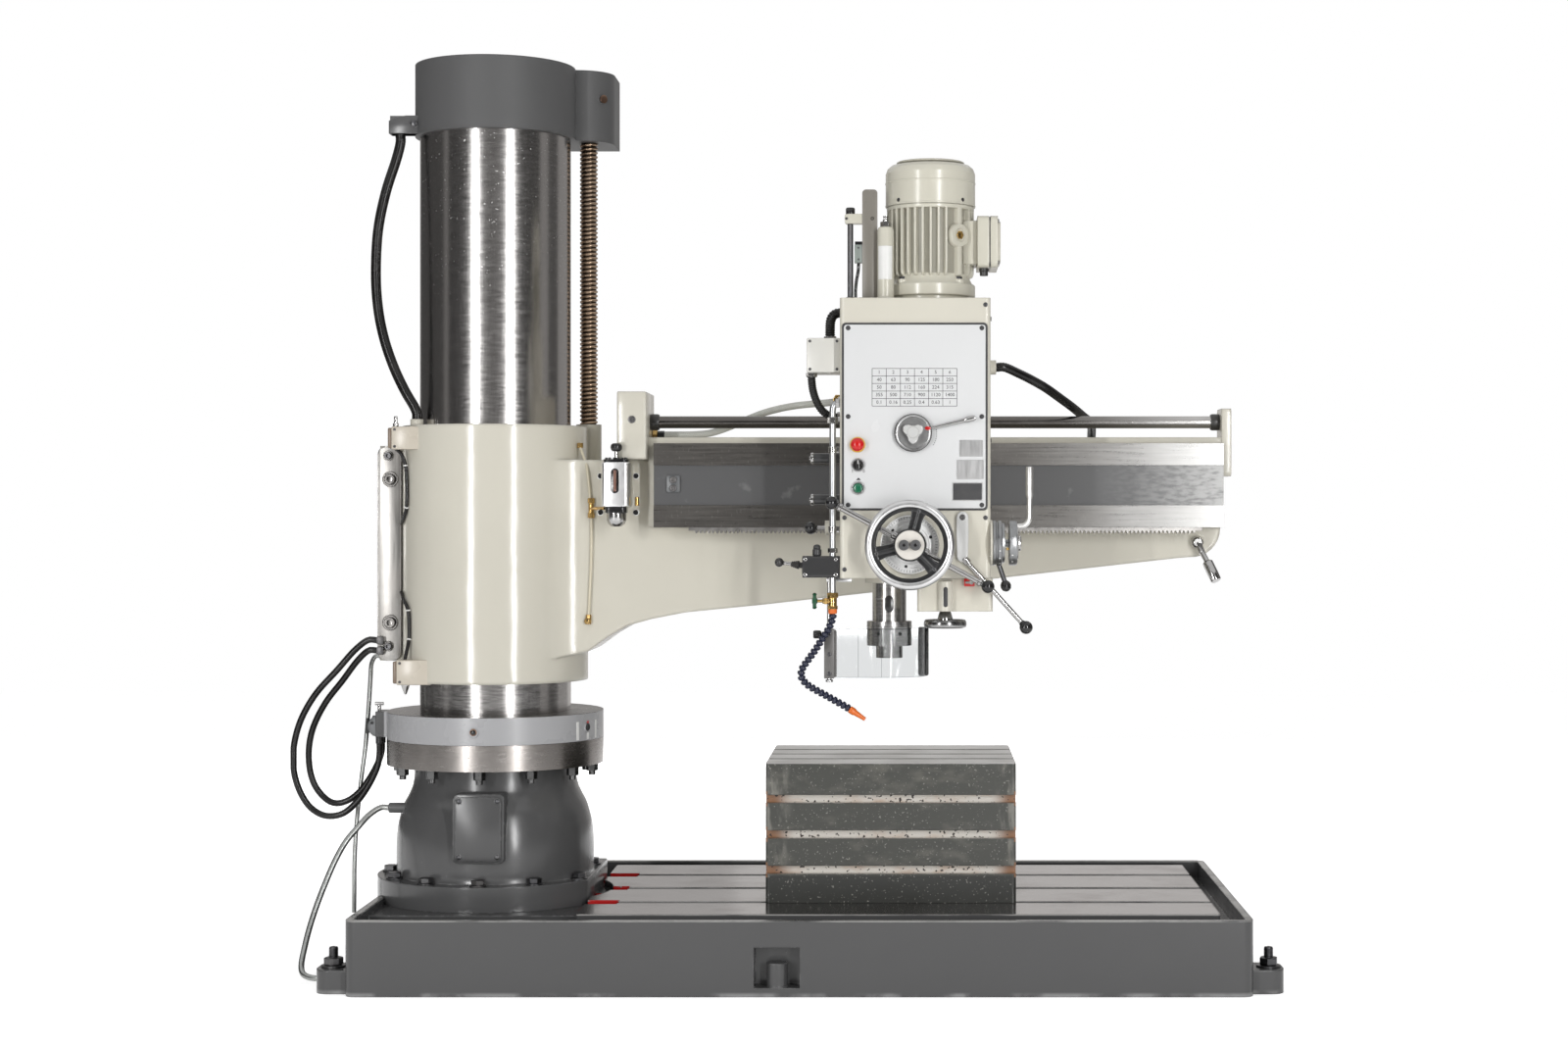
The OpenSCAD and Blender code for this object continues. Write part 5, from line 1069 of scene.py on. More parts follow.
panel = [sheet_y(PANEL_X, PANEL_Z, PANEL_FACE, 0.003, 0.006)]
panel += in_finish(1, sheet_y((0.8285, 1.1385), (1.0505, 1.4495), PANEL_FACE + 0.0028, 0.0034, 0.008))
panel += in_finish(1, *[turned(mm(0, 0, 5.2, 0, 4.8, 1.6, 3, 2.4, 1.2, 2.4, 1, 1.2, 0, 1.2),
    (x, PANEL_FACE, z), FRONT, 18) for x in (0.842, 1.126) for z in (1.438, 1.25, 1.062)])
TABLE_X, TABLE_Z, ROWS, COLUMNS = (0.893, 1.073), (1.272, 1.352), 5, 6
ink = PANEL_FACE - 0.0003
TABLE_WIDE, TABLE_HIGH = TABLE_X[1] - TABLE_X[0], TABLE_Z[1] - TABLE_Z[0]
for k in range(ROWS + 1):
    z = TABLE_Z[0] + TABLE_HIGH * k / ROWS
    panel += in_finish(1, sheet_y(TABLE_X, (z - 0.0005, z + 0.0005), ink, 0.0004, 0.0004, 0))
for k in range(COLUMNS + 1):
    x = TABLE_X[0] + TABLE_WIDE * k / COLUMNS
    panel += in_finish(1, sheet_y((x - 0.0005, x + 0.0005), TABLE_Z, ink, 0.0004, 0.0004, 0))
speeds = (
    "1 2 3 4 5 6 40 63 90 125 180 250 50 80 112 160 224 315 "
    "355 500 710 900 1120 1400 0.1 0.16 0.25 0.4 0.63 1").split()
for number, words in enumerate(speeds):
    row, column = divmod(number, COLUMNS)
    panel += in_finish(1, figures(words, TABLE_X[0] + (column + 0.5) * TABLE_WIDE / COLUMNS,
        TABLE_Z[1] - (row + 0.5) * TABLE_HIGH / ROWS, 0.0105, ink))
for low, high in (((1.078, 1.165), (1.128, 1.2)), ((1.072, 1.117), (1.13, 1.158))):
    panel += in_finish(2, sheet_y((low[0], high[0]), (low[1], high[1]), PANEL_FACE - 0.0008, 0.001, 0.001))
panel += in_finish(2, sheet_y((1.063, 1.128), (1.071, 1.11), PANEL_FACE - 0.0008, 0.001, 0.001))
panel += in_finish(1, sheet_y((1.065, 1.126), (1.073, 1.108), PANEL_FACE - 0.0011, 0.001, 0.001),
    *[turned(mm(0, 0, 1, 0, 1, 0.6, 0, 0.6), (x, PANEL_FACE - 0.001, z), FRONT, 8) for x in (1.067, 1.124)
    for z in (1.0745, 1.1065)])
panel += in_finish(1, drawn_out(mm(859, 1114.8, 869, 1114.8, 864, 1120.5), ink, ink + 0.0004, "y", 0))
panel += in_finish(1, *[figures("I", 0.851, 1.1335, 0.009, ink), figures("0", 0.8755, 1.1335, 0.009, ink)])
for at, outline, number in ((STOP_AT, mm(16.5, 0, 16.5, 5, 15.5, 6.5, 12.5, 6.5, 12.5, 4, 0, 4), 3),
    (SWITCH_AT, mm(14.5, 0, 14.5, 3, 13.5, 4.2, 11.5, 4.2, 11.2, 3, 0, 3), 2),
    (START_AT, mm(14.5, 0, 14.5, 4, 13.5, 6, 11.2, 6, 10.8, 3, 0, 3), 2)):
    panel += in_finish(number, turned([(0, 0)] + outline, at, FRONT, 40))
for k in range(8):
    at = Vector((0.98, PANEL_FACE, 1.215)) + heading("y", 8 - 5.4 * k) * 0.05
    panel += in_finish(1, turned(mm(0, 0, 1.1, 0, 1.1, 0.4, 0, 0.4), at, FRONT, 8))
piece("panel_sheet", "head", "white_enamel", [panel_white, print_black, plate_silver, button_yellow], panel,
    replaces=["front_panel"])


# Buttons
# A red mushroom emergency stop, a green start button and a black two-way selector, all moulded.
stop_red = plastic("stop_red", (0.55, 0.008, 0.008, 1), 0.18)[0]
start_green = plastic("start_green", (0.004, 0.13, 0.06, 1), 0.2)[0]
piece("stop_mushroom", "estop", "red_plastic", [stop_red, white_mark],
    turned(mm(0, -12, 6, -12, 6, 11, 12.5, 11.5, 14.2, 13.5, 14.2, 16.5, 13.2, 19.5, 9.5, 22.5, 4.5, 24.2, 0,
    24.5), STOP_AT, FRONT, 44),
    in_finish(1, *[sheet_y((0.862 + s - 0.0022, 0.862 + s + 0.0022), (1.1893, 1.1907),
        PANEL_FACE - 0.0233, 0.001, 0.0006, 0) for s in (-0.005, 0.005)]), replaces=["estop_button"])
piece("start_cap", "start", "green_plastic", start_green,
    turned(mm(0, -11, 6, -11, 6, 4.5, 9.6, 4.5, 10, 5.5, 10, 7.8, 8.8, 9.2, 7.5, 8.6, 0, 8.4), START_AT,
    FRONT, 40), replaces=["start_button"])
piece("selector_grip", "switch", "black_plastic", [black_gloss, white_mark],
    turned(mm(0, -11, 6, -11, 6, 4.5, 11.2, 4.5, 11.2, 8, 10.2, 9.8, 0, 10.2), SWITCH_AT, FRONT, 40),
    plate((0.8592, 0.8668), (1.1358, 1.1582), 0.0036, PANEL_FACE - 0.02, PANEL_FACE - 0.008, "y", 0.0012),
    in_finish(1, sheet_y((0.8623, 0.8637), (1.149, 1.157), PANEL_FACE - 0.0203, 0.0008, 0.0006, 0)),
    replaces=["selector_switch"])


# Speed dial
# A knurled silver disc under a white three-lobed knob, with a chrome lever that points at the dots.
DIAL_AT, DIAL_BACK = (0.98, 1.215), -0.567
DIAL_FOOT = (DIAL_AT[0], DIAL_BACK, DIAL_AT[1])
dial_white = plastic("dial_white", (0.55, 0.55, 0.54, 1), 0.16)[0]
dial_satin = metal("dial_satin", (0.34, 0.34, 0.34, 1), 0.3, grain=(2, 2, 2), marks=0.2, staining=0.05,
    edge=0.0004)[0]
dial_edge = metal("dial_edge", (0.1, 0.1, 0.1, 1), 0.3, marks=0.3, edge=0.0004)[0]
lobes = []
for i in range(72):
    a = tau * i / 72
    out = 0.0185 + 0.0052 * cos(3 * (a - radians(30)))
    lobes.append((DIAL_AT[0] + out * cos(a), DIAL_AT[1] + out * sin(a)))
teeth = [(0.0405 if i % 2 else 0.0392) for i in range(120)]
rim = [(DIAL_AT[0] + r * cos(tau * i / 120), DIAL_AT[1] + r * sin(tau * i / 120))
    for i, r in enumerate(teeth)]
dial = [*in_finish(4, drawn_out(rim, DIAL_BACK - 0.011, DIAL_BACK, "y", 0.0004, 1)),
    *in_finish(3, turned(mm(38.5, 10, 38.5, 12.2, 37.5, 13, 34.5, 11.5, 33.5, 11.5, 32.5, 13.5, 0, 13.5),
        DIAL_FOOT, FRONT, 60)),
    turned(mm(0, -23, 8, -23, 8, 0, 0, 0), DIAL_FOOT, FRONT, 24)]
dial += in_finish(1, drawn_out(lobes, DIAL_BACK - 0.032, DIAL_BACK - 0.012, "y", 0.003, 3))
dial += in_finish(1, turned(mm(12.2, 31.2, 12.2, 33.5, 11.2, 34.2, 10.4, 33.4, 0, 33.4),
    DIAL_FOOT, FRONT, 36))
lever_start, lever_end = Vector((1.01, -0.574, 1.223)), Vector((1.089, -0.5795, 1.2415))
dial += in_finish(0, rod(lever_start, lever_end, 0.0032, 0.0006, 20, 0.0046),
    turned(mm(4.6, 0, 6.2, 6, 6.4, 18, 5, 24, 0, 24.5), lever_end, lever_end - lever_start, 24))
red_cap = [(DIAL_AT[0] + 0.031 + 0.0065 * cos(tau * i / 20), DIAL_AT[1] + 0.0096 + 0.0042 * sin(tau * i / 20))
    for i in range(20)]
dial += in_finish(2, drawn_out(red_cap, DIAL_BACK - 0.0155, DIAL_BACK - 0.012, "y", 0.001))
piece("speed_selector", "dial", "bright_steel", [bright_steel, dial_white, stop_red, dial_satin, dial_edge],
    dial, replaces=["speed_dial"])


# Traverse wheel
# A spoked handwheel with a polished rim on a black web. Its shaft runs through the feed levers' hub
# to the pinion under the arm, and the graduated dial behind it stands still.
WHEEL_X, WHEEL_Z, RIM_Y = 0.973, 0.978, -0.638
HUB_AT = (WHEEL_X, -0.6565, WHEEL_Z)
wheel_black = paint("wheel_black", (0.02, 0.02, 0.021, 1), (0.2, 0.2, 0.2, 1), wear=0.3, gloss=0.2,
    edge=0.002)[0]
wheel_finish, tree, shader, placed = metal("wheel_finish", (0.6, 0.6, 0.6, 1), 0.3, marks=0.15, staining=0.1)
spot, x, y, z = here(tree)
in_web = band(off_axis(x, z, (WHEEL_X, WHEEL_Z)), 0.03, 0.0795)
give(shader, Base_Color=tint(in_web, placed.outputs["Colour"], (0.02, 0.02, 0.021, 1)),
    Metallic=calc("SUBTRACT", 1.0, in_web))
dress(wheel_finish, "traverse_wheel")
web = [turned(mm(71, 4, 73, 6, 79.5, 6.8, 81.5, 4, 81.5, -5, 73, -6, 71, -4, 71, 4),
    (WHEEL_X, RIM_Y, WHEEL_Z), FRONT, 72)]
for turn in (75, 195, 315):
    a = radians(turn)
    stand = Matrix.Translation((WHEEL_X, RIM_Y, WHEEL_Z)) @ Matrix.Rotation(-a, 4, "Y")
    spoke = drawn_out(mm(24, -13, 34, -10.5, 55, -10.5, 68, -13, 77, -21, 77, 21, 68, 13, 55, 10.5, 34, 10.5,
        24, 13), -0.005, 0.004, "y", 0.002)
    web.append(moved(stand, spoke))
    at = stand @ Vector((0.072, -0.005, 0))
    web += in_finish(1, socket_screw(at, FRONT, 0.0042, 0.0022))
piece("wheel_web", "handwheel", "black_steel", [wheel_black, dark_steel], web)

hub_cap = [turned(mm(0, 0, 58, 0, 62, 3, 63, 20, 61.5, 23.5, 60, 24, 59.5, 23.2, 54, 23.2, 53.5, 24.6, 50,
    24.6, 49.5, 22.5, 44, 22.5, 43.5, 24.5, 41, 24.5, 40.5, 22, 36, 22, 35.5, 19.5, 16, 19.5),
    (WHEEL_X, HEAD_FACE, WHEEL_Z), FRONT, 96)]
hub_cap += in_finish(1, *[rod((WHEEL_X, -0.66, WHEEL_Z), (WHEEL_X, -0.166, WHEEL_Z), 0.005)])
for k in range(60):
    a = tau * k / 60
    inner = 0.0545 if k % 5 else 0.052
    stand = Matrix.Translation((WHEEL_X, HEAD_FACE - 0.0232, WHEEL_Z)) @ Matrix.Rotation(-a, 4, "Y")
    tick = drawn_out([(inner, -0.00035), (0.0592, -0.00035), (0.0592, 0.00035), (inner, 0.00035)],
        -0.0004, 0.0001, "y", 0)
    hub_cap += in_finish(2, moved(stand, tick))
for turn in (20, 140, 260):
    at = Vector((WHEEL_X, HEAD_FACE - 0.0225, WHEEL_Z)) + heading("y", turn) * 0.047
    hub_cap += in_finish(3, socket_screw(at, FRONT, 0.0034, 0.0015))
hub_cap += in_finish(4, turned(mm(0, 0, 29.5, 0, 31, 1.5, 31, 10.5, 29.8, 11.8, 0, 11.8), HUB_AT, FRONT, 56))
hub_cap += in_finish(3, turned(mm(30.2, 0.5, 34, 1.5, 34.5, 6, 34, 9.5, 30.8, 11.2), HUB_AT, FRONT, 56))
dial_alloy = metal("dial_alloy", (0.82, 0.82, 0.815, 1), 0.42, grain=(0.6, 0.6, 0.6), marks=0.2,
    staining=0.04, edge=0.0003, bump=0.01)[0]
cap_cream = plastic("cap_cream", (0.68, 0.65, 0.6, 1), 0.3)[0]
piece("graduated_dial", "head", "bright_steel", [dial_alloy, bright_steel, print_black, wheel_black,
    cap_cream], hub_cap, replaces=["wheel_dial"])
button_grey = plastic("button_grey", (0.09, 0.09, 0.092, 1), 0.26)[0]
for name, body, side in (("clamp_cap", "clamp", -0.012), ("release_cap", "release", 0.012)):
    piece(name, body, "grey_plastic", [button_grey, black_gloss],
        turned(mm(0, 0, 3, 0, 3, 11, 10.8, 11, 11.2, 11.8, 11.2, 16.5, 10.2, 18.1, 8, 18.4, 7.4, 17.6, 0,
        17.6), (WHEEL_X + side, -0.6615, WHEEL_Z), FRONT, 36),
        in_finish(1, turned(mm(0, 17.4, 3.5, 17.4, 3.4, 17.9, 0, 18),
            (WHEEL_X + side, -0.6615, WHEEL_Z), FRONT, 20)), replaces=[body + "_button"])


# Feed levers
# Two chromed steel arms with black ball grips, screwed into the polished hub that turns the feed
# pinion. They lower and raise the quill.
lever_finish, tree, shader, placed = metal("lever_finish", (0.4, 0.395, 0.39, 1), 0.16, marks=0.15,
    staining=0.12)
spot, x, y, z = here(tree)
on_ball = between(off_axis(x, z, (WHEEL_X, WHEEL_Z)), 0.1725, 0.1735)
give(shader, Base_Color=tint(on_ball, placed.outputs["Colour"], (0.012, 0.012, 0.013, 1)),
    Metallic=calc("SUBTRACT", 1.0, on_ball))
dress(lever_finish, "feed_levers")
collars = []
for turn in (151.8, 331.8):
    way = heading("y", turn)
    for out, wide, long in ((0.03, 0.011, 0.014), (0.163, 0.0088, 0.009)):
        collars.append(rod(Vector((WHEEL_X, -0.6, WHEEL_Z)) + way * out,
            Vector((WHEEL_X, -0.6, WHEEL_Z)) + way * (out + long), wide, 0.002))
piece("lever_collars", "levers", "bright_steel", bright_steel, collars)


# Fine feed wheel
# A small dished handwheel with three openings, turned from steel, on the feed box's down-pointing
# shaft.
FINE_AT = (1.049, -0.5)
fine_steel = metal("fine_steel", (0.3, 0.3, 0.3, 1), 0.16, marks=0.3, staining=0.25)[0]
rim_line = mm(38.5, 6, 39.5, 1, 42, -1, 44.5, 1, 46, 6, 45.5, 12, 43, 16.5, 40.5, 16.5, 38.5, 12, 38.5, 6)
fine = [turned(rim_line, (*FINE_AT, 0.7995), steps=72),
    turned(mm(0, 0, 12, 0, 15.5, 3, 17.5, 12, 16, 20, 12.5, 32, 9, 35.5, 0, 35.5), (*FINE_AT, 0.8), steps=40),
    rod((*FINE_AT, 0.83), (*FINE_AT, 0.875), 0.008)]
for turn in (0, 120, 240):
    a = radians(turn)
    stand = Matrix.Translation((*FINE_AT, 0.8)) @ Matrix.Rotation(a, 4, "Z")
    spoke = drawn_out(mm(10, -9, 25, -6.2, 41, -9, 41, 9, 25, 6.2, 10, 9), 0.004, 0.012, "z", 0.002)
    fine.append(moved(stand, spoke))
piece("fine_handwheel", "fine_wheel", "black_steel", fine_steel, fine, replaces=["fine_feed_wheel"])
guide_boss = [turned(mm(0, 0, 13.5, 0, 15, 2, 15, 62, 13.5, 64.5, 0, 64.5), (1.049, -0.552, 0.8355),
    steps=32)]
guide_boss += in_finish(1, plate((1.0445, 1.0535), (0.845, 0.888), 0.0044, -0.5675, -0.5655, "y", 0.0006))
piece("feed_scale", "head", "cream_paint", [cream_enamel, print_black], guide_boss)


# Quill and spindle
# A ground steel quill with a collar at its lower lip, sliding in the head, and the spindle with its
# taper socket turning in it.
SPINDLE_AT = (0.928, -0.4)
quill_steel = metal("quill_steel", (0.42, 0.41, 0.4, 1), 0.22, grain=(0.4, 0.4, 5), marks=0.35,
    staining=0.2)[0]
dress(quill_steel, "quill", "spindle")
wedge = plate((0.9185, 0.9375), (0.829, 0.866), 0.0094, -0.4382, -0.43, "y", 0.0015)
grooves = [turned([(0.0492, z - 0.0012), (0.0496, z - 0.0009), (0.0496, z + 0.0009), (0.0492, z + 0.0012)],
    (*SPINDLE_AT, 0), steps=72) for z in (0.768, 0.797)]
piece("quill_details", "quill_body", "bright_steel", [bright_steel, black_gloss], grooves,
    in_finish(1, wedge),
    in_finish(1, *[socket_screw((SPINDLE_AT[0] + 0.049 * sin(a), SPINDLE_AT[1] - 0.049 * cos(a), 0.7825),
    (sin(a), -cos(a), 0), 0.004, 0.001) for a in (-0.5, 0.5)]))
dress(ground_steel, "motor_rotor", "drive_gear")


# Speed crank and feed selector
# Two stepped drums on the head's right side. The outer one has a chromed crank, the inner one a
# black ball lever, and white marks show their settings.
DRUM_Y, DRUM_Z = -0.536, 0.981
DRUM_AT = (1.145, DRUM_Y, DRUM_Z)
drum_grey = metal("drum_grey", (0.27, 0.275, 0.28, 1), 0.3, grain=(4, 1, 1), marks=0.4, staining=0.2)[0]
inner = [turned(mm(8.2, -16, 14, -16, 14, 4.5, 47, 4.5, 48, 5.5, 48, 11, 45, 12.5, 45, 15, 48, 16.5, 48, 23,
    47, 24, 43.5, 24.5, 42.5, 30, 8.2, 30, 8.2, -16), DRUM_AT, RIGHT, 72)]
inner += in_finish(1, rod((1.162, DRUM_Y, 0.939), (1.1775, DRUM_Y, 0.893), 0.0052))
inner += in_finish(2, turned(mm(0, 0, 6.5, 1, 10.5, 6.5, 11.5, 13, 9, 20, 4, 23.5, 0, 24),
    (1.1745, DRUM_Y, 0.9005), (0.32, 0, -1), 32))
marks = []
for k in range(7):
    way = heading("x", 200 + 22 * k)
    marks.append(turned(mm(0, 0, 1.6, 0, 1.6, 0.3, 0, 0.4),
        Vector((1.1645, DRUM_Y, DRUM_Z)) + way * 0.048, way, 10))
inner += in_finish(3, *marks[:5]) + in_finish(4, *marks[5:])
piece("feed_drum", "selector", "black_plastic", [drum_grey, dark_steel, black_gloss, white_mark, red_mark],
    inner, replaces=["feed_selector"])
outer = [turned(mm(0, -24, 8, -24, 8, 39.5, 47, 39.5, 48, 40.5, 48, 52, 46.5, 56.5, 43, 57.2, 18, 57.2),
    DRUM_AT, RIGHT, 72)]
outer += in_finish(1, turned(mm(36, 56.5, 36, 58.6, 34.5, 59.4, 18, 59.4, 17.2, 64, 15, 65.5, 0, 65.5),
    DRUM_AT, RIGHT, 56))
crank_bend = mm(1192, 1016.5, 1207, 1016.8, 1217.5, 1019, 1225.5, 1026.5, 1228.8, 1038, 1229, 1060, 1229,
    1086)
outer += in_finish(4, swept(smooth_line([(x, DRUM_Y, z) for x, z in crank_bend]), 0.006, 18),
    turned(mm(0, -8, 6.2, -8, 8, 1, 8, 57.5, 7, 60, 0, 60), (1.229, DRUM_Y, 1.084), steps=32),
    turned(mm(0, 0, 9, 0, 9.5, 3, 8.5, 9, 0, 10), (1.191, DRUM_Y, 1.0135), (0.45, 0, 1), 28))
outer += in_finish(2,
    *[turned(mm(0, 0, 1.8, 0, 1.8, 0.3, 0, 0.4),
    Vector((1.191, DRUM_Y, DRUM_Z)) + Vector((0, cos(a), sin(a))) * 0.048, (0, cos(a), sin(a)), 10)
    for a in (3.7, 4.1, 4.5, 4.9, 5.3)])
outer += in_finish(3, *[socket_screw((1.2035, DRUM_Y + 0.027 * cos(a), DRUM_Z + 0.027 * sin(a)), RIGHT,
    0.0035, 0.0015) for a in (0.6, 2.7, 4.8)])
handle_satin = metal("handle_satin", (0.66, 0.655, 0.64, 1), 0.4, staining=0.12)[0]
piece("speed_drum", "crank", "black_plastic", [drum_grey, bright_steel, white_mark, dark_steel, handle_satin],
    outer, replaces=["speed_crank"])
side_plate = [turned(mm(0, 0, 50, 0, 50, 3, 48.5, 4, 14.5, 4), (1.1451, DRUM_Y, DRUM_Z), RIGHT, 64)]
side_plate += in_finish(1, rod((1.177, DRUM_Y - 0.0415, DRUM_Z - 0.012),
    (1.1835, DRUM_Y - 0.0415, DRUM_Z - 0.012), 0.003))
piece("drum_plate", "head", "cream_paint", [head_enamel, brass], side_plate)


# Start lever
# A white enamelled lever on the head's front with a chromed rod and a black ball, which runs the
# spindle forward, stopped or reverse.
lever_white = paint("lever_white", (0.6, 0.6, 0.59, 1), CREAM_WORN, wear=0.2, gloss=0.2, edge=0.002)[0]
START_X, START_Z, BALL_R = 1.085, 1.036, 0.014
arm_line = arc((START_X, START_Z), 0.0125, -10, 190, 10)
arm_line += mm(1072.2, 1000, 1073.5, 962) + arc((START_X, 0.952), 0.0115, 180, 360, 9)
arm_line += mm(1096.5, 962, 1097.8, 1000)
starter = [drawn_out(arm_line, -0.574, -0.5615, "y", 0.003, 3)]
starter += in_finish(3, socket_screw((START_X, -0.5735, START_Z), FRONT, 0.0062, 0.0025))
starter += in_finish(1, rod((START_X, -0.569, START_Z), (START_X, -0.543, START_Z), 0.007))
tip, ball_at = Vector((1.0885, -0.568, 0.948)), Vector((1.22, -0.568, 0.802))
down = (ball_at - tip).normalized()
starter += in_finish(1, rod(tip, ball_at - down * 0.012, 0.0052),
    rod(tip - down * 0.002, tip + down * 0.014, 0.0085, 0.002))
ball = mm(5.5, -16.5, 6.8, -13.5) + arc((0, 0), BALL_R, -56, 88, 12)
starter += in_finish(2, turned([(0, -0.0165)] + ball[:-1] + [(0, BALL_R)], ball_at, down, 32))
piece("start_arm", "starter", "white_enamel", [lever_white, bright_steel, black_gloss, dark_steel], starter,
    replaces=["start_lever"])
lock = [block((1.0885, 1.111), (-0.56, -0.544), (0.889, 0.9055), 0.0015)]
lock += in_finish(1, rod((1.104, -0.559, 0.8975), (1.104, -0.5612, 0.8975), 0.0045, 0.0003),
    block((1.0915, 1.105), (-0.5618, -0.5595), (0.895, 0.9), 0.0006))
piece("lock_switch", "head", "red_plastic", [stop_red, hose_grey], lock)


# Joystick and side controls
# A black ball stick in a rubber bellows tilts in its cast housing. Two dark pins and a cream boss
# with a pull knob stand above it.
BALL = arc((0, 0), BALL_R, -66, 78, 12)
STICK_Y, PIN_Y, KNOB_Z = -0.52, -0.48, 1.013
side_black = paint("side_black", (0.035, 0.035, 0.036, 1), (0.25, 0.25, 0.25, 1), wear=0.3, gloss=0.3,
    edge=0.002)[0]
stick_at, stick_way = Vector((0.764, STICK_Y, 0.93)), Vector((-0.9914, 0, 0.1305))
bellows = mm(0, 10, 6.2, 11, 6.2, 27.5)
for i in range(5):
    reach = 0.0102 - 0.0009 * i
    bellows += [(reach, 0.0285 + 0.0038 * i), (reach - 0.0019, 0.0304 + 0.0038 * i)]
stick = [turned(mm(0, -12.5, 6, -11.2, 11, -6, 12.6, 0, 11, 6, 6, 11.2), stick_at, stick_way, 32),
    turned(bellows + [(0, 0.0475)], stick_at, stick_way, 28)]
stick += in_finish(1, rod(stick_at + stick_way * 0.008, stick_at + stick_way * 0.064, 0.0036))
stick += in_finish(2,
    turned(mm(0, -11, 4.5, -11) + [(0.7 * r, 0.7 * h) for r, h in BALL[:-1]] + [(0, 0.0098)],
    stick_at + stick_way * 0.0715, stick_way, 32))
piece("stick_lever", "stick", "black_plastic", [black_rubber, bright_steel, black_gloss], stick,
    replaces=["joystick"])
housing = [turned(mm(21, -0.5, 21, 0.8, 20.5, 1.3, 18.8, 1.3, 18.2, 0.8), (0.744, STICK_Y, 0.9305), LEFT, 32)]
housing += in_finish(1, *screw_grid((0.75, 0.815), -0.546, (0.9135, 0.9465), 0.004, 0.0018))
housing += in_finish(2, rod((0.774, STICK_Y, 0.953), (0.774, STICK_Y, 0.968), 0.0098, 0.002),
    rod((0.774, STICK_Y, 0.966), (0.774, -0.513, 0.974), 0.008, 0.002))
piece("housing_trim", "head", "black_plastic", [black_rubber, bright_steel, side_black], housing)
pins, tree, shader, placed = paint("pins", (0.035, 0.035, 0.036, 1), (0.25, 0.25, 0.25, 1), wear=0.3,
    gloss=0.25)
spot, x, y, z = here(tree)
on_boss = times(band(z, 0.99, 1.04), between(x, 0.7885, 0.7895))
give(shader, Base_Color=tint(on_boss, placed.outputs["Colour"], CREAM))
dress(pins, "joystick_housing")
collars = []
for z in (1.163, 1.074):
    collars.append(turned(mm(11.3, 0, 12.2, 1.2, 12.2, 5.8, 10.8, 7.2, 8.5, 7.2, 8, 5.8, 0, 5.8),
        (0.766, PIN_Y, z), LEFT, 36))
    collars.append(rod((0.764, PIN_Y, z), (0.756, PIN_Y, z), 0.0045))
piece("pin_collars", "head", "bright_steel", bright_steel, collars)
knob = [rod((0.813, PIN_Y, KNOB_Z), (0.77, PIN_Y, KNOB_Z), 0.0049)]
knob += in_finish(1, turned(mm(0, -14.5, 5.5, -14.5) + BALL[:-1] + [(0, BALL_R)],
    (0.759, PIN_Y, KNOB_Z), LEFT, 32))
piece("knob_ball", "knob", "black_plastic", [bright_steel, black_gloss], knob, replaces=["pull_knob"])


# Motor
# A finned cast motor stands on the casing, with its fan under a pressed cover and its terminal box at
# the right. All of it is painted cream, with painted shade in the gaps between its fins.
MOTOR_AT, MOTOR_TOP, LID_Z = (1.018, -0.4), 1.805, 1.8078
MOTOR_FOOT = (*MOTOR_AT, 0)
motor_cream = paint("motor_cream", (0.58, 0.56, 0.475, 1), CREAM_WORN, wear=0.12, gloss=0.2, edge=0.003,
    bump=0.2)[0]
dress(motor_cream, "fan_cover")
body = [turned(mm(0, 1503.2, 84, 1503.2, 84, 1516.5, 96.5, 1516.5, 98, 1518, 98, 1540.5, 96.5, 1542.5, 91,
    1546, 86, 1556, 83, 1562, 82.5, 1567, 82.5, 1703.5, 94.5, 1704.5, 95.5, 1706, 95.5, 1712.5, 0, 1712.5),
    MOTOR_FOOT, steps=96)]
FINS = 34
for k in range(FINS):
    turn = tau * (k + 0.5) / FINS
    if 28 < (degrees(turn) + 90) % 360 < 56:
        continue
    fin = drawn_out(mm(79, 1558.5, 88, 1558.5, 92.5, 1561, 94.8, 1566, 95.2, 1574, 95.2, 1706.5, 79, 1706.5),
        -0.0024, 0.0024, "y", 0.0011, 2)
    stand = Matrix.Translation(MOTOR_FOOT) @ Matrix.Rotation(turn, 4, "Z")
    body.append(moved(stand, fin))
side = heading("z", -48)
centre = Vector((*MOTOR_AT, 1.646))
body.append(turned(mm(0, 0, 26, 0, 26, 12, 24.5, 14.5, 14.5, 15, 13.5, 12, 0, 12),
    centre + side * 0.0815, side, 40))
body += in_finish(1, hexagon(centre + side * 0.0935, side, 0.0095, 0.004))
stand = Matrix.Translation(MOTOR_FOOT) @ Matrix.Rotation(radians(-48), 4, "Z")
for low, high in ((1.5585, 1.622), (1.67, 1.7065)):
    rib = block((0.079, 0.096), (-0.006, 0.006), (low, high), 0.0025)
    body.append(moved(stand, rib))
for k in range(4):
    way = heading("z", 45 + 90 * k)
    body.append(turned(mm(0, 0, 12.5, 0, 12.5, 8, 11.5, 9, 0, 9),
        Vector((*MOTOR_AT, 1.5425)) + way * 0.0855, steps=24))
    body += in_finish(2, hexagon(Vector((*MOTOR_AT, 1.551)) + way * 0.0855, UP, 0.008, 0.006))
body.append(block((1.088, 1.12), (-0.446, -0.354), (1.585, 1.681), 0.004))
# Painted shade: a thin, darker cream sleeve on the core darkens the gaps between the fins
body += in_finish(3, turned(mm(82.4, 1564, 82.9, 1564.2, 82.9, 1706.2, 82.4, 1706.4), MOTOR_FOOT, steps=96))
motor_fin_shade_painted = paint("motor_fin_shade_painted", (0.34, 0.325, 0.27, 1), CREAM_WORN, wear=0.3, gloss=0.35, edge=0.001)[0]
piece("motor_body", "head", "motor_paint", [motor_cream, brass, dark_steel, motor_fin_shade_painted], body,
    replaces=["motor_frame"])
cover_screws = [socket_screw(Vector((*MOTOR_AT, 1.7225)) + way * 0.0978, way, 0.0042, 0.0012)
    for way in (heading("z", -135 + 90 * k) for k in range(4))]
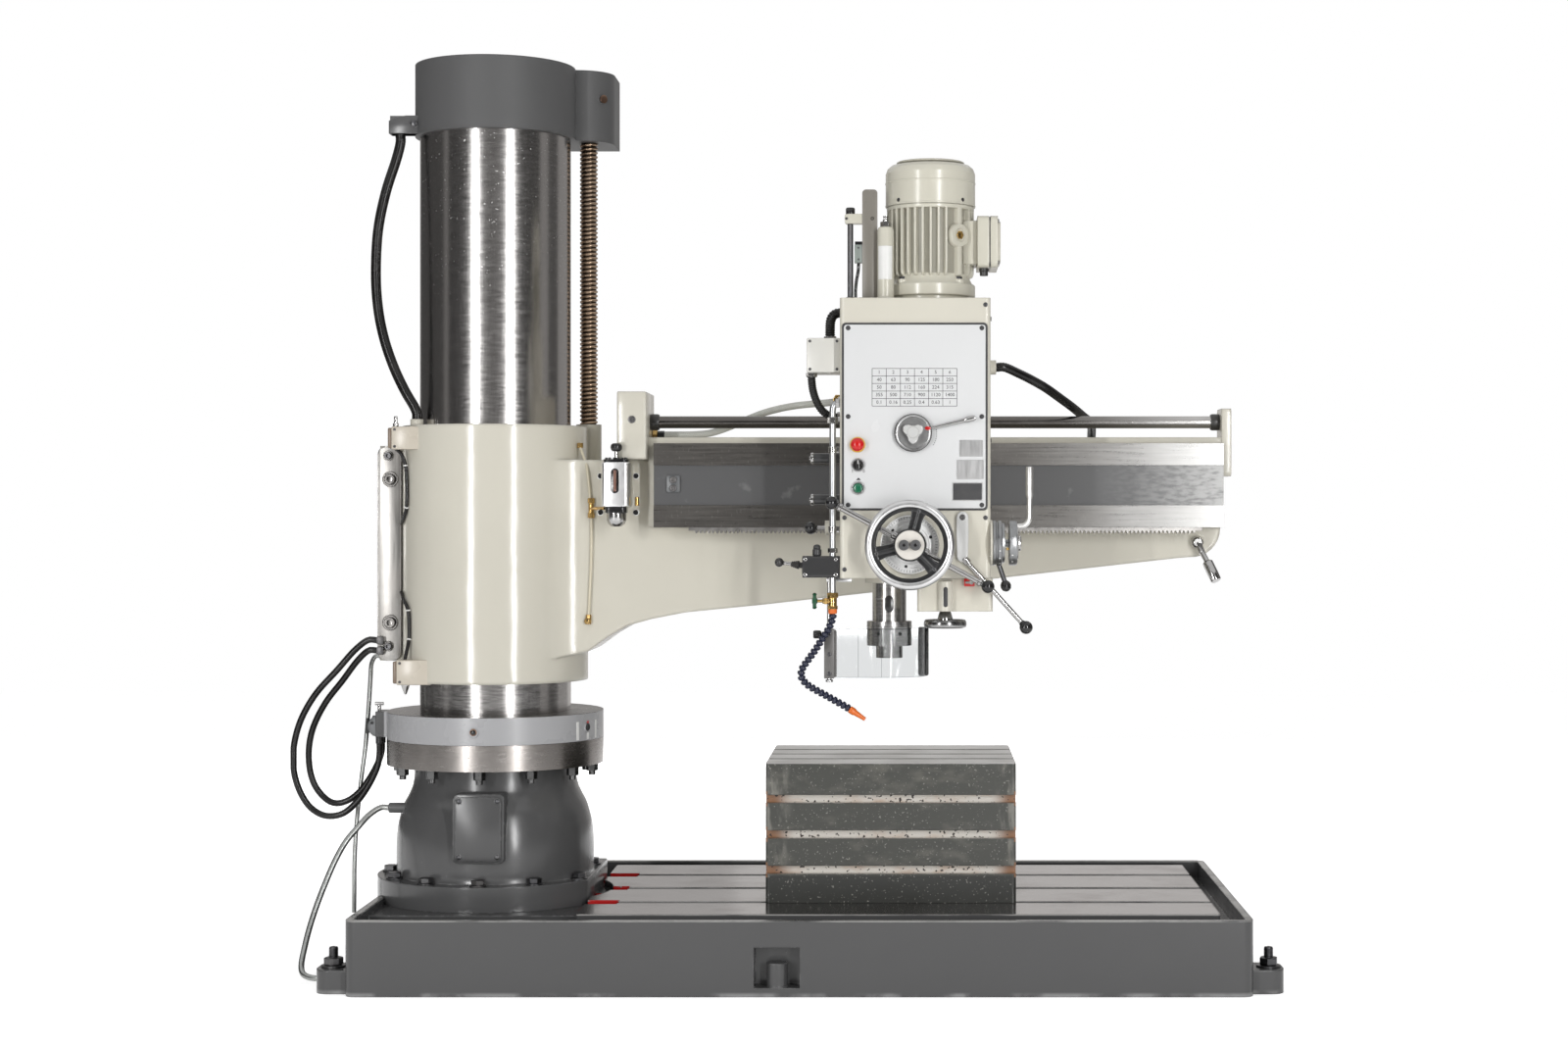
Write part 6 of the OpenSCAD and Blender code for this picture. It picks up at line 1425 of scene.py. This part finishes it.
cover_rim = turned(mm(97.6, 1713.5, 98.6, 1713.8, 98.6, 1717.2, 97.7, 1717.8, 97.8, 1762.8, 98.8, 1763.4,
    98.8, 1766.2, 97.6, 1767), MOTOR_FOOT, steps=96)
lid = turned([(0, LID_Z), (0.0725, LID_Z), (0.074, LID_Z + 0.0008), (0.074, LID_Z + 0.003),
    (0.0715, LID_Z + 0.0045), (0, LID_Z + 0.0055)], MOTOR_FOOT, steps=72)
lid_posts = [rod(Vector((*MOTOR_AT, MOTOR_TOP)) + way, Vector((*MOTOR_AT, LID_Z + 0.001)) + way, 0.0035)
    for way in (Vector((0.045 * cos(a), 0.045 * sin(a), -0.001)) for a in (0.26, 2.35, 4.45))]
piece("fan_rim", "head", "motor_paint", [motor_cream, dark_steel], cover_rim, lid,
    in_finish(1, *cover_screws, *lid_posts))
box_rim = round_box((-0.47, -0.33), (1.577, 1.689), 0.012)
box = [drawn_out(box_rim, 1.1195, 1.145, "x", 0.003, 3), drawn_out(box_rim, 1.1475, 1.164, "x", 0.004, 3),
    plate((-0.458, -0.342), (1.589, 1.677), 0.008, 1.16, 1.1695, "x", 0.0025, 2)]
box += in_finish(1, plate((-0.468, -0.332), (1.579, 1.687), 0.01, 1.1445, 1.148, "x", 0.0002, 1))
box += in_finish(2, *[socket_screw((1.164, y, z), RIGHT, 0.0042, 0.0025) for z in (1.588, 1.678)
    for y in (-0.459, -0.341)])
box += in_finish(1, turned(mm(0, 0, 8.5, 0, 9, 2, 9, 9, 10.5, 10, 10.5, 18, 0, 18),
    (1.134, -0.44, 1.5605), steps=24))
piece("wiring_box", "head", "motor_paint", [motor_cream, black_rubber, dark_steel], box,
    replaces=["terminal_box"])


# Accumulator
# A slim cream cylinder with a plated fitting on top stands on the casing beside the motor. Its label
# is left blank.
TANK_AT = (0.921, -0.482)


def patch(at, radius, turns, heights, thick=0.0004, steps=12):
    """A thin label bent round an upright cylinder."""
    points, faces = [], []
    for out in (radius + thick, radius - 0.001):
        for i in range(steps + 1):
            a = radians(turns[0] + (turns[1] - turns[0]) * i / steps)
            points += [(at[0] + out * cos(a), at[1] + out * sin(a), z) for z in heights]
    row = 2 * (steps + 1)
    for i in range(steps):
        faces.append((2 * i, 2 * i + 2, 2 * i + 3, 2 * i + 1))
        for side in (0, 1):
            faces.append((2 * i + side, 2 * i + 2 + side, row + 2 * i + 2 + side, row + 2 * i + side))
    for i in (0, steps):
        faces.append((2 * i, 2 * i + 1, row + 2 * i + 1, row + 2 * i))
    return points, faces


tank = [turned(mm(0, 0, 20, 0, 20, 6, 18, 8, 18, 151, 16, 157, 13, 159, 0, 159), (*TANK_AT, 1.503), steps=48)]
tank += in_finish(1, hexagon((*TANK_AT, 1.662), UP, 0.0118, 0.0115),
    turned(mm(0, 0, 6.5, 0, 6.5, 4, 4.8, 5, 4.8, 9, 6, 10, 6, 12, 0, 12.5), (*TANK_AT, 1.6733), steps=24))
tank += in_finish(2, patch(TANK_AT, 0.018, (-150, -40), (1.548, 1.62)))
piece("oil_tank", "head", "bright_steel", [motor_cream, bright_steel, white_mark], tank,
    replaces=["accumulator"])


# Depth trip
# A flat bar stands behind a dark rod with an adjustable clamp. The clamp meets a small limit switch
# when the quill reaches the set depth.
ROD_AT = (0.844, -0.452)
bar_brown = paint("bar_brown", (0.2, 0.185, 0.16, 1), (0.4, 0.38, 0.34, 1), wear=0.5, gloss=0.34,
    edge=0.001)[0]
switch_green = paint("switch_green", (0.24, 0.27, 0.25, 1), (0.4, 0.4, 0.4, 1), wear=0.4, gloss=0.3,
    edge=0.001)[0]
trip = [plate((0.87, 0.903), (1.503, 1.745), 0.008, -0.468, -0.46, "y", 0.001),
    block((0.862, 0.902), (-0.476, -0.452), (1.503, 1.511), 0.0015)]
trip += in_finish(1, rod((*ROD_AT, 1.51), (*ROD_AT, 1.69), 0.0062),
    turned(mm(0, 0, 11, 0, 11, 8, 9, 10, 0, 10), (*ROD_AT, 1.503), steps=28))
trip += in_finish(2, turned(mm(0, 0, 8.5, 0, 10, 2, 10, 13.5, 8.5, 15.8, 0, 16), (*ROD_AT, 1.6912), steps=28))
trip += in_finish(3, plate((0.832, 0.9), (1.6715, 1.6925), 0.005, -0.466, -0.44, "y", 0.002))
trip += in_finish(1, socket_screw((0.892, -0.466, 1.682), FRONT, 0.0042, 0.002),
    socket_screw((0.836, -0.4665, 1.682), FRONT, 0.003, 0.0015))
trip += in_finish(4, block((0.853, 0.871), (-0.466, -0.442), (1.587, 1.626), 0.0015))
trip += in_finish(2, block((0.854, 0.87), (-0.465, -0.443), (1.626, 1.633), 0.001),
    swept(paced(smooth_line([(0.862, -0.452, 1.589), (0.861, -0.451, 1.57), (0.857, -0.449, 1.548),
    (0.855, -0.447, 1.525), (0.856, -0.446, 1.504)], 5), 0.006), 0.0036, 12))
trip += in_finish(1, *screw_grid((0.862,), -0.466, (1.594, 1.619), 0.0022, 0.001))
piece("depth_stop", "head", "bright_steel", [bar_brown, dark_steel, black_gloss, motor_cream, switch_green],
    trip, replaces=["depth_trip"])


# Junction box
# A cream-white pressed box at the head's left, with a ribbed black hose from the casing's top and
# one back into its side.
HOSE_TOP = [(0.824, -0.445, 1.479), (0.815, -0.445, 1.479), (0.806, -0.446, 1.473), (0.801, -0.448, 1.461),
    (0.8, -0.45, 1.44), (0.8, -0.45, 1.42)]
HOSE_LOW = [(x, -0.5, z) for x, z in mm(762, 1346, 762, 1330, 765, 1308, 773, 1284, 787, 1263, 806, 1252, 824,
    1252)]
CASE_X, CASE_Z = (0.752, 0.824), (1.346, 1.42)
box_white = paint("box_white", (0.62, 0.61, 0.57, 1), CREAM_WORN, wear=0.15, gloss=0.24, edge=0.002)[0]
junction = [plate(CASE_X, CASE_Z, 0.004, -0.521, -0.42, "y", 0.0015),
    plate((0.7525, 0.8235), (1.3465, 1.4195), 0.004, -0.525, -0.5218, "y", 0.001)]
junction += in_finish(2, plate((0.7535, 0.8225), (1.3475, 1.4185), 0.003, -0.5222, -0.5205, "y", 0),
    *screw_grid((0.759, 0.817), -0.525, (1.353, 1.413), 0.003, 0.0012))
for line, radius in ((HOSE_TOP, 0.011), (HOSE_LOW, 0.009)):
    centres = paced(smooth_line(line, 6), 0.0024)
    junction += in_finish(1,
        swept(centres, [radius - (0.0013 if i % 2 else 0) for i in range(len(centres))], 18))
junction += in_finish(3, *[turned([(0, 0), (wide, 0), (wide, tall - 0.0015), (wide - 0.002, tall), (0, tall)],
    at, way, 6) for at, way, wide, tall in (((0.8, -0.45, 1.4195), UP, 0.0135, 0.0095),
    ((0.762, -0.5, 1.3465), (0, 0, -1), 0.012, 0.0095), ((0.8242, -0.5, 1.252), LEFT, 0.012, 0.0075))])
piece("wiring_case", "head", "ring_paint", [box_white, cable_black, dark_steel, bright_steel], junction,
    replaces=["junction_box"])


# Coolant line
# A galvanised pipe runs down the head's left side through brass fittings and a green-wheeled valve
# into a jointed blue nozzle with an orange tip.
PIPE_AT, VALVE_Z = (0.808, -0.53), 0.857
PIPE_Y = PIPE_AT[1]
pipe_zinc = metal("pipe_zinc", (0.5, 0.51, 0.52, 1), 0.3, grain=(1, 1, 0.3), marks=0.5, staining=0.35,
    stain=(0.28, 0.29, 0.3, 1))[0]
nozzle_blue = plastic("nozzle_blue", (0.007, 0.01, 0.032, 1), 0.3, dusting=0.03)[0]
tip_orange = plastic("tip_orange", (0.7, 0.14, 0.01, 1), 0.3)[0]
valve_green = plastic("valve_green", (0.006, 0.075, 0.03, 1), 0.2)[0]
bend = [(x, PIPE_Y, z) for x, z in mm(808, 1240, 808, 1262, 809.2, 1271.5, 813.5, 1278, 825, 1280)]
line = [swept([(*PIPE_AT, 0.872), (*PIPE_AT, 1.1)] + smooth_line(bend, 4), 0.007, 20)]
line += in_finish(1, hexagon((*PIPE_AT, 1.236), UP, 0.0115, 0.014),
    hexagon((0.823, PIPE_Y, 1.28), LEFT, 0.0108, 0.009), hexagon((*PIPE_AT, 0.96), UP, 0.0105, 0.01))
for z in (1.01, 1.18):
    line += in_finish(1, turned(mm(7, -7, 9.2, -6.5, 9.2, 6.5, 7, 7), (*PIPE_AT, z), steps=24),
        block((0.812, 0.8245), (-0.5345, -0.5255), (z - 0.0065, z + 0.0065), 0.0008))
line += in_finish(2, hexagon((*PIPE_AT, 0.8635), UP, 0.0118, 0.0115),
    hexagon((*PIPE_AT, 0.8392), UP, 0.0108, 0.008),
    rod((*PIPE_AT, 0.844), (*PIPE_AT, 0.866), 0.0092, 0.002),
    rod((0.786, PIPE_Y, VALVE_Z), (0.808, PIPE_Y, VALVE_Z), 0.006, 0.001),
    hexagon((0.797, PIPE_Y, VALVE_Z), LEFT, 0.0078, 0.007))
line += in_finish(3, turned(mm(0, 0, 8.5, 0, 9.5, 2, 9.5, 9.5, 8.5, 10.5, 0, 10.5), (*PIPE_AT, 0.8298),
    steps=24))
line += in_finish(4, block((0.794, 0.848), (-0.506, -0.494), (0.897, 0.906), 0.001),
    rod((0.8, -0.5, 0.684), (0.8, -0.5, 0.9), 0.005), rod((0.8, -0.5, 0.682), (0.8, -0.5, 0.687), 0.008))
piece("coolant_line", "head", "bright_steel", [pipe_zinc, bright_steel, brass, tip_orange, ground_steel],
    line, replaces=["coolant_pipe"])
wheel = [turned(mm(0, 0, 5.5, 0, 6.5, 2, 12.5, 4, 14.5, 1.5, 16.8, 1.8, 17.8, 5, 16.8, 8.5, 14.5, 9, 12.5,
    6.5, 6.5, 8.5, 5, 11.5, 0, 11.8), (0.764, PIPE_Y, VALVE_Z), RIGHT, 48)]
for k in range(6):
    at, way = Vector((0.7695, PIPE_Y, VALVE_Z)), heading("x", 60 * k)
    wheel.append(rod(at + way * 0.0146, at + way * 0.0172, 0.0045, 0.001, 14))
wheel += in_finish(1, rod((0.775, PIPE_Y, VALVE_Z), (0.8035, PIPE_Y, VALVE_Z), 0.0035),
    hexagon((0.7645, PIPE_Y, VALVE_Z), LEFT, 0.004, 0.0004))
piece("valve_handwheel", "valve", "green_plastic", [valve_green, brass], wheel, replaces=["valve_wheel"])
NOZZLE = [(x, PIPE_Y, z) for x, z in mm(808, 839, 808, 822, 799, 797, 785, 775, 772, 754, 757, 733, 744, 714,
    741, 696, 752, 680, 770, 668, 792, 656, 815, 643, 838, 630, 856, 618, 873, 607)]
joints = paced(smooth_line(NOZZLE, 6), 0.0106)
nozzle = []
for i, middle in enumerate(joints[:-1]):
    way = joints[i + 1] - joints[max(i - 1, 0)]
    if i < len(joints) - 4:
        nozzle.append(turned(mm(0, -3, 4.6, -3, 4.6, -0.5, 7.8, 0.5, 8.5, 3, 7.8, 6.2, 5.8, 8.2, 4.6, 9.2, 0,
            9.2), middle, way, 20))
tip_way = joints[-1] - joints[-4]
nozzle += in_finish(1, turned(mm(0, -2, 7.5, -2, 8, 3, 7.8, 9, 6.2, 13, 4.8, 28, 4.2, 37.5, 2.8, 37.8, 2.6,
    34, 0, 34), joints[-4], tip_way, 24))
piece("jointed_nozzle", "nozzle", "blue_plastic", [nozzle_blue, tip_orange], nozzle,
    replaces=["coolant_nozzle"])


# Chip guard
# A bent sheet of clear plastic in a grey screwed bracket swings round the rod at the quill's left. It
# has a black locking knob and a black grip on its free edge.
GUARD_AT, GUARD_R, GUARD_Z = (0.912, -0.4), 0.098, (0.69, 0.796)
guard_clear, tree, shader, placed = plastic("guard_clear", (0.93, 0.95, 0.96, 1), 0.08, dusting=0.0,
    bump=0.03, Transmission_Weight=1.0, IOR=1.3)
spot, x, y, z = here(tree)
rim = either(between(z, GUARD_Z[0] + 0.0022, GUARD_Z[0] + 0.0012),
    between(z, GUARD_Z[1] - 0.0022, GUARD_Z[1] - 0.0012))
haze = times(between(noise(spot, 60, 5, (1, 1, 0.3)), 0.5, 0.8), 0.3)
for fold in (0.862, 0.912):
    rim = either(rim, times(band(x, fold - 0.0007, fold + 0.0007), 0.6))
give(shader, Roughness=either(haze, 0.06), Base_Color=tint(rim, (0.75, 0.765, 0.77, 1), (0.3, 0.31, 0.32, 1)))
bracket_grey = paint("bracket_grey", (0.13, 0.125, 0.12, 1), (0.4, 0.4, 0.4, 1), wear=0.3, gloss=0.3,
    edge=0.001)[0]
sheet = [(0.8135, -0.4975)] + arc(GUARD_AT, GUARD_R - 0.0003, 270, 360, 30)
sheet += arc(GUARD_AT, GUARD_R - 0.0033, 360, 270, 30) + [(0.8135, -0.4945)]
guard = [drawn_out(sheet, *GUARD_Z, "z", 0.0004, 1)]
guard += in_finish(1, block((0.789, 0.811), (-0.511, -0.489), (0.69, 0.796), 0.0015),
    block((0.8105, 0.8155), (-0.5055, -0.493), (0.6925, 0.7935), 0.001))
guard += in_finish(2, *screw_grid((0.8,), -0.511, (0.7, 0.742, 0.785), 0.0045, 0.0022))
guard += in_finish(3, plate((0.991, 1.014), (0.69, 0.796), 0.004, -0.414, -0.398, "y", 0.003),
    rod((0.792, -0.5, 0.784), (0.771, -0.5, 0.784), 0.0032),
    turned(mm(0, 0, 6, 0, 8.8, 3, 9, 14, 7.5, 17.5, 0, 18), (0.783, -0.5, 0.784), LEFT, 12),
    block((0.7655, 0.7705), (-0.5095, -0.4905), (0.7805, 0.7875), 0.0012))
piece("guard_sheet", "guard", "clear_plastic", [guard_clear, bracket_grey, dark_steel, black_gloss], guard,
    replaces=["chip_guard"])


# Box table
# A cast-iron cube with T-slots on its top and front, standing on the deck. Its greenish grey paint is
# scuffed, and the slots are bare and rusty inside.
TABLE_X, TABLE_Y, TABLE_TOP = (0.647, 1.213), -0.23, 0.48
SIDE_SLOTS, SLOT_THROAT = (0.24, 0.32, 0.4), 0.009
table_iron, tree, shader, placed = paint("table_iron", (0.056, 0.057, 0.05, 1), (0.21, 0.2, 0.18, 1),
    wear=0.9, gloss=0.3, edge=0.004, bump=0.2)
spot, x, y, z = here(tree)
scuffs = between(noise(spot, 24, 8, (0.7, 1, 1.3)), 0.5, 0.78)
specks = between(noise(spot, 210, 2), 0.655, 0.7)
low_band = between(z, 0.229, 0.225)
ground = tint(times(scuffs, 0.75), placed.outputs["Colour"], (0.135, 0.13, 0.112, 1))
ends = calc("ADD", between(x, TABLE_X[0] + 0.07, TABLE_X[0] + 0.015),
    between(x, TABLE_X[1] - 0.06, TABLE_X[1] - 0.01))
rubs = times(between(noise(spot, 55, 7, (1, 1, 0.3)), 0.45, 0.7), ends)
rubs = times(rubs, between(y, TABLE_Y + 0.004, TABLE_Y + 0.001))
ground = tint(times(rubs, 0.7), ground, (0.27, 0.26, 0.23, 1))
ground = tint(low_band, ground, (0.03, 0.031, 0.028, 1))
ground = tint(times(specks, 0.6), ground, (0.34, 0.33, 0.3, 1))
in_slot = either(*[band(z, height - SLOT_THROAT - 0.008, height + SLOT_THROAT + 0.008, 0.0006)
    for height in SIDE_SLOTS])
in_slot = times(in_slot, between(y, TABLE_Y + 0.0004, TABLE_Y + 0.0012))
in_slot = times(in_slot, between(y, TABLE_Y + 0.034, TABLE_Y + 0.03))
rust = between(noise(spot, 30, 6, (0.5, 1, 1)), 0.46, 0.74)
slot_colour = tint(rust, (0.72, 0.69, 0.64, 1), (0.58, 0.46, 0.37, 1))
slot_colour = tint(ends, slot_colour, (0.3, 0.16, 0.09, 1))
holes = between(noise(spot, 130, 1), 0.64, 0.67)
slot_colour = tint(holes, slot_colour, (0.04, 0.03, 0.025, 1))
on_top = between(z, TABLE_TOP - 0.0012, TABLE_TOP - 0.0005)
machined_top = node(tree, "Group", {"Colour": (0.6, 0.6, 0.59, 1), "Stain": (0.2, 0.19, 0.17, 1),
    "Staining": 0.4, "Roughness": 0.2, "Grain": (0.15, 5, 5), "Marks": 0.4, "Edge": 0.001},
    node_tree=machined)
shown = tint(on_top, tint(in_slot, ground, slot_colour), machined_top.outputs["Colour"])
give(shader, Base_Color=shown, Metallic=on_top)
dress(table_iron, "box_table")
